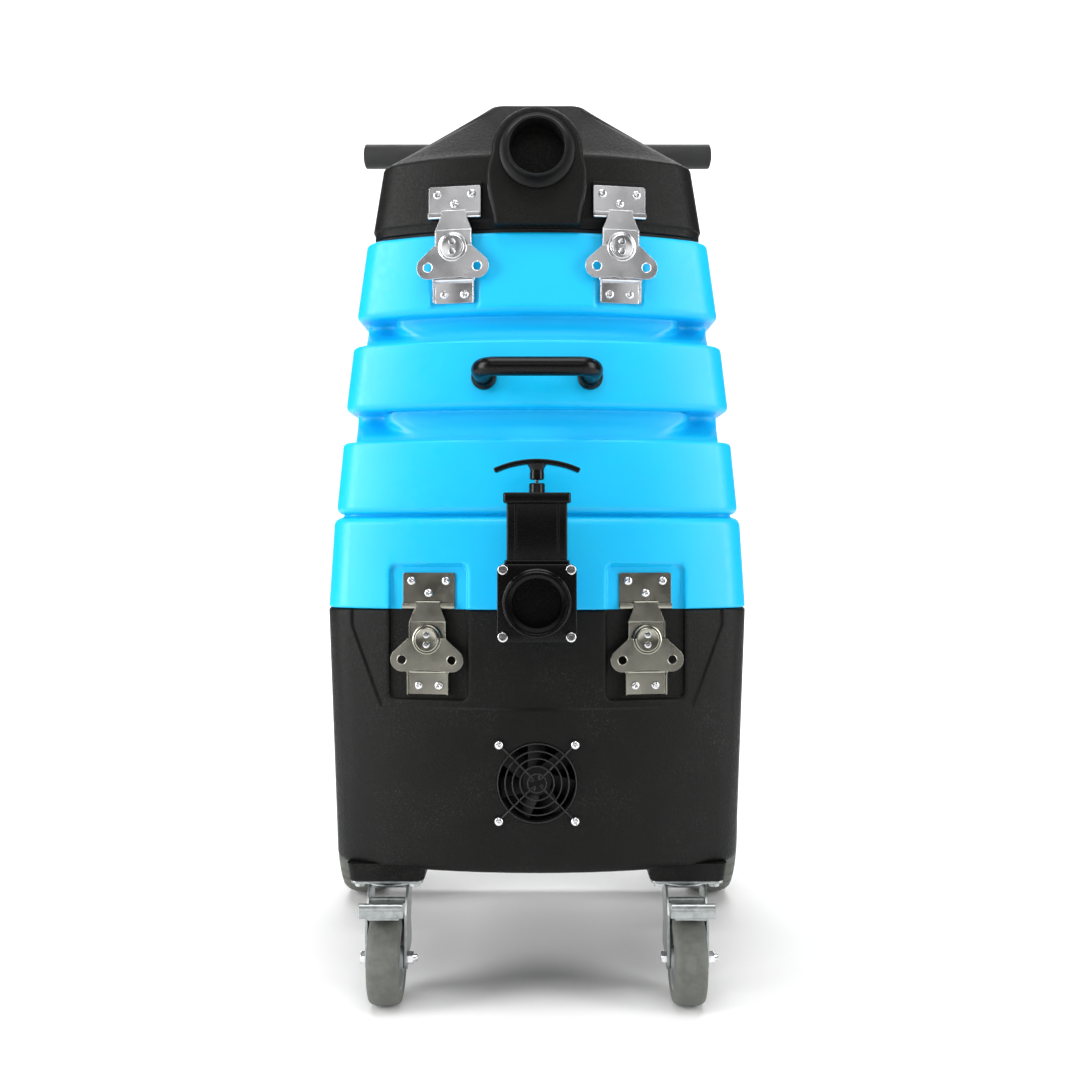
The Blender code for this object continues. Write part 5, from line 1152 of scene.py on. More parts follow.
def lid_skin(sizes):
    """The lid as one closed skin: inside, rim band, side walls, shoulder crease, slopes and flat top."""
    crease = sizes.lid_crease
    wall_top = LID_SHOULDER_Z - crease
    rings = [roof_ring(LID_ROOF_Z - 7.0 * MM, 0.020)]
    rings.append(lid_ring(LID_SHOULDER_HALF, LID_FRONT_Y + 3.0 * MM, LID_SHOULDER_Z - 9.0 * MM, 8.0 * MM,
                          LID_SHOULDER_RISE))
    rings += [lid_ring(LID_HALF - 2.0 * MM, LID_FRONT_Y, LID_BOTTOM + 12.0 * MM, 6.5 * MM),
              lid_ring(LID_HALF, LID_FRONT_Y, LID_BOTTOM + 6.0 * MM, 16.0 * MM),
              lid_ring(LID_HALF, LID_FRONT_Y, LID_BOTTOM, 16.0 * MM)]
    rings += [lid_ring(LID_HALF, LID_FRONT_Y, z, inset + 1.8 * MM)
              for z, inset in eased(LID_BOTTOM, 0.0, 1.5 * MM, up=False, steps=3)]
    band = LID_BOTTOM + 9.0 * MM
    rings += [lid_ring(LID_HALF, LID_FRONT_Y, z, inset)
              for z, inset in ((band - 0.8 * MM, 1.8 * MM), (band, 1.2 * MM), (band + 1.2 * MM, 0.3 * MM),
                               (band + 2.6 * MM, 0.0))]
    band += 2.6 * MM
    for i in range(1, 7):
        t = i / 6.0
        z = band + (wall_top - band) * t
        half = LID_HALF + (LID_SHOULDER_HALF - LID_HALF) * t
        rings.append(lid_ring(half, LID_FRONT_Y + 3.0 * MM * t, z, 0.0, LID_SHOULDER_RISE * t * t))
    for i in range(1, 7):
        turn = math.radians(62.0) * i / 6.0
        rings.append(lid_ring(LID_SHOULDER_HALF, LID_FRONT_Y + 3.0 * MM, wall_top + crease * math.sin(turn),
                              crease * (1.0 - math.cos(turn)), LID_SHOULDER_RISE))
    low, top = rings[-1], roof_ring(LID_ROOF_Z - 3.4 * MM, 0.0)
    for i in range(1, 8):
        t = i / 8.0
        rings.append([tuple(Vector(a).lerp(Vector(b), t)) for a, b in zip(low, top)])
    for i in range(0, 6):
        turn = math.radians(35.0 + 55.0 * i / 5.0)
        rings.append(roof_ring(LID_ROOF_Z - 7.0 * MM * (1.0 - math.sin(turn)),
                               7.0 * MM * (0.82 - math.cos(turn))))
    rings.append(roof_ring(LID_ROOF_Z, 0.018))
    shape = bmesh.new()
    loft(shape, rings)
    return shape


def tower_outline(inset, crown):
    """Right half of the tower's outline: foot, flare, side that leans in, and arch."""
    top = PYLON_TOP_HALF - inset
    spring = crown - PYLON_TOP_HALF
    foot = [(PYLON_FOOT_HALF - inset, TOWER_BOTTOM), (PYLON_FOOT_HALF - inset, 0.8680),
            (PYLON_FOOT_HALF - inset + 1.0 * MM, 0.8760), (PYLON_HALF - inset - 2.4 * MM, 0.8960),
            (PYLON_HALF - inset - 0.8 * MM, 0.9100), (PYLON_HALF - inset - 0.8 * MM, 0.9200)]
    return foot + arc((0.0, spring), top, 0.0, 90.0, 24)


def tower_ring(y, inset, crown, steps):
    """One level of the inlet tower, along Y: the outline met by rays from the inlet's centre."""
    side = tower_outline(inset, crown)
    outline = side + [(-x, z) for x, z in side[::-1]]
    points = []
    for i in range(steps):
        ray = Vector((math.cos(2.0 * math.pi * i / steps), math.sin(2.0 * math.pi * i / steps)))
        best = 0.0
        for a, b in zip(outline, outline[1:] + outline[:1]):
            hit = line_hit(ray, Vector((a[0], a[1] - INLET_Z)), Vector((b[0], b[1] - INLET_Z)))
            best = max(best, hit)
        points.append((best * ray.x, y, INLET_Z + best * ray.y))
    return points


def line_hit(ray, start, end):
    """Distance along a ray from the origin to a segment, or zero."""
    along = end - start
    cross = ray.x * along.y - ray.y * along.x
    if abs(cross) < 1e-12:
        return 0.0
    share = (start.y * ray.x - start.x * ray.y) / -cross
    if not -1e-6 <= share <= 1.0 + 1e-6:
        return 0.0
    return (start.x * along.y - start.y * along.x) / cross


def inlet_tower(sizes):
    """Arched tower round the inlet, rounded at its face, that runs back into the roof."""
    steps = 160
    edge = sizes.tower_edge
    back = LID_ROOF_FRONT + 0.020
    rings = [tower_ring(back, 0.0, LID_ROOF_Z - 2.0 * MM, steps)]
    for i in range(1, 9):
        t = i / 9.0
        y = back + (PYLON_FACE + edge - back) * t
        rings.append(tower_ring(y, 0.0, LID_ROOF_Z - 2.0 * MM + (PYLON_CROWN - LID_ROOF_Z + 2.0 * MM) * t,
                                steps))
    for i in range(0, 7):
        turn = math.radians(15.0 * i)
        rings.append(tower_ring(PYLON_FACE + edge * (1.0 - math.sin(turn)), edge * (1.0 - math.cos(turn)),
                                PYLON_CROWN, steps))
    hole = 0.0338
    rings.append([(x, PYLON_FACE, z) for x, z in circle((0.0, INLET_Z), hole + 2.0 * MM, steps)])
    rings.append([(x, PYLON_FACE + 1.2 * MM, z) for x, z in circle((0.0, INLET_Z), hole, steps)])
    rings.append([(x, PYLON_FACE + 14.0 * MM, z) for x, z in circle((0.0, INLET_Z), hole, steps)])
    shape = bmesh.new()
    loft(shape, rings)
    return shape


class CLEANER_OT_lid(bpy.types.Operator):
    """Make the black lid with its inlet tower, hose inlet and seal"""
    bl_idname = "cleaner.lid"
    bl_label = "Lid and inlet"

    def execute(self, context):
        """Build the lid, the tower, the inlet tube and the keeper pads."""
        sizes = context.scene.cleaner_sizes
        material = "black_rotomoulded_polyethylene"
        piece("lid_moulding", lid_skin(sizes), material, "lid", ("lid_shell",), angle=50.0)
        piece("lid_inlet_tower", inlet_tower(sizes), material, "lid", angle=50.0)
        pads = []
        for side in (-1, 1):
            pad = bmesh.new()
            slab(pad, rounded((-0.0305, 0.034), (0.0305, 0.074), 3.0 * MM), 'Y', 0.0, 0.012, 1.0 * MM)
            pads.append(moved(pad, latch_place(side, UPPER_LATCH, UPPER_SEAT_Y)))
        piece("lid_keeper_pads", gathered(pads), material, "lid")
        inlet_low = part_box("inlet_tube")[0]
        bore, outer, flange = 0.0300, 0.0330, 0.0408
        front, face = inlet_low.y, PYLON_FACE - 0.3 * MM
        profile = [(bore, -0.215), (bore, front + 1.2 * MM)]
        profile += [(bore + 1.2 * MM * (1.0 - math.cos(t)), front + 1.2 * MM * (1.0 - math.sin(t)))
                    for t in (0.4, 0.8, 1.2, 1.57)]
        profile += [(outer - 0.6 * MM, front), (outer, front + 0.6 * MM),
                    (outer + 0.8 * MM, front + 6.0 * MM),
                    (outer + 2.4 * MM, front + 11.0 * MM), (flange - 1.6 * MM, face - 3.6 * MM),
                    (flange, face - 2.4 * MM), (flange, face), (outer, face), (outer, -0.215)]
        tube_shape = bmesh.new()
        ring(tube_shape, 'Y', (0.0, INLET_Z), profile, 96)
        piece("inlet_cuff", tube_shape, "black_moulded_abs", "lid", ("inlet_tube",))
        refinish("lid_gasket", "black_foam_rubber")
        return {'FINISHED'}


# ---------------------------------------------------------------- draw latches

def wing_outline():
    """Butterfly outline: a straight top, round wing ends and a shallow arch below."""
    wing, drop, radius = 0.0280, -0.0220, 0.0130
    top = (0.0235, 0.0015)
    to_top = math.degrees(math.atan2(top[1] - drop, top[0] - wing))
    reach = math.hypot(top[0] - wing, top[1] - drop)
    start = to_top - math.degrees(math.acos(radius / reach))
    right = arc((top[0] - 0.003, top[1] - 0.003), 0.003, 90.0, 20.0, 3)
    right += arc((wing, drop), radius, start - 4.0, -96.0, 16)
    right += [(0.0180, drop - radius + 0.6 * MM), (0.0100, drop - radius + 1.5 * MM)]
    left = [(-x, z) for x, z in right[::-1]]
    return right + left


def latch_keeper(place, top):
    """Screwed plate with rounded top corners, whose lower edge is rolled out into a channel."""
    plate = bmesh.new()
    thick = 1.5 * MM
    outline = (arc((0.0270, top - 0.0025), 0.0025, 0.0, 90.0, 5)
               + arc((-0.0270, top - 0.0025), 0.0025, 90.0, 180.0, 5)
               + [(-0.0295, 0.0345), (0.0295, 0.0345)])
    prism(plate, outline, 'Y', -0.3 * MM - thick, -0.3 * MM)
    lip = bmesh.new()
    mid = -0.3 * MM - thick / 2.0
    path = [(mid, 0.0375), (mid, 0.0357)] + arc((mid - 2.0 * MM, 0.0357), 2.0 * MM, 0.0, -180.0, 10)[1:]
    path = [(mid, 0.0385)] + path + [(mid - 4.0 * MM, 0.0394)]
    prism(lip, ribbon(path, thick), 'X', -0.0295, 0.0295)
    return moved(gathered([plate, lip]), place)


def latch_mount(place):
    """Screwed channel with side flanges and a rolled top round the pivot pin."""
    thick = 1.5 * MM
    half = 0.02325
    mid = -0.3 * MM - thick / 2.0
    path = [(-half + thick / 2.0, -0.0083), (-half + thick / 2.0, mid - 0.0012)]
    path += arc((-half + thick / 2.0 + 0.0012, mid - 0.0012), 0.0012, 180.0, 90.0, 4)[1:]
    path += [(-x, y) for x, y in path[::-1]]
    channel = bmesh.new()
    prism(channel, ribbon(path, thick), 'Z', -0.0605, -0.0320)
    pins = []
    for way in (-1, 1):
        head = bmesh.new()
        spun(head, 'X', (-0.0055, -0.0350),
             [(2.6 * MM, way * (half - 0.2 * MM)), (2.6 * MM, way * (half + 0.7 * MM)),
              (1.8 * MM, way * (half + 1.3 * MM))], 24)
        pins.append(head)
    return moved(gathered([channel] + pins), place)


def latch_arm(place):
    """Knuckle round the pin, and the plate behind the link that carries the stud."""
    knuckle = bmesh.new()
    half = 0.02325 - 1.8 * MM
    spun(knuckle, 'X', (-0.0055, -0.0350), [(2.2 * MM, -half), (2.5 * MM, 0.4 * MM - half),
                                            (2.5 * MM, half - 0.4 * MM), (2.2 * MM, half)], 32)
    plate = bmesh.new()
    prism(plate, rounded((-0.0185, -0.0350), (0.0185, 0.012), 3.0 * MM), 'Y', -0.0055, -0.0040)
    return moved(gathered([knuckle, plate]), place)


def latch_link(place):
    """Pressed link: a boxed lower half with raised sides, a bend, and a tongue that hooks the keeper."""
    near, thick = 5.8 * MM, 1.5 * MM
    half, tongue = 0.02075, 0.0135
    plate = bmesh.new()
    outline = [(-half, -0.026), (half, -0.026), (half, 0.0195), (tongue + 0.9 * MM, 0.0345),
               (tongue, 0.0360), (tongue, 0.0410), (-tongue, 0.0410), (-tongue, 0.0360),
               (-tongue - 0.9 * MM, 0.0345), (-half, 0.0195)]
    prism(plate, outline, 'Y', -near - thick, -near)
    parts = [plate]
    for way in (-1, 1):
        side = bmesh.new()
        xs = sorted((way * half, way * (half - 1.1 * MM)))
        slab(side, rounded((xs[0], -0.026), (xs[1], 0.0195), 0.3 * MM, 2), 'Y', -near - thick - 1.3 * MM,
             -near - 0.5 * MM, 0.3 * MM, 2)
        parts.append(side)
    ridge = bmesh.new()
    slab(ridge, rounded((-half, 0.0188), (half, 0.0199), 0.4 * MM, 2), 'Y', -near - thick - 0.9 * MM,
         -near - 0.5 * MM, 0.4 * MM, 2)
    parts.append(ridge)
    hook = bmesh.new()
    mid = -near - thick / 2.0
    path = [(mid, 0.0380)] + arc((mid + 1.9 * MM, 0.0395), 1.9 * MM, 180.0, 20.0,
                                 10) + [(mid + 3.9 * MM, 0.0378)]
    prism(hook, ribbon(path, 1.2 * MM), 'X', -tongue, tongue)
    parts.append(hook)
    return moved(gathered(parts), place)


def latch_butterfly():
    """Butterfly with punched wing holes, a raised collar and a dished disc."""
    wing = bmesh.new()
    prism(wing, wing_outline(), 'Y', -0.0113, -0.0095)
    collar = bmesh.new()
    ring(collar, 'Y', (0.0, 0.0), [(0.0138, -0.0111), (0.0149, -0.0122), (0.0158, -0.0119),
                                   (0.0163, -0.0111)], 64)
    disc = bmesh.new()
    spun(disc, 'Y', (0.0, 0.0), [(0.0132, -0.0100), (0.0132, -0.0127), (0.0128, -0.0132), (0.0120, -0.0134),
                                 (0.0112, -0.0131), (0.0040, -0.0129)], 64)
    stud = bmesh.new()
    spun(stud, 'Y', (0.0, 0.0), [(0.0030, -0.0058), (0.0030, -0.0100)], 24)
    return wing, gathered([collar, disc, stud])


def latch_screws(place, spots, radius, turn):
    """Pan-head screws in a latch's plate."""
    return [pan_head(place @ Matrix.Translation((x, -1.8 * MM, z)), radius, 2.4 * MM, turn + 0.9 * i)
            for i, (x, z) in enumerate(spots)]


class CLEANER_OT_latches(bpy.types.Operator):
    """Make the four rotary draw latches"""
    bl_idname = "cleaner.latches"
    bl_label = "Draw latches"

    def execute(self, context):
        """Build a latch at each of its four places."""
        sizes = context.scene.cleaner_sizes
        for side, word in SIDES:
            for tier, latch, seat_y, fixed, far in (("lower", LOWER_LATCH, LOWER_SEAT_Y, "base", "tank"),
                                                    ("upper", UPPER_LATCH, UPPER_SEAT_Y, "tank", "lid")):
                name = tier + "_" + word
                # The lower latches take a darker, tan copy of the nickel: painted shade and reflection
                steel = "nickel_plated_steel" if tier == "lower" else "polished_nickel_steel"
                place = latch_place(side, latch, seat_y)
                edge = sizes.sheet_edge
                top = 0.0730 if tier == "lower" else 0.0690
                piece(name + "_keeper_plate", latch_keeper(place, top), steel, far, (name + "_keeper",),
                      edge=edge)
                piece(name + "_mount_channel", latch_mount(place), steel, fixed, (name + "_mount",),
                      edge=edge)
                piece(name + "_arm_plate", latch_arm(place), steel, name + "_arm", (name + "_arm",),
                      edge=edge)
                piece(name + "_link_plate", latch_link(place), steel, name + "_hook", (name + "_link",),
                      edge=edge)
                wing, boss = latch_butterfly()
                plate = piece(name + "_butterfly_wing", moved(wing, place), steel, name + "_wing",
                              (name + "_butterfly",))
                holes = []
                for way in (-1, 1):
                    hole = bmesh.new()
                    spun(hole, 'Y', (way * 0.0280, -0.0220), [(0.0046, -0.016), (0.0046, -0.005)], 32)
                    holes.append(moved(hole, place))
                carved(plate, name + "_holes", gathered(holes))
                soften(plate, edge)
                piece(name + "_butterfly_disc", moved(boss, place), steel, name + "_wing")
                rims = []
                for way in (-1, 1):
                    rim = bmesh.new()
                    wire_ring(rim, 'Y', (way * 0.0280, -0.0220), -0.0112, 0.0052, 0.9 * MM, 32)
                    rims.append(moved(rim, place))
                piece(name + "_wing_hole_rims", gathered(rims), steel, name + "_wing")
                rivets = []
                for way in (-1, 1):
                    rivet = bmesh.new()
                    spun(rivet, 'Y', (0.0, way * 0.0054),
                         [(0.0037, -0.0126), (0.0037, -0.0134), (0.0033, -0.0139),
                                                           (0.0022, -0.0141), (0.0008, -0.01405)], 28)
                    rivets.append(moved(rivet, place))
                piece(name + "_disc_rivets", gathered(rivets), "bright_chromed_steel", name + "_wing")
                radius = sizes.screw_head / 2.0
                # The middle screw stays clear of the hook at full draw
                middle = max(top - 0.0225, 0.0492)
                upper_row = [(-0.0195, top - 0.0090), (0.0195, top - 0.0090), (0.0, middle)]
                piece(name + "_keeper_screws", gathered(latch_screws(place, upper_row, radius, 0.3)),
                      "bright_chromed_steel", far, angle=30.0)
                lower_row = [(-0.0115, -0.0510), (0.0115, -0.0510)]
                piece(name + "_mount_screws", gathered(latch_screws(place, lower_row, radius, 1.1)),
                      "bright_chromed_steel", fixed, angle=30.0)
        return {'FINISHED'}


# ---------------------------------------------------------------- drain valve

class CLEANER_OT_valve(bpy.types.Operator):
    """Make the gate valve with its bonnet, T handle and flange bolts"""
    bl_idname = "cleaner.valve"
    bl_label = "Drain valve"

    def execute(self, context):
        """Build the valve's body, bonnet, gate, handle and bolts."""
        gloss = "black_gloss_abs"
        half, tall = 0.0413, 0.0405
        low, high = VALVE_Z - tall, VALVE_Z + tall
        front, back = VALVE_Y
        body = bmesh.new()
        slab(body, rounded((-half, low), (half, high), 7.0 * MM), 'Y', back - 0.012, back, 1.2 * MM)
        parts = [body]
        plate = bmesh.new()
        slab(plate, rounded((-half, low), (half, high), 7.0 * MM), 'Y', front, front + 0.012, 1.4 * MM)
        parts.append(plate)
        middle = bmesh.new()
        prism(middle, rounded((-0.03175, low + 1.0 * MM), (0.03175, high - 0.6 * MM), 2.0 * MM), 'Y',
              front + 6.0 * MM, back - 6.0 * MM)
        parts.append(middle)
        hub = bmesh.new()
        hub_r = 0.0335
        profile = [(0.0262, back - 0.004), (0.0262, front + 1.0 * MM), (0.03015, front),
                   (0.03015, HUB_FRONT + 1.0 * MM), (0.0310, HUB_FRONT), (hub_r - 0.8 * MM, HUB_FRONT),
                   (hub_r, HUB_FRONT + 0.8 * MM), (hub_r, front - 2.5 * MM), (hub_r + 1.0 * MM,
                                                                              front - 0.8 * MM),
                   (hub_r + 2.6 * MM, front + 0.3 * MM), (hub_r + 2.6 * MM, front + 4.0 * MM),
                   (0.030, front + 5.0 * MM), (0.030, back - 0.004)]
        ring(hub, 'Y', (0.0, VALVE_Z), profile, 96)
        shell = piece("valve_flanges", gathered(parts), gloss, "tank", ("valve_body",))
        bore = bmesh.new()
        spun(bore, 'Y', (0.0, VALVE_Z), [(0.0302, front - 0.01), (0.0302, back + 0.01)], 72)
        slot = bmesh.new()
        prism(slot, rounded((-0.0290, low + 9.0 * MM), (0.0290, high + 0.01), 1.0 * MM, 2), 'Y',
              VALVE_MID_Y - 2.6 * MM, VALVE_MID_Y + 2.6 * MM)
        carved(shell, "valve_bore", gathered([bore, slot]))
        piece("valve_hub", hub, gloss, "tank")
        bonnet = bmesh.new()
        slab(bonnet, rounded((-0.03175, VALVE_MID_Y - 0.012), (0.03175, VALVE_MID_Y + 0.012), 2.5 * MM), 'Z',
             high + 0.3 * MM, 0.5545, 0.8 * MM)
        cap = bmesh.new()
        slab(cap, rounded((-0.0353, VALVE_MID_Y - 0.0155), (0.0353, VALVE_MID_Y + 0.0155), 3.5 * MM), 'Z',
             0.5540, 0.5650, 1.5 * MM)
        flange = bmesh.new()
        slab(flange, rounded((-0.0340, VALVE_MID_Y - 0.0142), (0.0340, VALVE_MID_Y + 0.0142), 3.0 * MM), 'Z',
             high + 0.3 * MM, high + 4.0 * MM, 0.8 * MM)
        ribs = []
        for x in (-0.022, 0.022):
            rib = bmesh.new()
            slab(rib, rounded((x - 1.3 * MM, high + 3.0 * MM), (x + 1.3 * MM, 0.5545), 0.6 * MM), 'Y',
                 VALVE_MID_Y - 0.0128, VALVE_MID_Y - 0.011, 0.5 * MM)
            ribs.append(rib)
        gland = bmesh.new()
        spun(gland, 'Z', (0.0, VALVE_MID_Y), [(0.0092, 0.5640), (0.0085, 0.5655), (0.0085, 0.5738),
                                              (0.0076, 0.5750), (0.0024, 0.5750)], 48)
        piece("valve_bonnet_housing", gathered([bonnet, cap, flange, gland] + ribs), gloss, "tank",
              ("valve_bonnet",))
        refinish("gate_blade", "nickel_plated_steel")

        grip = bmesh.new()
        low_z, high_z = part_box("gate_handle")[0].z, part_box("gate_handle")[1].z
        spun(grip, 'Z', (0.0, VALVE_MID_Y), [(0.0060, low_z), (0.0076, low_z + 0.8 * MM),
                                             (0.0078, low_z + 6.0 * MM),
                                             (0.0072, low_z + 9.0 * MM), (0.0078, low_z + 12.0 * MM),
                                             (0.0110, high_z - 5.0 * MM)], 48)
        bar = bmesh.new()
        radius = 0.110
        middle_z = high_z - radius
        spread = math.degrees(math.asin(0.046 / radius))
        outline = arc((0.0, middle_z), radius, 90.0 + spread, 90.0 - spread, 24)
        outline += arc((0.0, middle_z), radius - 0.0055, 90.0 - spread, 90.0 + spread, 24)
        prism(bar, outline, 'Y', VALVE_MID_Y - 0.009, VALVE_MID_Y + 0.009)
        piece("gate_handle_bar", bar, gloss, "gate", ("gate_handle",), edge=1.8 * MM, segments=4)
        piece("gate_handle_grip", grip, gloss, "gate")

        bolts, nuts = [], []
        for x in (-1, 1):
            for z in (-1, 1):
                spot = (x * 0.0352, VALVE_Z + z * 0.0347)
                bolts.append(socket_head(facing(spot[0], front, spot[1]), 5.2 * MM, 5.0 * MM))
                nuts.append(hex_head(facing(spot[0], front + 0.019, spot[1]), 6.2 * MM, 5.5 * MM))
                shank = bmesh.new()
                spun(shank, 'Y', spot, [(0.0028, front + 2.0 * MM), (0.0028, back - 2.0 * MM)], 20)
                nuts.append(shank)
        piece("valve_flange_bolts", gathered(bolts), "bright_chromed_steel", "tank")
        piece("valve_flange_nuts", gathered(nuts), "blue_zinc_plated_steel", "tank")
        return {'FINISHED'}


# ---------------------------------------------------------------- handles

class CLEANER_OT_handles(bpy.types.Operator):
    """Make the grab handle and the push bar with its uprights"""
    bl_idname = "cleaner.handles"
    bl_label = "Handles"

    def execute(self, context):
        """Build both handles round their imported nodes."""
        low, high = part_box("grab_handle")
        radius = 0.01025
        leg_x, pad_x, z = high.x - radius, 0.0582, 0.6935
        bar_y, seat = low.y + radius, high.y
        left, right = (-leg_x, bar_y, z + 0.0055), (leg_x, bar_y, z + 0.0055)
        foot_left, foot_right = (-pad_x, seat - 1.0 * MM, z), (pad_x, seat - 1.0 * MM, z)
        path = ([foot_left] + bend(left, foot_left, right, 0.017, 10)
                + bend(right, left, foot_right, 0.017, 10) + [foot_right])
        shape = bmesh.new()
        tube(shape, path, [radius] * len(path), (0.0, 0.0, 1.0), 36)
        piece("grab_handle_bar", shape, "black_gloss_abs", "tank", ("grab_handle",), angle=60.0)
        pads = []
        for side in (-1, 1):
            pad = bmesh.new()
            spun(pad, 'Y', (side * pad_x, z), [(0.0140, seat), (0.0140, seat - 5.5 * MM),
                                               (0.0134, seat - 7.2 * MM),
                                               (0.0118, seat - 8.2 * MM), (0.0104, seat - 11.0 * MM),
                                               (0.0100, seat - 12.0 * MM)], 48)
            pads.append(pad)
        piece("grab_handle_pads", gathered(pads), "black_gloss_abs", "tank")

        low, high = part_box("push_bar")
        centre = ((low.y + high.y) / 2.0, (low.z + high.z) / 2.0)
        r, half = (high.z - low.z) / 2.0, high.x
        profile = []
        for way in (-1, 1):
            end = [(r * math.sin(t), way * (half - 5.0 * MM + 5.0 * MM * math.cos(t)))
                   for t in (0.5, 0.8, 1.1, 1.35, 1.57)]
            profile += end if way < 0 else end[::-1]
        bar = bmesh.new()
        spun(bar, 'X', centre, profile, 64)
        piece("push_bar_grip", bar, "satin_grip_vinyl", "tank", ("push_bar",))

        for side, word in SIDES:
            node = "handle_upright_" + word
            low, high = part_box(node)
            radius = 0.014
            x = side * 0.205
            near_y = REAR_Y + 0.3 * MM + radius
            bottom, knee = (x, near_y, low.z), (x, near_y, 0.930)
            top = (x, centre[0] - 4.0 * MM, centre[1] - 0.010)
            path = [bottom] + bend(knee, bottom, top, 0.120, 12) + [top]
            shape = bmesh.new()
            tube(shape, path, [radius] * len(path), (1.0, 0.0, 0.0), 36)
            piece(node + "_tube", shape, "black_powder_coat", "tank", (node,), angle=60.0)
            foot = bmesh.new()
            xs = sorted((side * 0.165, x))
            slab(foot, rounded((xs[0], 0.480), (xs[1], 0.525), 4.0 * MM), 'Y', REAR_Y + 0.3 * MM,
                 REAR_Y + 3.3 * MM, 0.5 * MM)
            cap = bmesh.new()
            spun(cap, 'Z', (x, near_y), [(0.0115, low.z - 1.6 * MM), (0.0135, low.z - 0.8 * MM),
                                         (0.0138, low.z + 1.0 * MM)], 36)
            piece(node + "_foot", foot, "black_powder_coat", "tank")
            piece(node + "_end_cap", cap, "black_moulded_abs", "tank")
            bolts = [hex_head(facing(side * 0.1755, REAR_Y + 3.2 * MM, z, math.pi), 6.0 * MM, 4.0 * MM)
                     for z in (0.491, 0.514)]
            piece(node + "_bolts", gathered(bolts), "blue_zinc_plated_steel", "tank")
        return {'FINISHED'}


# ---------------------------------------------------------------- fan

class CLEANER_OT_fan(bpy.types.Operator):
    """Make the fan's wire guard and finish the fan behind it"""
    bl_idname = "cleaner.fan"
    bl_label = "Cooling fan"

    def execute(self, context):
        """Build rings, spokes, eyes and screws of the guard."""
        sizes = context.scene.cleaner_sizes
        wire = sizes.guard_wire
        y = (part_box("fan_guard")[0].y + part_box("fan_guard")[1].y) / 2.0
        parts = []
        for radius in (0.0102, 0.0184, 0.0267, 0.0346, 0.0427):
            hoop = bmesh.new()
            wire_ring(hoop, 'Y', (0.0, FAN_Z), y, radius, wire, 72)
            parts.append(hoop)
        corner = FAN_PITCH / 2.0
        for x in (-1, 1):
            for z in (-1, 1):
                out = Vector((x, 0.0, z)).normalized()
                side = Vector((-z, 0.0, x)).normalized()
                centre = Vector((0.0, y + wire * 0.55, FAN_Z))
                # Each spoke curls sideways where it ends near the middle
                curl = [centre + out * (0.0042 + 0.0030 * (1.0 - math.cos(t))) + side * 0.0032 * math.sin(t)
                        for t in (1.8, 1.4, 1.0, 0.6, 0.2)]
                path = curl + [centre + out * 0.0080, centre + out * 0.030,
                               centre + out * (corner * 1.414 - 4.5 * MM)]
                spoke = bmesh.new()
                tube(spoke, path, [wire / 2.0] * len(path), (0.0, 1.0, 0.0), 10)
                parts.append(spoke)
                eye = bmesh.new()
                wire_ring(eye, 'Y', (x * corner, FAN_Z + z * corner), y + wire * 0.3, 0.0043, wire, 36)
                parts.append(eye)
        piece("fan_wire_guard", gathered(parts), "black_coated_wire", "base", ("fan_guard",))
        screws = [pan_head(facing(x * corner, FRONT_Y - 2.0 * MM, FAN_Z + z * corner), 4.7 * MM, 2.6 * MM,
                           0.4 + x + z)
                  for x in (-1, 1) for z in (-1, 1)]
        piece("fan_guard_screws", gathered(screws), "bright_chromed_steel", "base", angle=30.0)
        refinish("fan_frame", "black_moulded_abs", 0.4 * MM)
        refinish("fan_rotor", "black_moulded_abs", 0.3 * MM)
        return {'FINISHED'}


# ---------------------------------------------------------------- castors

def castor_wheel(side):
    """Tyre with a crowned tread and softened shoulders, and the hub inside it."""
    x = side * CASTOR_X
    wide, radius = 0.018, 0.0508
    tread = [(0.0345, -wide + 1.2 * MM), (0.0365, -wide)]
    tread += [(0.0425, -wide)]
    for i in range(0, 13):
        turn = math.radians(-78.0 + 13.0 * i)
        tread.append((0.0425 + (radius - 0.0425) * math.cos(turn) ** 0.55, math.sin(turn) * wide * 0.98))
    tread += [(0.0425, wide), (0.0365, wide), (0.0345, wide - 1.2 * MM)]
    tyre = bmesh.new()
    ring(tyre, 'X', CASTOR_AXLE, [(r, x + along) for r, along in tread], 96)
    hub = bmesh.new()
    profile = [(0.0045, 0.0192), (0.0118, 0.0192), (0.0125, 0.0184), (0.0128, 0.0135), (0.0145, 0.0120),
               (0.0300, 0.0112), (0.0318, 0.0125), (0.0325, 0.0158), (0.0335, 0.0166), (0.0350, 0.0166)]
    profile += [(r, -along) for r, along in profile[::-1]]
    ring(hub, 'X', CASTOR_AXLE, [(r, x + along) for r, along in profile], 72)
    return tyre, hub


def fork_leg(side, way):
    """One leg of the fork: swept back from the crown, round at the axle."""
    x, y = side * CASTOR_X, CASTOR_Y
    axle_y, axle_z = CASTOR_AXLE
    outline = (arc((axle_y, axle_z), 0.0125, 168.0, 335.0, 14)
               + arc((y - 0.028, 0.062), 0.034, -12.0, 40.0, 8) + [(y + 0.012, 0.110), (y + 0.020, 0.1275)]
               + [(y - 0.024, 0.1275), (axle_y - 0.0105, 0.100)])
    leg = bmesh.new()
    ends = sorted((x + way * 0.0200, x + way * 0.0230))
    prism(leg, outline, 'X', ends[0], ends[1])
    return leg


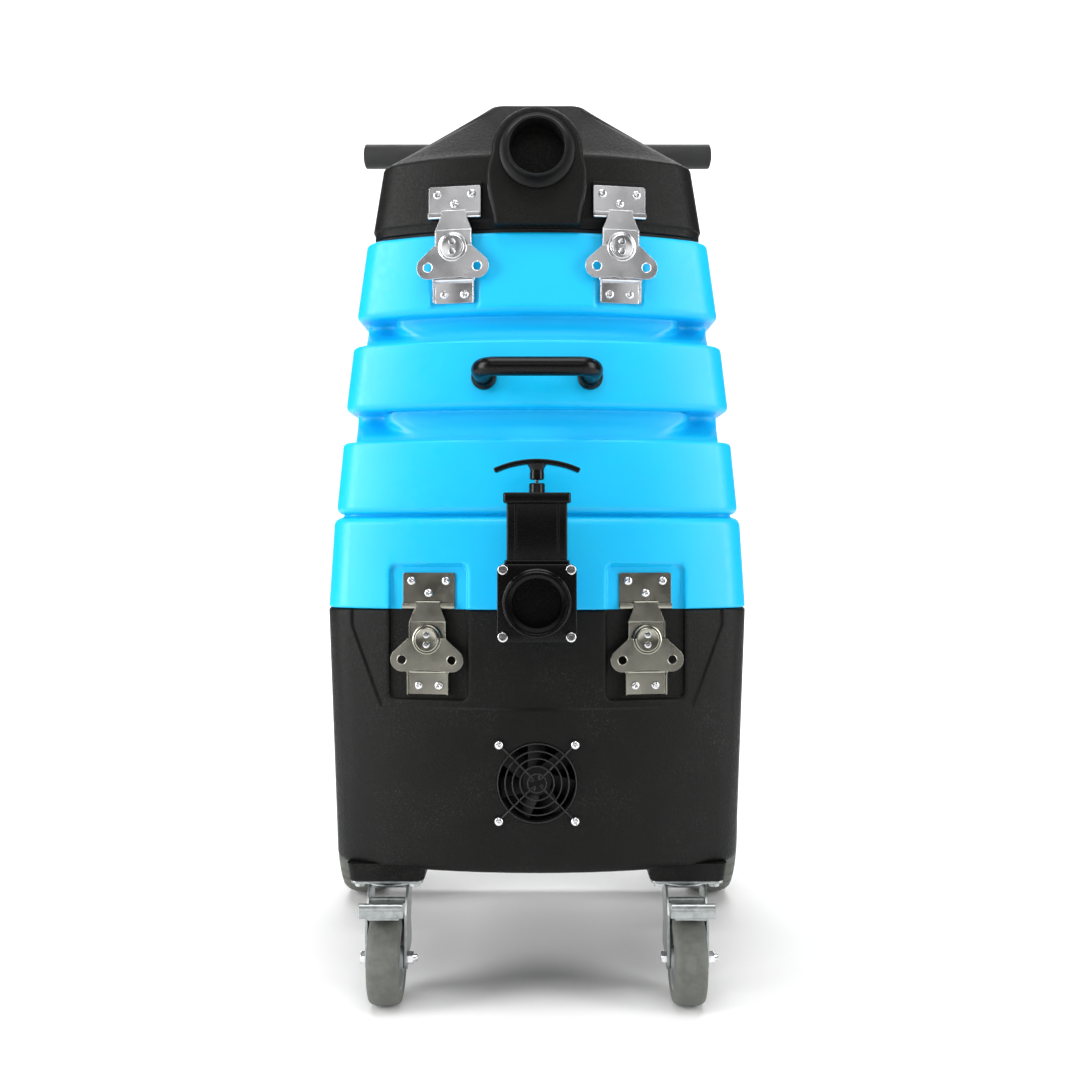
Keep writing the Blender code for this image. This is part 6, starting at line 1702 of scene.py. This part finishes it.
class CLEANER_OT_castors(bpy.types.Operator):
    """Make the two braked swivel castors"""
    bl_idname = "cleaner.castors"
    bl_label = "Castors"

    def execute(self, context):
        """Build plates, races, forks, pedals, wheels and bolts."""
        zinc = "blue_zinc_plated_steel"
        for side, word in SIDES:
            x, y = side * CASTOR_X, CASTOR_Y
            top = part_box("castor_plate_" + word)[1].z
            plate = bmesh.new()
            slab(plate, rounded((x - 0.040, y - 0.042), (x + 0.040, y + 0.042), 7.0 * MM), 'Z',
                 top - 3.0 * MM, top,
                 0.6 * MM)
            race = bmesh.new()
            spun(race, 'Z', (x, y), [(0.0300, top - 2.5 * MM), (0.0295, top - 4.2 * MM),
                                     (0.0280, top - 5.6 * MM),
                                     (0.0265, top - 6.7 * MM), (0.0050, top - 6.9 * MM)], 64)
            pin = bmesh.new()
            spun(pin, 'Z', (x, y), [(0.0050, top - 4.0 * MM), (0.0050, 0.1250), (0.0080, 0.1250),
                                    (0.0080, 0.1215),
                                    (0.0070, 0.1203)], 32)
            piece("castor_top_plate_" + word, gathered([plate, race, pin]), zinc, "base",
                  ("castor_plate_" + word,),
                  angle=30.0)
            bolts, slots = [], []
            for bx in (-1, 1):
                for by in (-1, 1):
                    spot = (x + bx * 0.0305, y + by * 0.0315, top - 3.0 * MM)
                    down = Matrix.Translation(spot) @ Matrix.Rotation(math.radians(90.0), 4, 'X')
                    bolts.append(hex_head(down, 6.6 * MM, 4.6 * MM))
                    washer = bmesh.new()
                    spun(washer, 'Z', (spot[0], spot[1]),
                         [(0.0078, spot[2] - 1.2 * MM), (0.0078, spot[2] + 0.2 * MM)], 32)
                    slots.append(washer)
            piece("castor_bolts_" + word, gathered(bolts + slots), zinc, "base")

            fork_body = "castor_fork_" + word
            crown = bmesh.new()
            spun(crown, 'Z', (x, y), [(0.0250, 0.1255), (0.0290, 0.1260), (0.0302, 0.1275), (0.0300, 0.1292),
                                      (0.0280, 0.1295)], 64)
            bridge = bmesh.new()
            slab(bridge, rounded((x - 0.0230, y - 0.024), (x + 0.0230, y + 0.020), 3.0 * MM), 'Z', 0.1245,
                 0.1270,
                 0.5 * MM)
            piece("castor_fork_crown_" + word, gathered([crown, bridge]), zinc, fork_body,
                  ("castor_fork_" + word,))
            piece("castor_fork_legs_" + word, gathered([fork_leg(side, -1), fork_leg(side, 1)]), zinc,
                  fork_body,
                  edge=0.5 * MM)
            axle = bmesh.new()
            axle_y, axle_z = CASTOR_AXLE
            spun(axle, 'X', CASTOR_AXLE, [(0.0034, x - 0.0232), (0.0040, x - 0.0228), (0.0040, x + 0.0335),
                                          (0.0034, x + 0.0342)], 28)
            out = Matrix.Rotation(math.radians(90.0), 4, 'Z')
            bolt = hex_head(Matrix.Translation((x + 0.0232, axle_y, axle_z)) @ out, 7.2 * MM, 6.6 * MM)
            back = Matrix.Rotation(math.radians(-90.0), 4, 'Z')
            head = hex_head(Matrix.Translation((x - 0.0232, axle_y, axle_z)) @ back, 7.0 * MM, 5.8 * MM)
            piece("castor_axle_bolt_" + word, gathered([axle, bolt, head]), "bright_chromed_steel", fork_body,
                  ("castor_axle_" + word,))

            tyre, hub = castor_wheel(side)
            piece("castor_tyre_" + word, tyre, "grey_tyre_rubber", "castor_wheel_" + word,
                  ("castor_wheel_" + word,))
            piece("castor_hub_" + word, hub, "grey_moulded_nylon", "castor_wheel_" + word)

            body = "brake_" + word
            pivot_y, pivot_z = -0.222, 0.1125
            rocker = bmesh.new()
            spun(rocker, 'X', (pivot_y, pivot_z), [(0.0030, x - 0.0196), (0.0035, x - 0.0190),
                                                   (0.0035, x + 0.0190), (0.0030, x + 0.0196)], 28)
            arm = bmesh.new()
            path = [(pivot_y, 0.1110), (-0.2720, 0.1110)] + arc((-0.2780, 0.1170), 0.0060, -60.0, -175.0, 8)
            path += [(-0.2858, 0.1235)]
            prism(arm, ribbon(path, 2.6 * MM), 'X', x - 0.0185, x + 0.0185)
            shoe = bmesh.new()
            slab(shoe, rounded((-0.2640, 0.1015), (-0.2520, 0.1105), 1.5 * MM), 'X', x - 0.0170,
                 x + 0.0170, 0.8 * MM)
            lip = bmesh.new()
            section = (arc((-0.2850, 0.1225), 0.0042, 60.0, 235.0, 10) + [(-0.2855, 0.1105),
                                                                          (-0.2800, 0.1092),
                                                                        (-0.2786, 0.1120), (-0.2800, 0.1240)])
            prism(lip, section, 'X', x - 0.0240, x + 0.0240)
            piece("brake_pedal_arm_" + word, gathered([rocker, arm, shoe]), zinc, body,
                  ("brake_pedal_" + word,),
                  edge=0.4 * MM)
            piece("brake_pedal_lip_" + word, lip, zinc, body, edge=1.0 * MM, segments=3)
        return {'FINISHED'}


# ---------------------------------------------------------------- rear wheels

def rear_tyre(x, notches):
    """Large tyre whose shoulders are cut by a row of notches on each side."""
    wide, radius = 0.031, WHEEL_RADIUS
    shape = bmesh.new()
    steps = notches * 8
    profile = [(0.084, -0.0255), (0.088, -0.0285), (0.104, -wide), (0.114, -wide + 0.5 * MM),
               (0.1195, -wide + 2.5 * MM),
               (0.1235, -0.0235), (0.1258, -0.0175), (0.1266, -0.0120), (radius, -0.0060)]
    profile += [(r, -along) for r, along in profile[::-1]]
    deep = {4: 0.2, 5: 1.0, 6: 1.0, 7: 0.7, 10: 0.7, 11: 1.0, 12: 1.0, 13: 0.2}
    rings = []
    for k, (r, along) in enumerate(profile):
        row = []
        for i in range(steps):
            phase = i % 8
            if k >= len(profile) // 2:
                phase = (i + 4) % 8
            cut = {0: 1.0, 1: 1.0, 7: 0.0}.get(phase, 0.0) * deep.get(k, 0.0) * 2.6 * MM
            angle = 2.0 * math.pi * i / steps
            row.append((x + along, WHEEL_Y + (r - cut) * math.cos(angle),
                        WHEEL_RADIUS + (r - cut) * math.sin(angle)))
        rings.append(row)
    loft(shape, rings, ends=False)
    return shape


def rear_hub(x, spokes):
    """Moulded wheel centre: rim, dished web with ribs, and a hub."""
    centre = (WHEEL_Y, WHEEL_RADIUS)
    shape = bmesh.new()
    profile = [(0.0086, 0.0188), (0.0200, 0.0188), (0.0218, 0.0175), (0.0225, 0.0100), (0.0260, 0.0060),
               (0.0720, 0.0050), (0.0765, 0.0090), (0.0785, 0.0235), (0.0800, 0.0262), (0.0850, 0.0262)]
    profile += [(r, -along) for r, along in profile[::-1]]
    ring(shape, 'X', centre, [(r, x + along) for r, along in profile], 96)
    parts = [shape]
    for i in range(spokes):
        for way in (-1, 1):
            rib = bmesh.new()
            outline = [(0.0210, 0.0), (0.0210, 0.0150), (0.0500, 0.0095), (0.0775, 0.0190), (0.0775, 0.0)]
            prism(rib, [(r, way * along) for r, along in outline], 'Z', -1.6 * MM, 1.6 * MM)
            turn = (Matrix.Translation((x, WHEEL_Y, WHEEL_RADIUS))
                    @ Matrix.Rotation(2.0 * math.pi * i / spokes, 4,
                                      'X') @ Matrix.Rotation(math.radians(90.0), 4, 'Z')
                    @ Matrix.Diagonal((1.0, -1.0, 1.0, 1.0)))
            parts.append(moved(rib, turn))
    return gathered(parts)


class CLEANER_OT_wheels(bpy.types.Operator):
    """Make the two large rear wheels and their axle"""
    bl_idname = "cleaner.wheels"
    bl_label = "Rear wheels"

    def execute(self, context):
        """Build tyres and centres, and finish the axle."""
        sizes = context.scene.cleaner_sizes
        for side, word in SIDES:
            x = side * WHEEL_X
            body = "rear_wheel_" + word
            piece("rear_tyre_" + word, rear_tyre(x, sizes.tyre_notches), "grey_tyre_rubber", body,
                  (body,), angle=42.0)
            piece("rear_wheel_centre_" + word, rear_hub(x, 8), "grey_moulded_nylon", body, edge=0.0)
        refinish("rear_axle", "blue_zinc_plated_steel", 0.4 * MM)
        return {'FINISHED'}


# ---------------------------------------------------------------- hinges, back panel and inside

class CLEANER_OT_back(bpy.types.Operator):
    """Finish the hinges, the switch panel and the power inlet at the back"""
    bl_idname = "cleaner.back"
    bl_label = "Hinges and switch panel"

    def execute(self, context):
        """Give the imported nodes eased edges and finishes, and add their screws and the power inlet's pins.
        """
        for node in ("tank_hinge_leaf_base", "tank_hinge_leaf_tank", "lid_hinge_leaf_tank",
                     "lid_hinge_leaf_lid"):
            refinish(node, "blue_zinc_plated_steel", 0.35 * MM)
        for node, body, rise in (("tank_hinge_leaf_base", "base", -1), ("tank_hinge_leaf_tank", "tank", 1),
                                 ("lid_hinge_leaf_tank", "tank", -1), ("lid_hinge_leaf_lid", "lid", 1)):
            low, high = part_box(node)
            z = low.z + 9.0 * MM if rise < 0 else high.z - 9.0 * MM
            face = REAR_Y + 2.3 * MM
            screws = [pan_head(facing(x, face, z, math.pi), 4.2 * MM, 2.2 * MM, 0.5 + 9.0 * x)
                      for x in (-0.045, -0.015, 0.015, 0.045)]
            piece(node + "_screws", gathered(screws), "bright_chromed_steel", body, angle=30.0)
        refinish("switch_panel", "black_moulded_abs", 0.5 * MM)
        refinish("power_inlet", "black_moulded_abs", 0.5 * MM)
        low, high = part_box("switch_panel")
        middle = (low.z + high.z) / 2.0
        screws = [pan_head(facing(x, high.y, z, math.pi), 3.6 * MM, 2.0 * MM, 8.0 * x)
                  for x in (low.x + 6.5 * MM, high.x - 6.5 * MM) for z in (low.z + 6.5 * MM,
                                                                           high.z - 6.5 * MM)]
        piece("switch_panel_screws", gathered(screws), "bright_chromed_steel", "base", angle=30.0)
        pins = []
        inlet_low, inlet_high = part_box("power_inlet")
        inlet_x = (inlet_low.x + inlet_high.x) / 2.0
        for dx, dz in ((-6.0 * MM, -1.5 * MM), (6.0 * MM, -1.5 * MM), (0.0, 3.0 * MM)):
            pin = bmesh.new()
            slab(pin, rounded((inlet_x + dx - 1.0 * MM, middle + dz - 2.0 * MM),
                              (inlet_x + dx + 1.0 * MM, middle + dz + 2.0 * MM), 0.3 * MM, 2), 'Y',
                 REAR_Y - 0.0145, REAR_Y - 1.0 * MM, 0.4 * MM)
            pins.append(pin)
        piece("power_inlet_pins", gathered(pins), "nickel_plated_steel", "base")
        for node in ("rocker_vacuum", "rocker_pump"):
            refinish(node, "red_moulded_polycarbonate", 0.5 * MM)
        return {'FINISHED'}


class CLEANER_OT_inside(bpy.types.Operator):
    """Finish the motor, pump and standpipe inside the machine"""
    bl_idname = "cleaner.inside"
    bl_label = "Inside pieces"

    def execute(self, context):
        """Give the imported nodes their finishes."""
        refinish("vac_motor", "cast_aluminium", 0.6 * MM)
        refinish("solution_pump", "cast_aluminium", 0.6 * MM)
        refinish("standpipe", "white_extruded_pvc", 0.4 * MM)
        return {'FINISHED'}


# ---------------------------------------------------------------- stage

PAPER_REACH = 3.0
PAPER_HEIGHT = 8.0
REAR_CURVE_Y = 3.2
CURVE_RADIUS = 1.6


def area_light(name, place, aim, size, power, tint):
    """A soft box that looks at a point."""
    lamp = bpy.data.lights.new(name, 'AREA')
    lamp.shape = 'RECTANGLE'
    lamp.size, lamp.size_y = size
    lamp.energy = power
    lamp.color = tint
    made = bpy.data.objects.new(name, lamp)
    made.location = place
    made.rotation_euler = (Vector(aim) - Vector(place)).to_track_quat('-Z', 'Y').to_euler()
    bpy.context.scene.collection.objects.link(made)
    return made


class CLEANER_OT_stage(bpy.types.Operator):
    """Make the pale floor that curves up behind, the soft lights and the camera"""
    bl_idname = "cleaner.stage"
    bl_label = "Stage"

    def execute(self, context):
        """Build the sweep, the lights, the world and the camera."""
        stage = context.scene.cleaner_stage
        rise = arc((REAR_CURVE_Y, CURVE_RADIUS), CURVE_RADIUS, -90.0, 0.0, 16)
        profile = [(-PAPER_REACH, 0.0)] + rise + [(REAR_CURVE_Y + CURVE_RADIUS, PAPER_HEIGHT)]
        shape = bmesh.new()
        rows = [[shape.verts.new((x, y, z - 0.2 * MM)) for y, z in profile]
                for x in (-PAPER_REACH, PAPER_REACH)]
        for i in range(len(profile) - 1):
            shape.faces.new((rows[0][i], rows[1][i], rows[1][i + 1], rows[0][i + 1]))
        mesh = bpy.data.meshes.new("studio_sweep")
        shape.to_mesh(mesh)
        shape.free()
        mesh.shade_smooth()
        mesh.materials.append(look("matt_studio_paper"))
        sweep = bpy.data.objects.new("studio_sweep", mesh)
        context.scene.collection.objects.link(sweep)

        world = bpy.data.worlds.new("studio_air")
        world.use_nodes = True
        tree = world.node_tree
        sky = tree.nodes["Background"]
        sky.inputs["Color"].default_value = (1.0, 1.0, 1.0, 1.0)
        # White where it is seen straight on, and dim as a light
        seen = add(tree, "ShaderNodeLightPath", {}, {}).outputs["Is Camera Ray"]
        strength = remap(tree, seen, stage.fill, 1.0, 0.0, 1.0)
        tree.links.new(strength, sky.inputs["Strength"])
        context.scene.world = world

        middle = (0.0, 0.0, 0.55)
        key = stage.key
        white = (1.0, 1.0, 1.0)
        area_light("soft_box_left", (-2.5, -1.25, 1.25), middle, (1.2, 2.4), key * 1.35, white)
        area_light("soft_box_right", (2.5, -1.35, 1.25), middle, (1.2, 2.4), key * 0.95, white)
        area_light("soft_box_top", (0.0, -0.9, 3.0), middle, (2.2, 1.6), key * 0.80, white)
        area_light("soft_box_front", (0.0, -3.4, 2.1), middle, (3.2, 1.4), key * 0.26, white)
        area_light("backdrop_wash", (0.0, 2.2, 4.4), (0.0, 4.6, 1.4), (6.0, 1.2), key * 5.0, white)

        camera = bpy.data.cameras.new("studio_camera")
        camera.lens = stage.lens
        camera.sensor_width = 36.0
        made = bpy.data.objects.new("studio_camera", camera)
        made.location = stage.camera_place
        made.rotation_euler = (math.radians(90.0), 0.0, 0.0)
        context.scene.collection.objects.link(made)
        context.scene.camera = made
        context.scene.view_settings.view_transform = 'Standard'
        return {'FINISHED'}


# ---------------------------------------------------------------- properties and panel

def tint(name, description, value):
    """A colour property from an sRGB hex value."""
    return FloatVectorProperty(name=name, description=description, subtype='COLOR', size=3, min=0.0, max=1.0,
                               default=linear(value))


def length(name, description, usual, least, most):
    """A length property whose values are given in millimetres."""
    return FloatProperty(name=name, description=description, default=usual * MM, min=least * MM,
                         max=most * MM, subtype='DISTANCE', unit='LENGTH')


class CleanerSizes(bpy.types.PropertyGroup):
    """Sizes of the moulded edges and small hardware."""
    lid_crease: length("Lid crease", "Radius of the crease between the lid's wall and slopes", 7.0, 2.0, 9.0)
    tower_edge: length("Tower edge", "Rounding of the inlet tower's front edge", 5.0, 1.0, 8.0)
    sheet_edge: length("Sheet edge", "Rounding of the latches' pressed sheet edges", 0.35, 0.1, 0.6)
    screw_head: length("Screw head", "Diameter of the latches' pan-head screws", 9.4, 6.0, 10.0)
    guard_wire: length("Guard wire", "Diameter of the fan guard's wire", 1.8, 1.0, 2.2)
    tyre_notches: IntProperty(name="Tyre notches", description="Notches round each shoulder of a rear tyre",
                              default=40, min=12, max=80)


class CleanerColours(bpy.types.PropertyGroup):
    """Body colours of the finishes."""
    black_shell: tint("Black shell", "Body colour of the base and lid", "#0E0E0D")
    # Painted highlight grey for the tops of the base's and lid's grain; the seal's foam cells take it too
    black_grain: tint("Black shell grain", "Chafed tops of the base's and lid's grain", "#343432")
    cyan_shell: tint("Cyan shell", "Body colour of the tank", "#00B4EA")
    cyan_light: tint("Cyan shell, cloudy", "Paler clouds in the tank's colour", "#08BEF0")
    gloss_black: tint("Gloss black", "Drain valve and grab handle", "#040404")
    moulded_black: tint("Moulded black", "Fan, inlet cuff and switch panel", "#0E0E0E")
    grip: tint("Grip", "Vinyl of the push bar", "#202020")
    # Painted shade and reflection: a darker, tan copy of the bright nickel, for the lower latches
    nickel: tint("Nickel", "Lower latches", "#A8A69A")
    bright_nickel: tint("Bright nickel", "Upper latches and bright screws", "#E8E8EA")
    zinc: tint("Zinc", "Castors, hinges and bolts", "#B4B9B8")
    tyre: tint("Tyre", "Grey rubber of the castors and wheels", "#63655F")
    hub: tint("Hub", "Nylon centres of the castors and wheels", "#8E9192")
    pvc: tint("Pipe", "Standpipe in the tank", "#E4E2DC")
    rocker: tint("Rocker", "Rocker switches", "#C4161C")
    backdrop: tint("Backdrop", "Studio paper", "#F7F7F7")


class CleanerStage(bpy.types.PropertyGroup):
    """Lights and camera."""
    key: FloatProperty(name="Key power", description="Power of each side soft box", default=62.0, min=0.0,
                       unit='POWER')
    fill: FloatProperty(name="Fill", description="Strength of the studio's stray light", default=0.10,
                        min=0.0)
    lens: FloatProperty(name="Lens", description="Focal length on a 36 mm sensor", default=41.75, min=10.0,
                        unit='CAMERA')
    camera_place: FloatVectorProperty(name="Camera place", description="Where the camera stands",
                                      default=(0.0016, -1.620, 0.517), size=3,
                                      subtype='TRANSLATION', unit='LENGTH')


class CLEANER_PT_panel(bpy.types.Panel):
    """Buttons and settings in the sidebar"""
    bl_idname = "CLEANER_PT_panel"
    bl_label = "Carpet cleaner"
    bl_space_type = 'VIEW_3D'
    bl_region_type = 'UI'
    bl_category = "Carpet cleaner"

    def draw(self, context):
        """List the operators and the properties."""
        layout = self.layout
        for operator in OPERATORS:
            layout.operator(operator.bl_idname)
        for name in ("cleaner_sizes", "cleaner_colours", "cleaner_stage"):
            group = getattr(context.scene, name)
            box = layout.box()
            for key in group.__annotations__:
                box.prop(group, key)


OPERATORS = (
    CLEANER_OT_stage, CLEANER_OT_base, CLEANER_OT_tank, CLEANER_OT_lid, CLEANER_OT_latches,
    CLEANER_OT_valve, CLEANER_OT_handles, CLEANER_OT_fan, CLEANER_OT_castors, CLEANER_OT_wheels,
    CLEANER_OT_back, CLEANER_OT_inside,
)
GROUPS = (CleanerSizes, CleanerColours, CleanerStage)


def register():
    """Register the classes and hang the settings on the scene."""
    for item in GROUPS + OPERATORS + (CLEANER_PT_panel,):
        bpy.utils.register_class(item)
    bpy.types.Scene.cleaner_sizes = PointerProperty(type=CleanerSizes)
    bpy.types.Scene.cleaner_colours = PointerProperty(type=CleanerColours)
    bpy.types.Scene.cleaner_stage = PointerProperty(type=CleanerStage)


def unregister():
    """Take the settings and classes away again."""
    del bpy.types.Scene.cleaner_stage
    del bpy.types.Scene.cleaner_colours
    del bpy.types.Scene.cleaner_sizes
    for item in (GROUPS + OPERATORS + (CLEANER_PT_panel,))[::-1]:
        bpy.utils.unregister_class(item)


def main():
    """Build everything."""
    register()
    bpy.ops.cleaner.stage()
    bpy.ops.cleaner.base()
    bpy.ops.cleaner.tank()
    bpy.ops.cleaner.lid()
    bpy.ops.cleaner.latches()
    bpy.ops.cleaner.valve()
    bpy.ops.cleaner.handles()
    bpy.ops.cleaner.fan()
    bpy.ops.cleaner.castors()
    bpy.ops.cleaner.wheels()
    bpy.ops.cleaner.back()
    bpy.ops.cleaner.inside()
    bpy.context.view_layer.update()


if __name__ == "__main__":
    main()
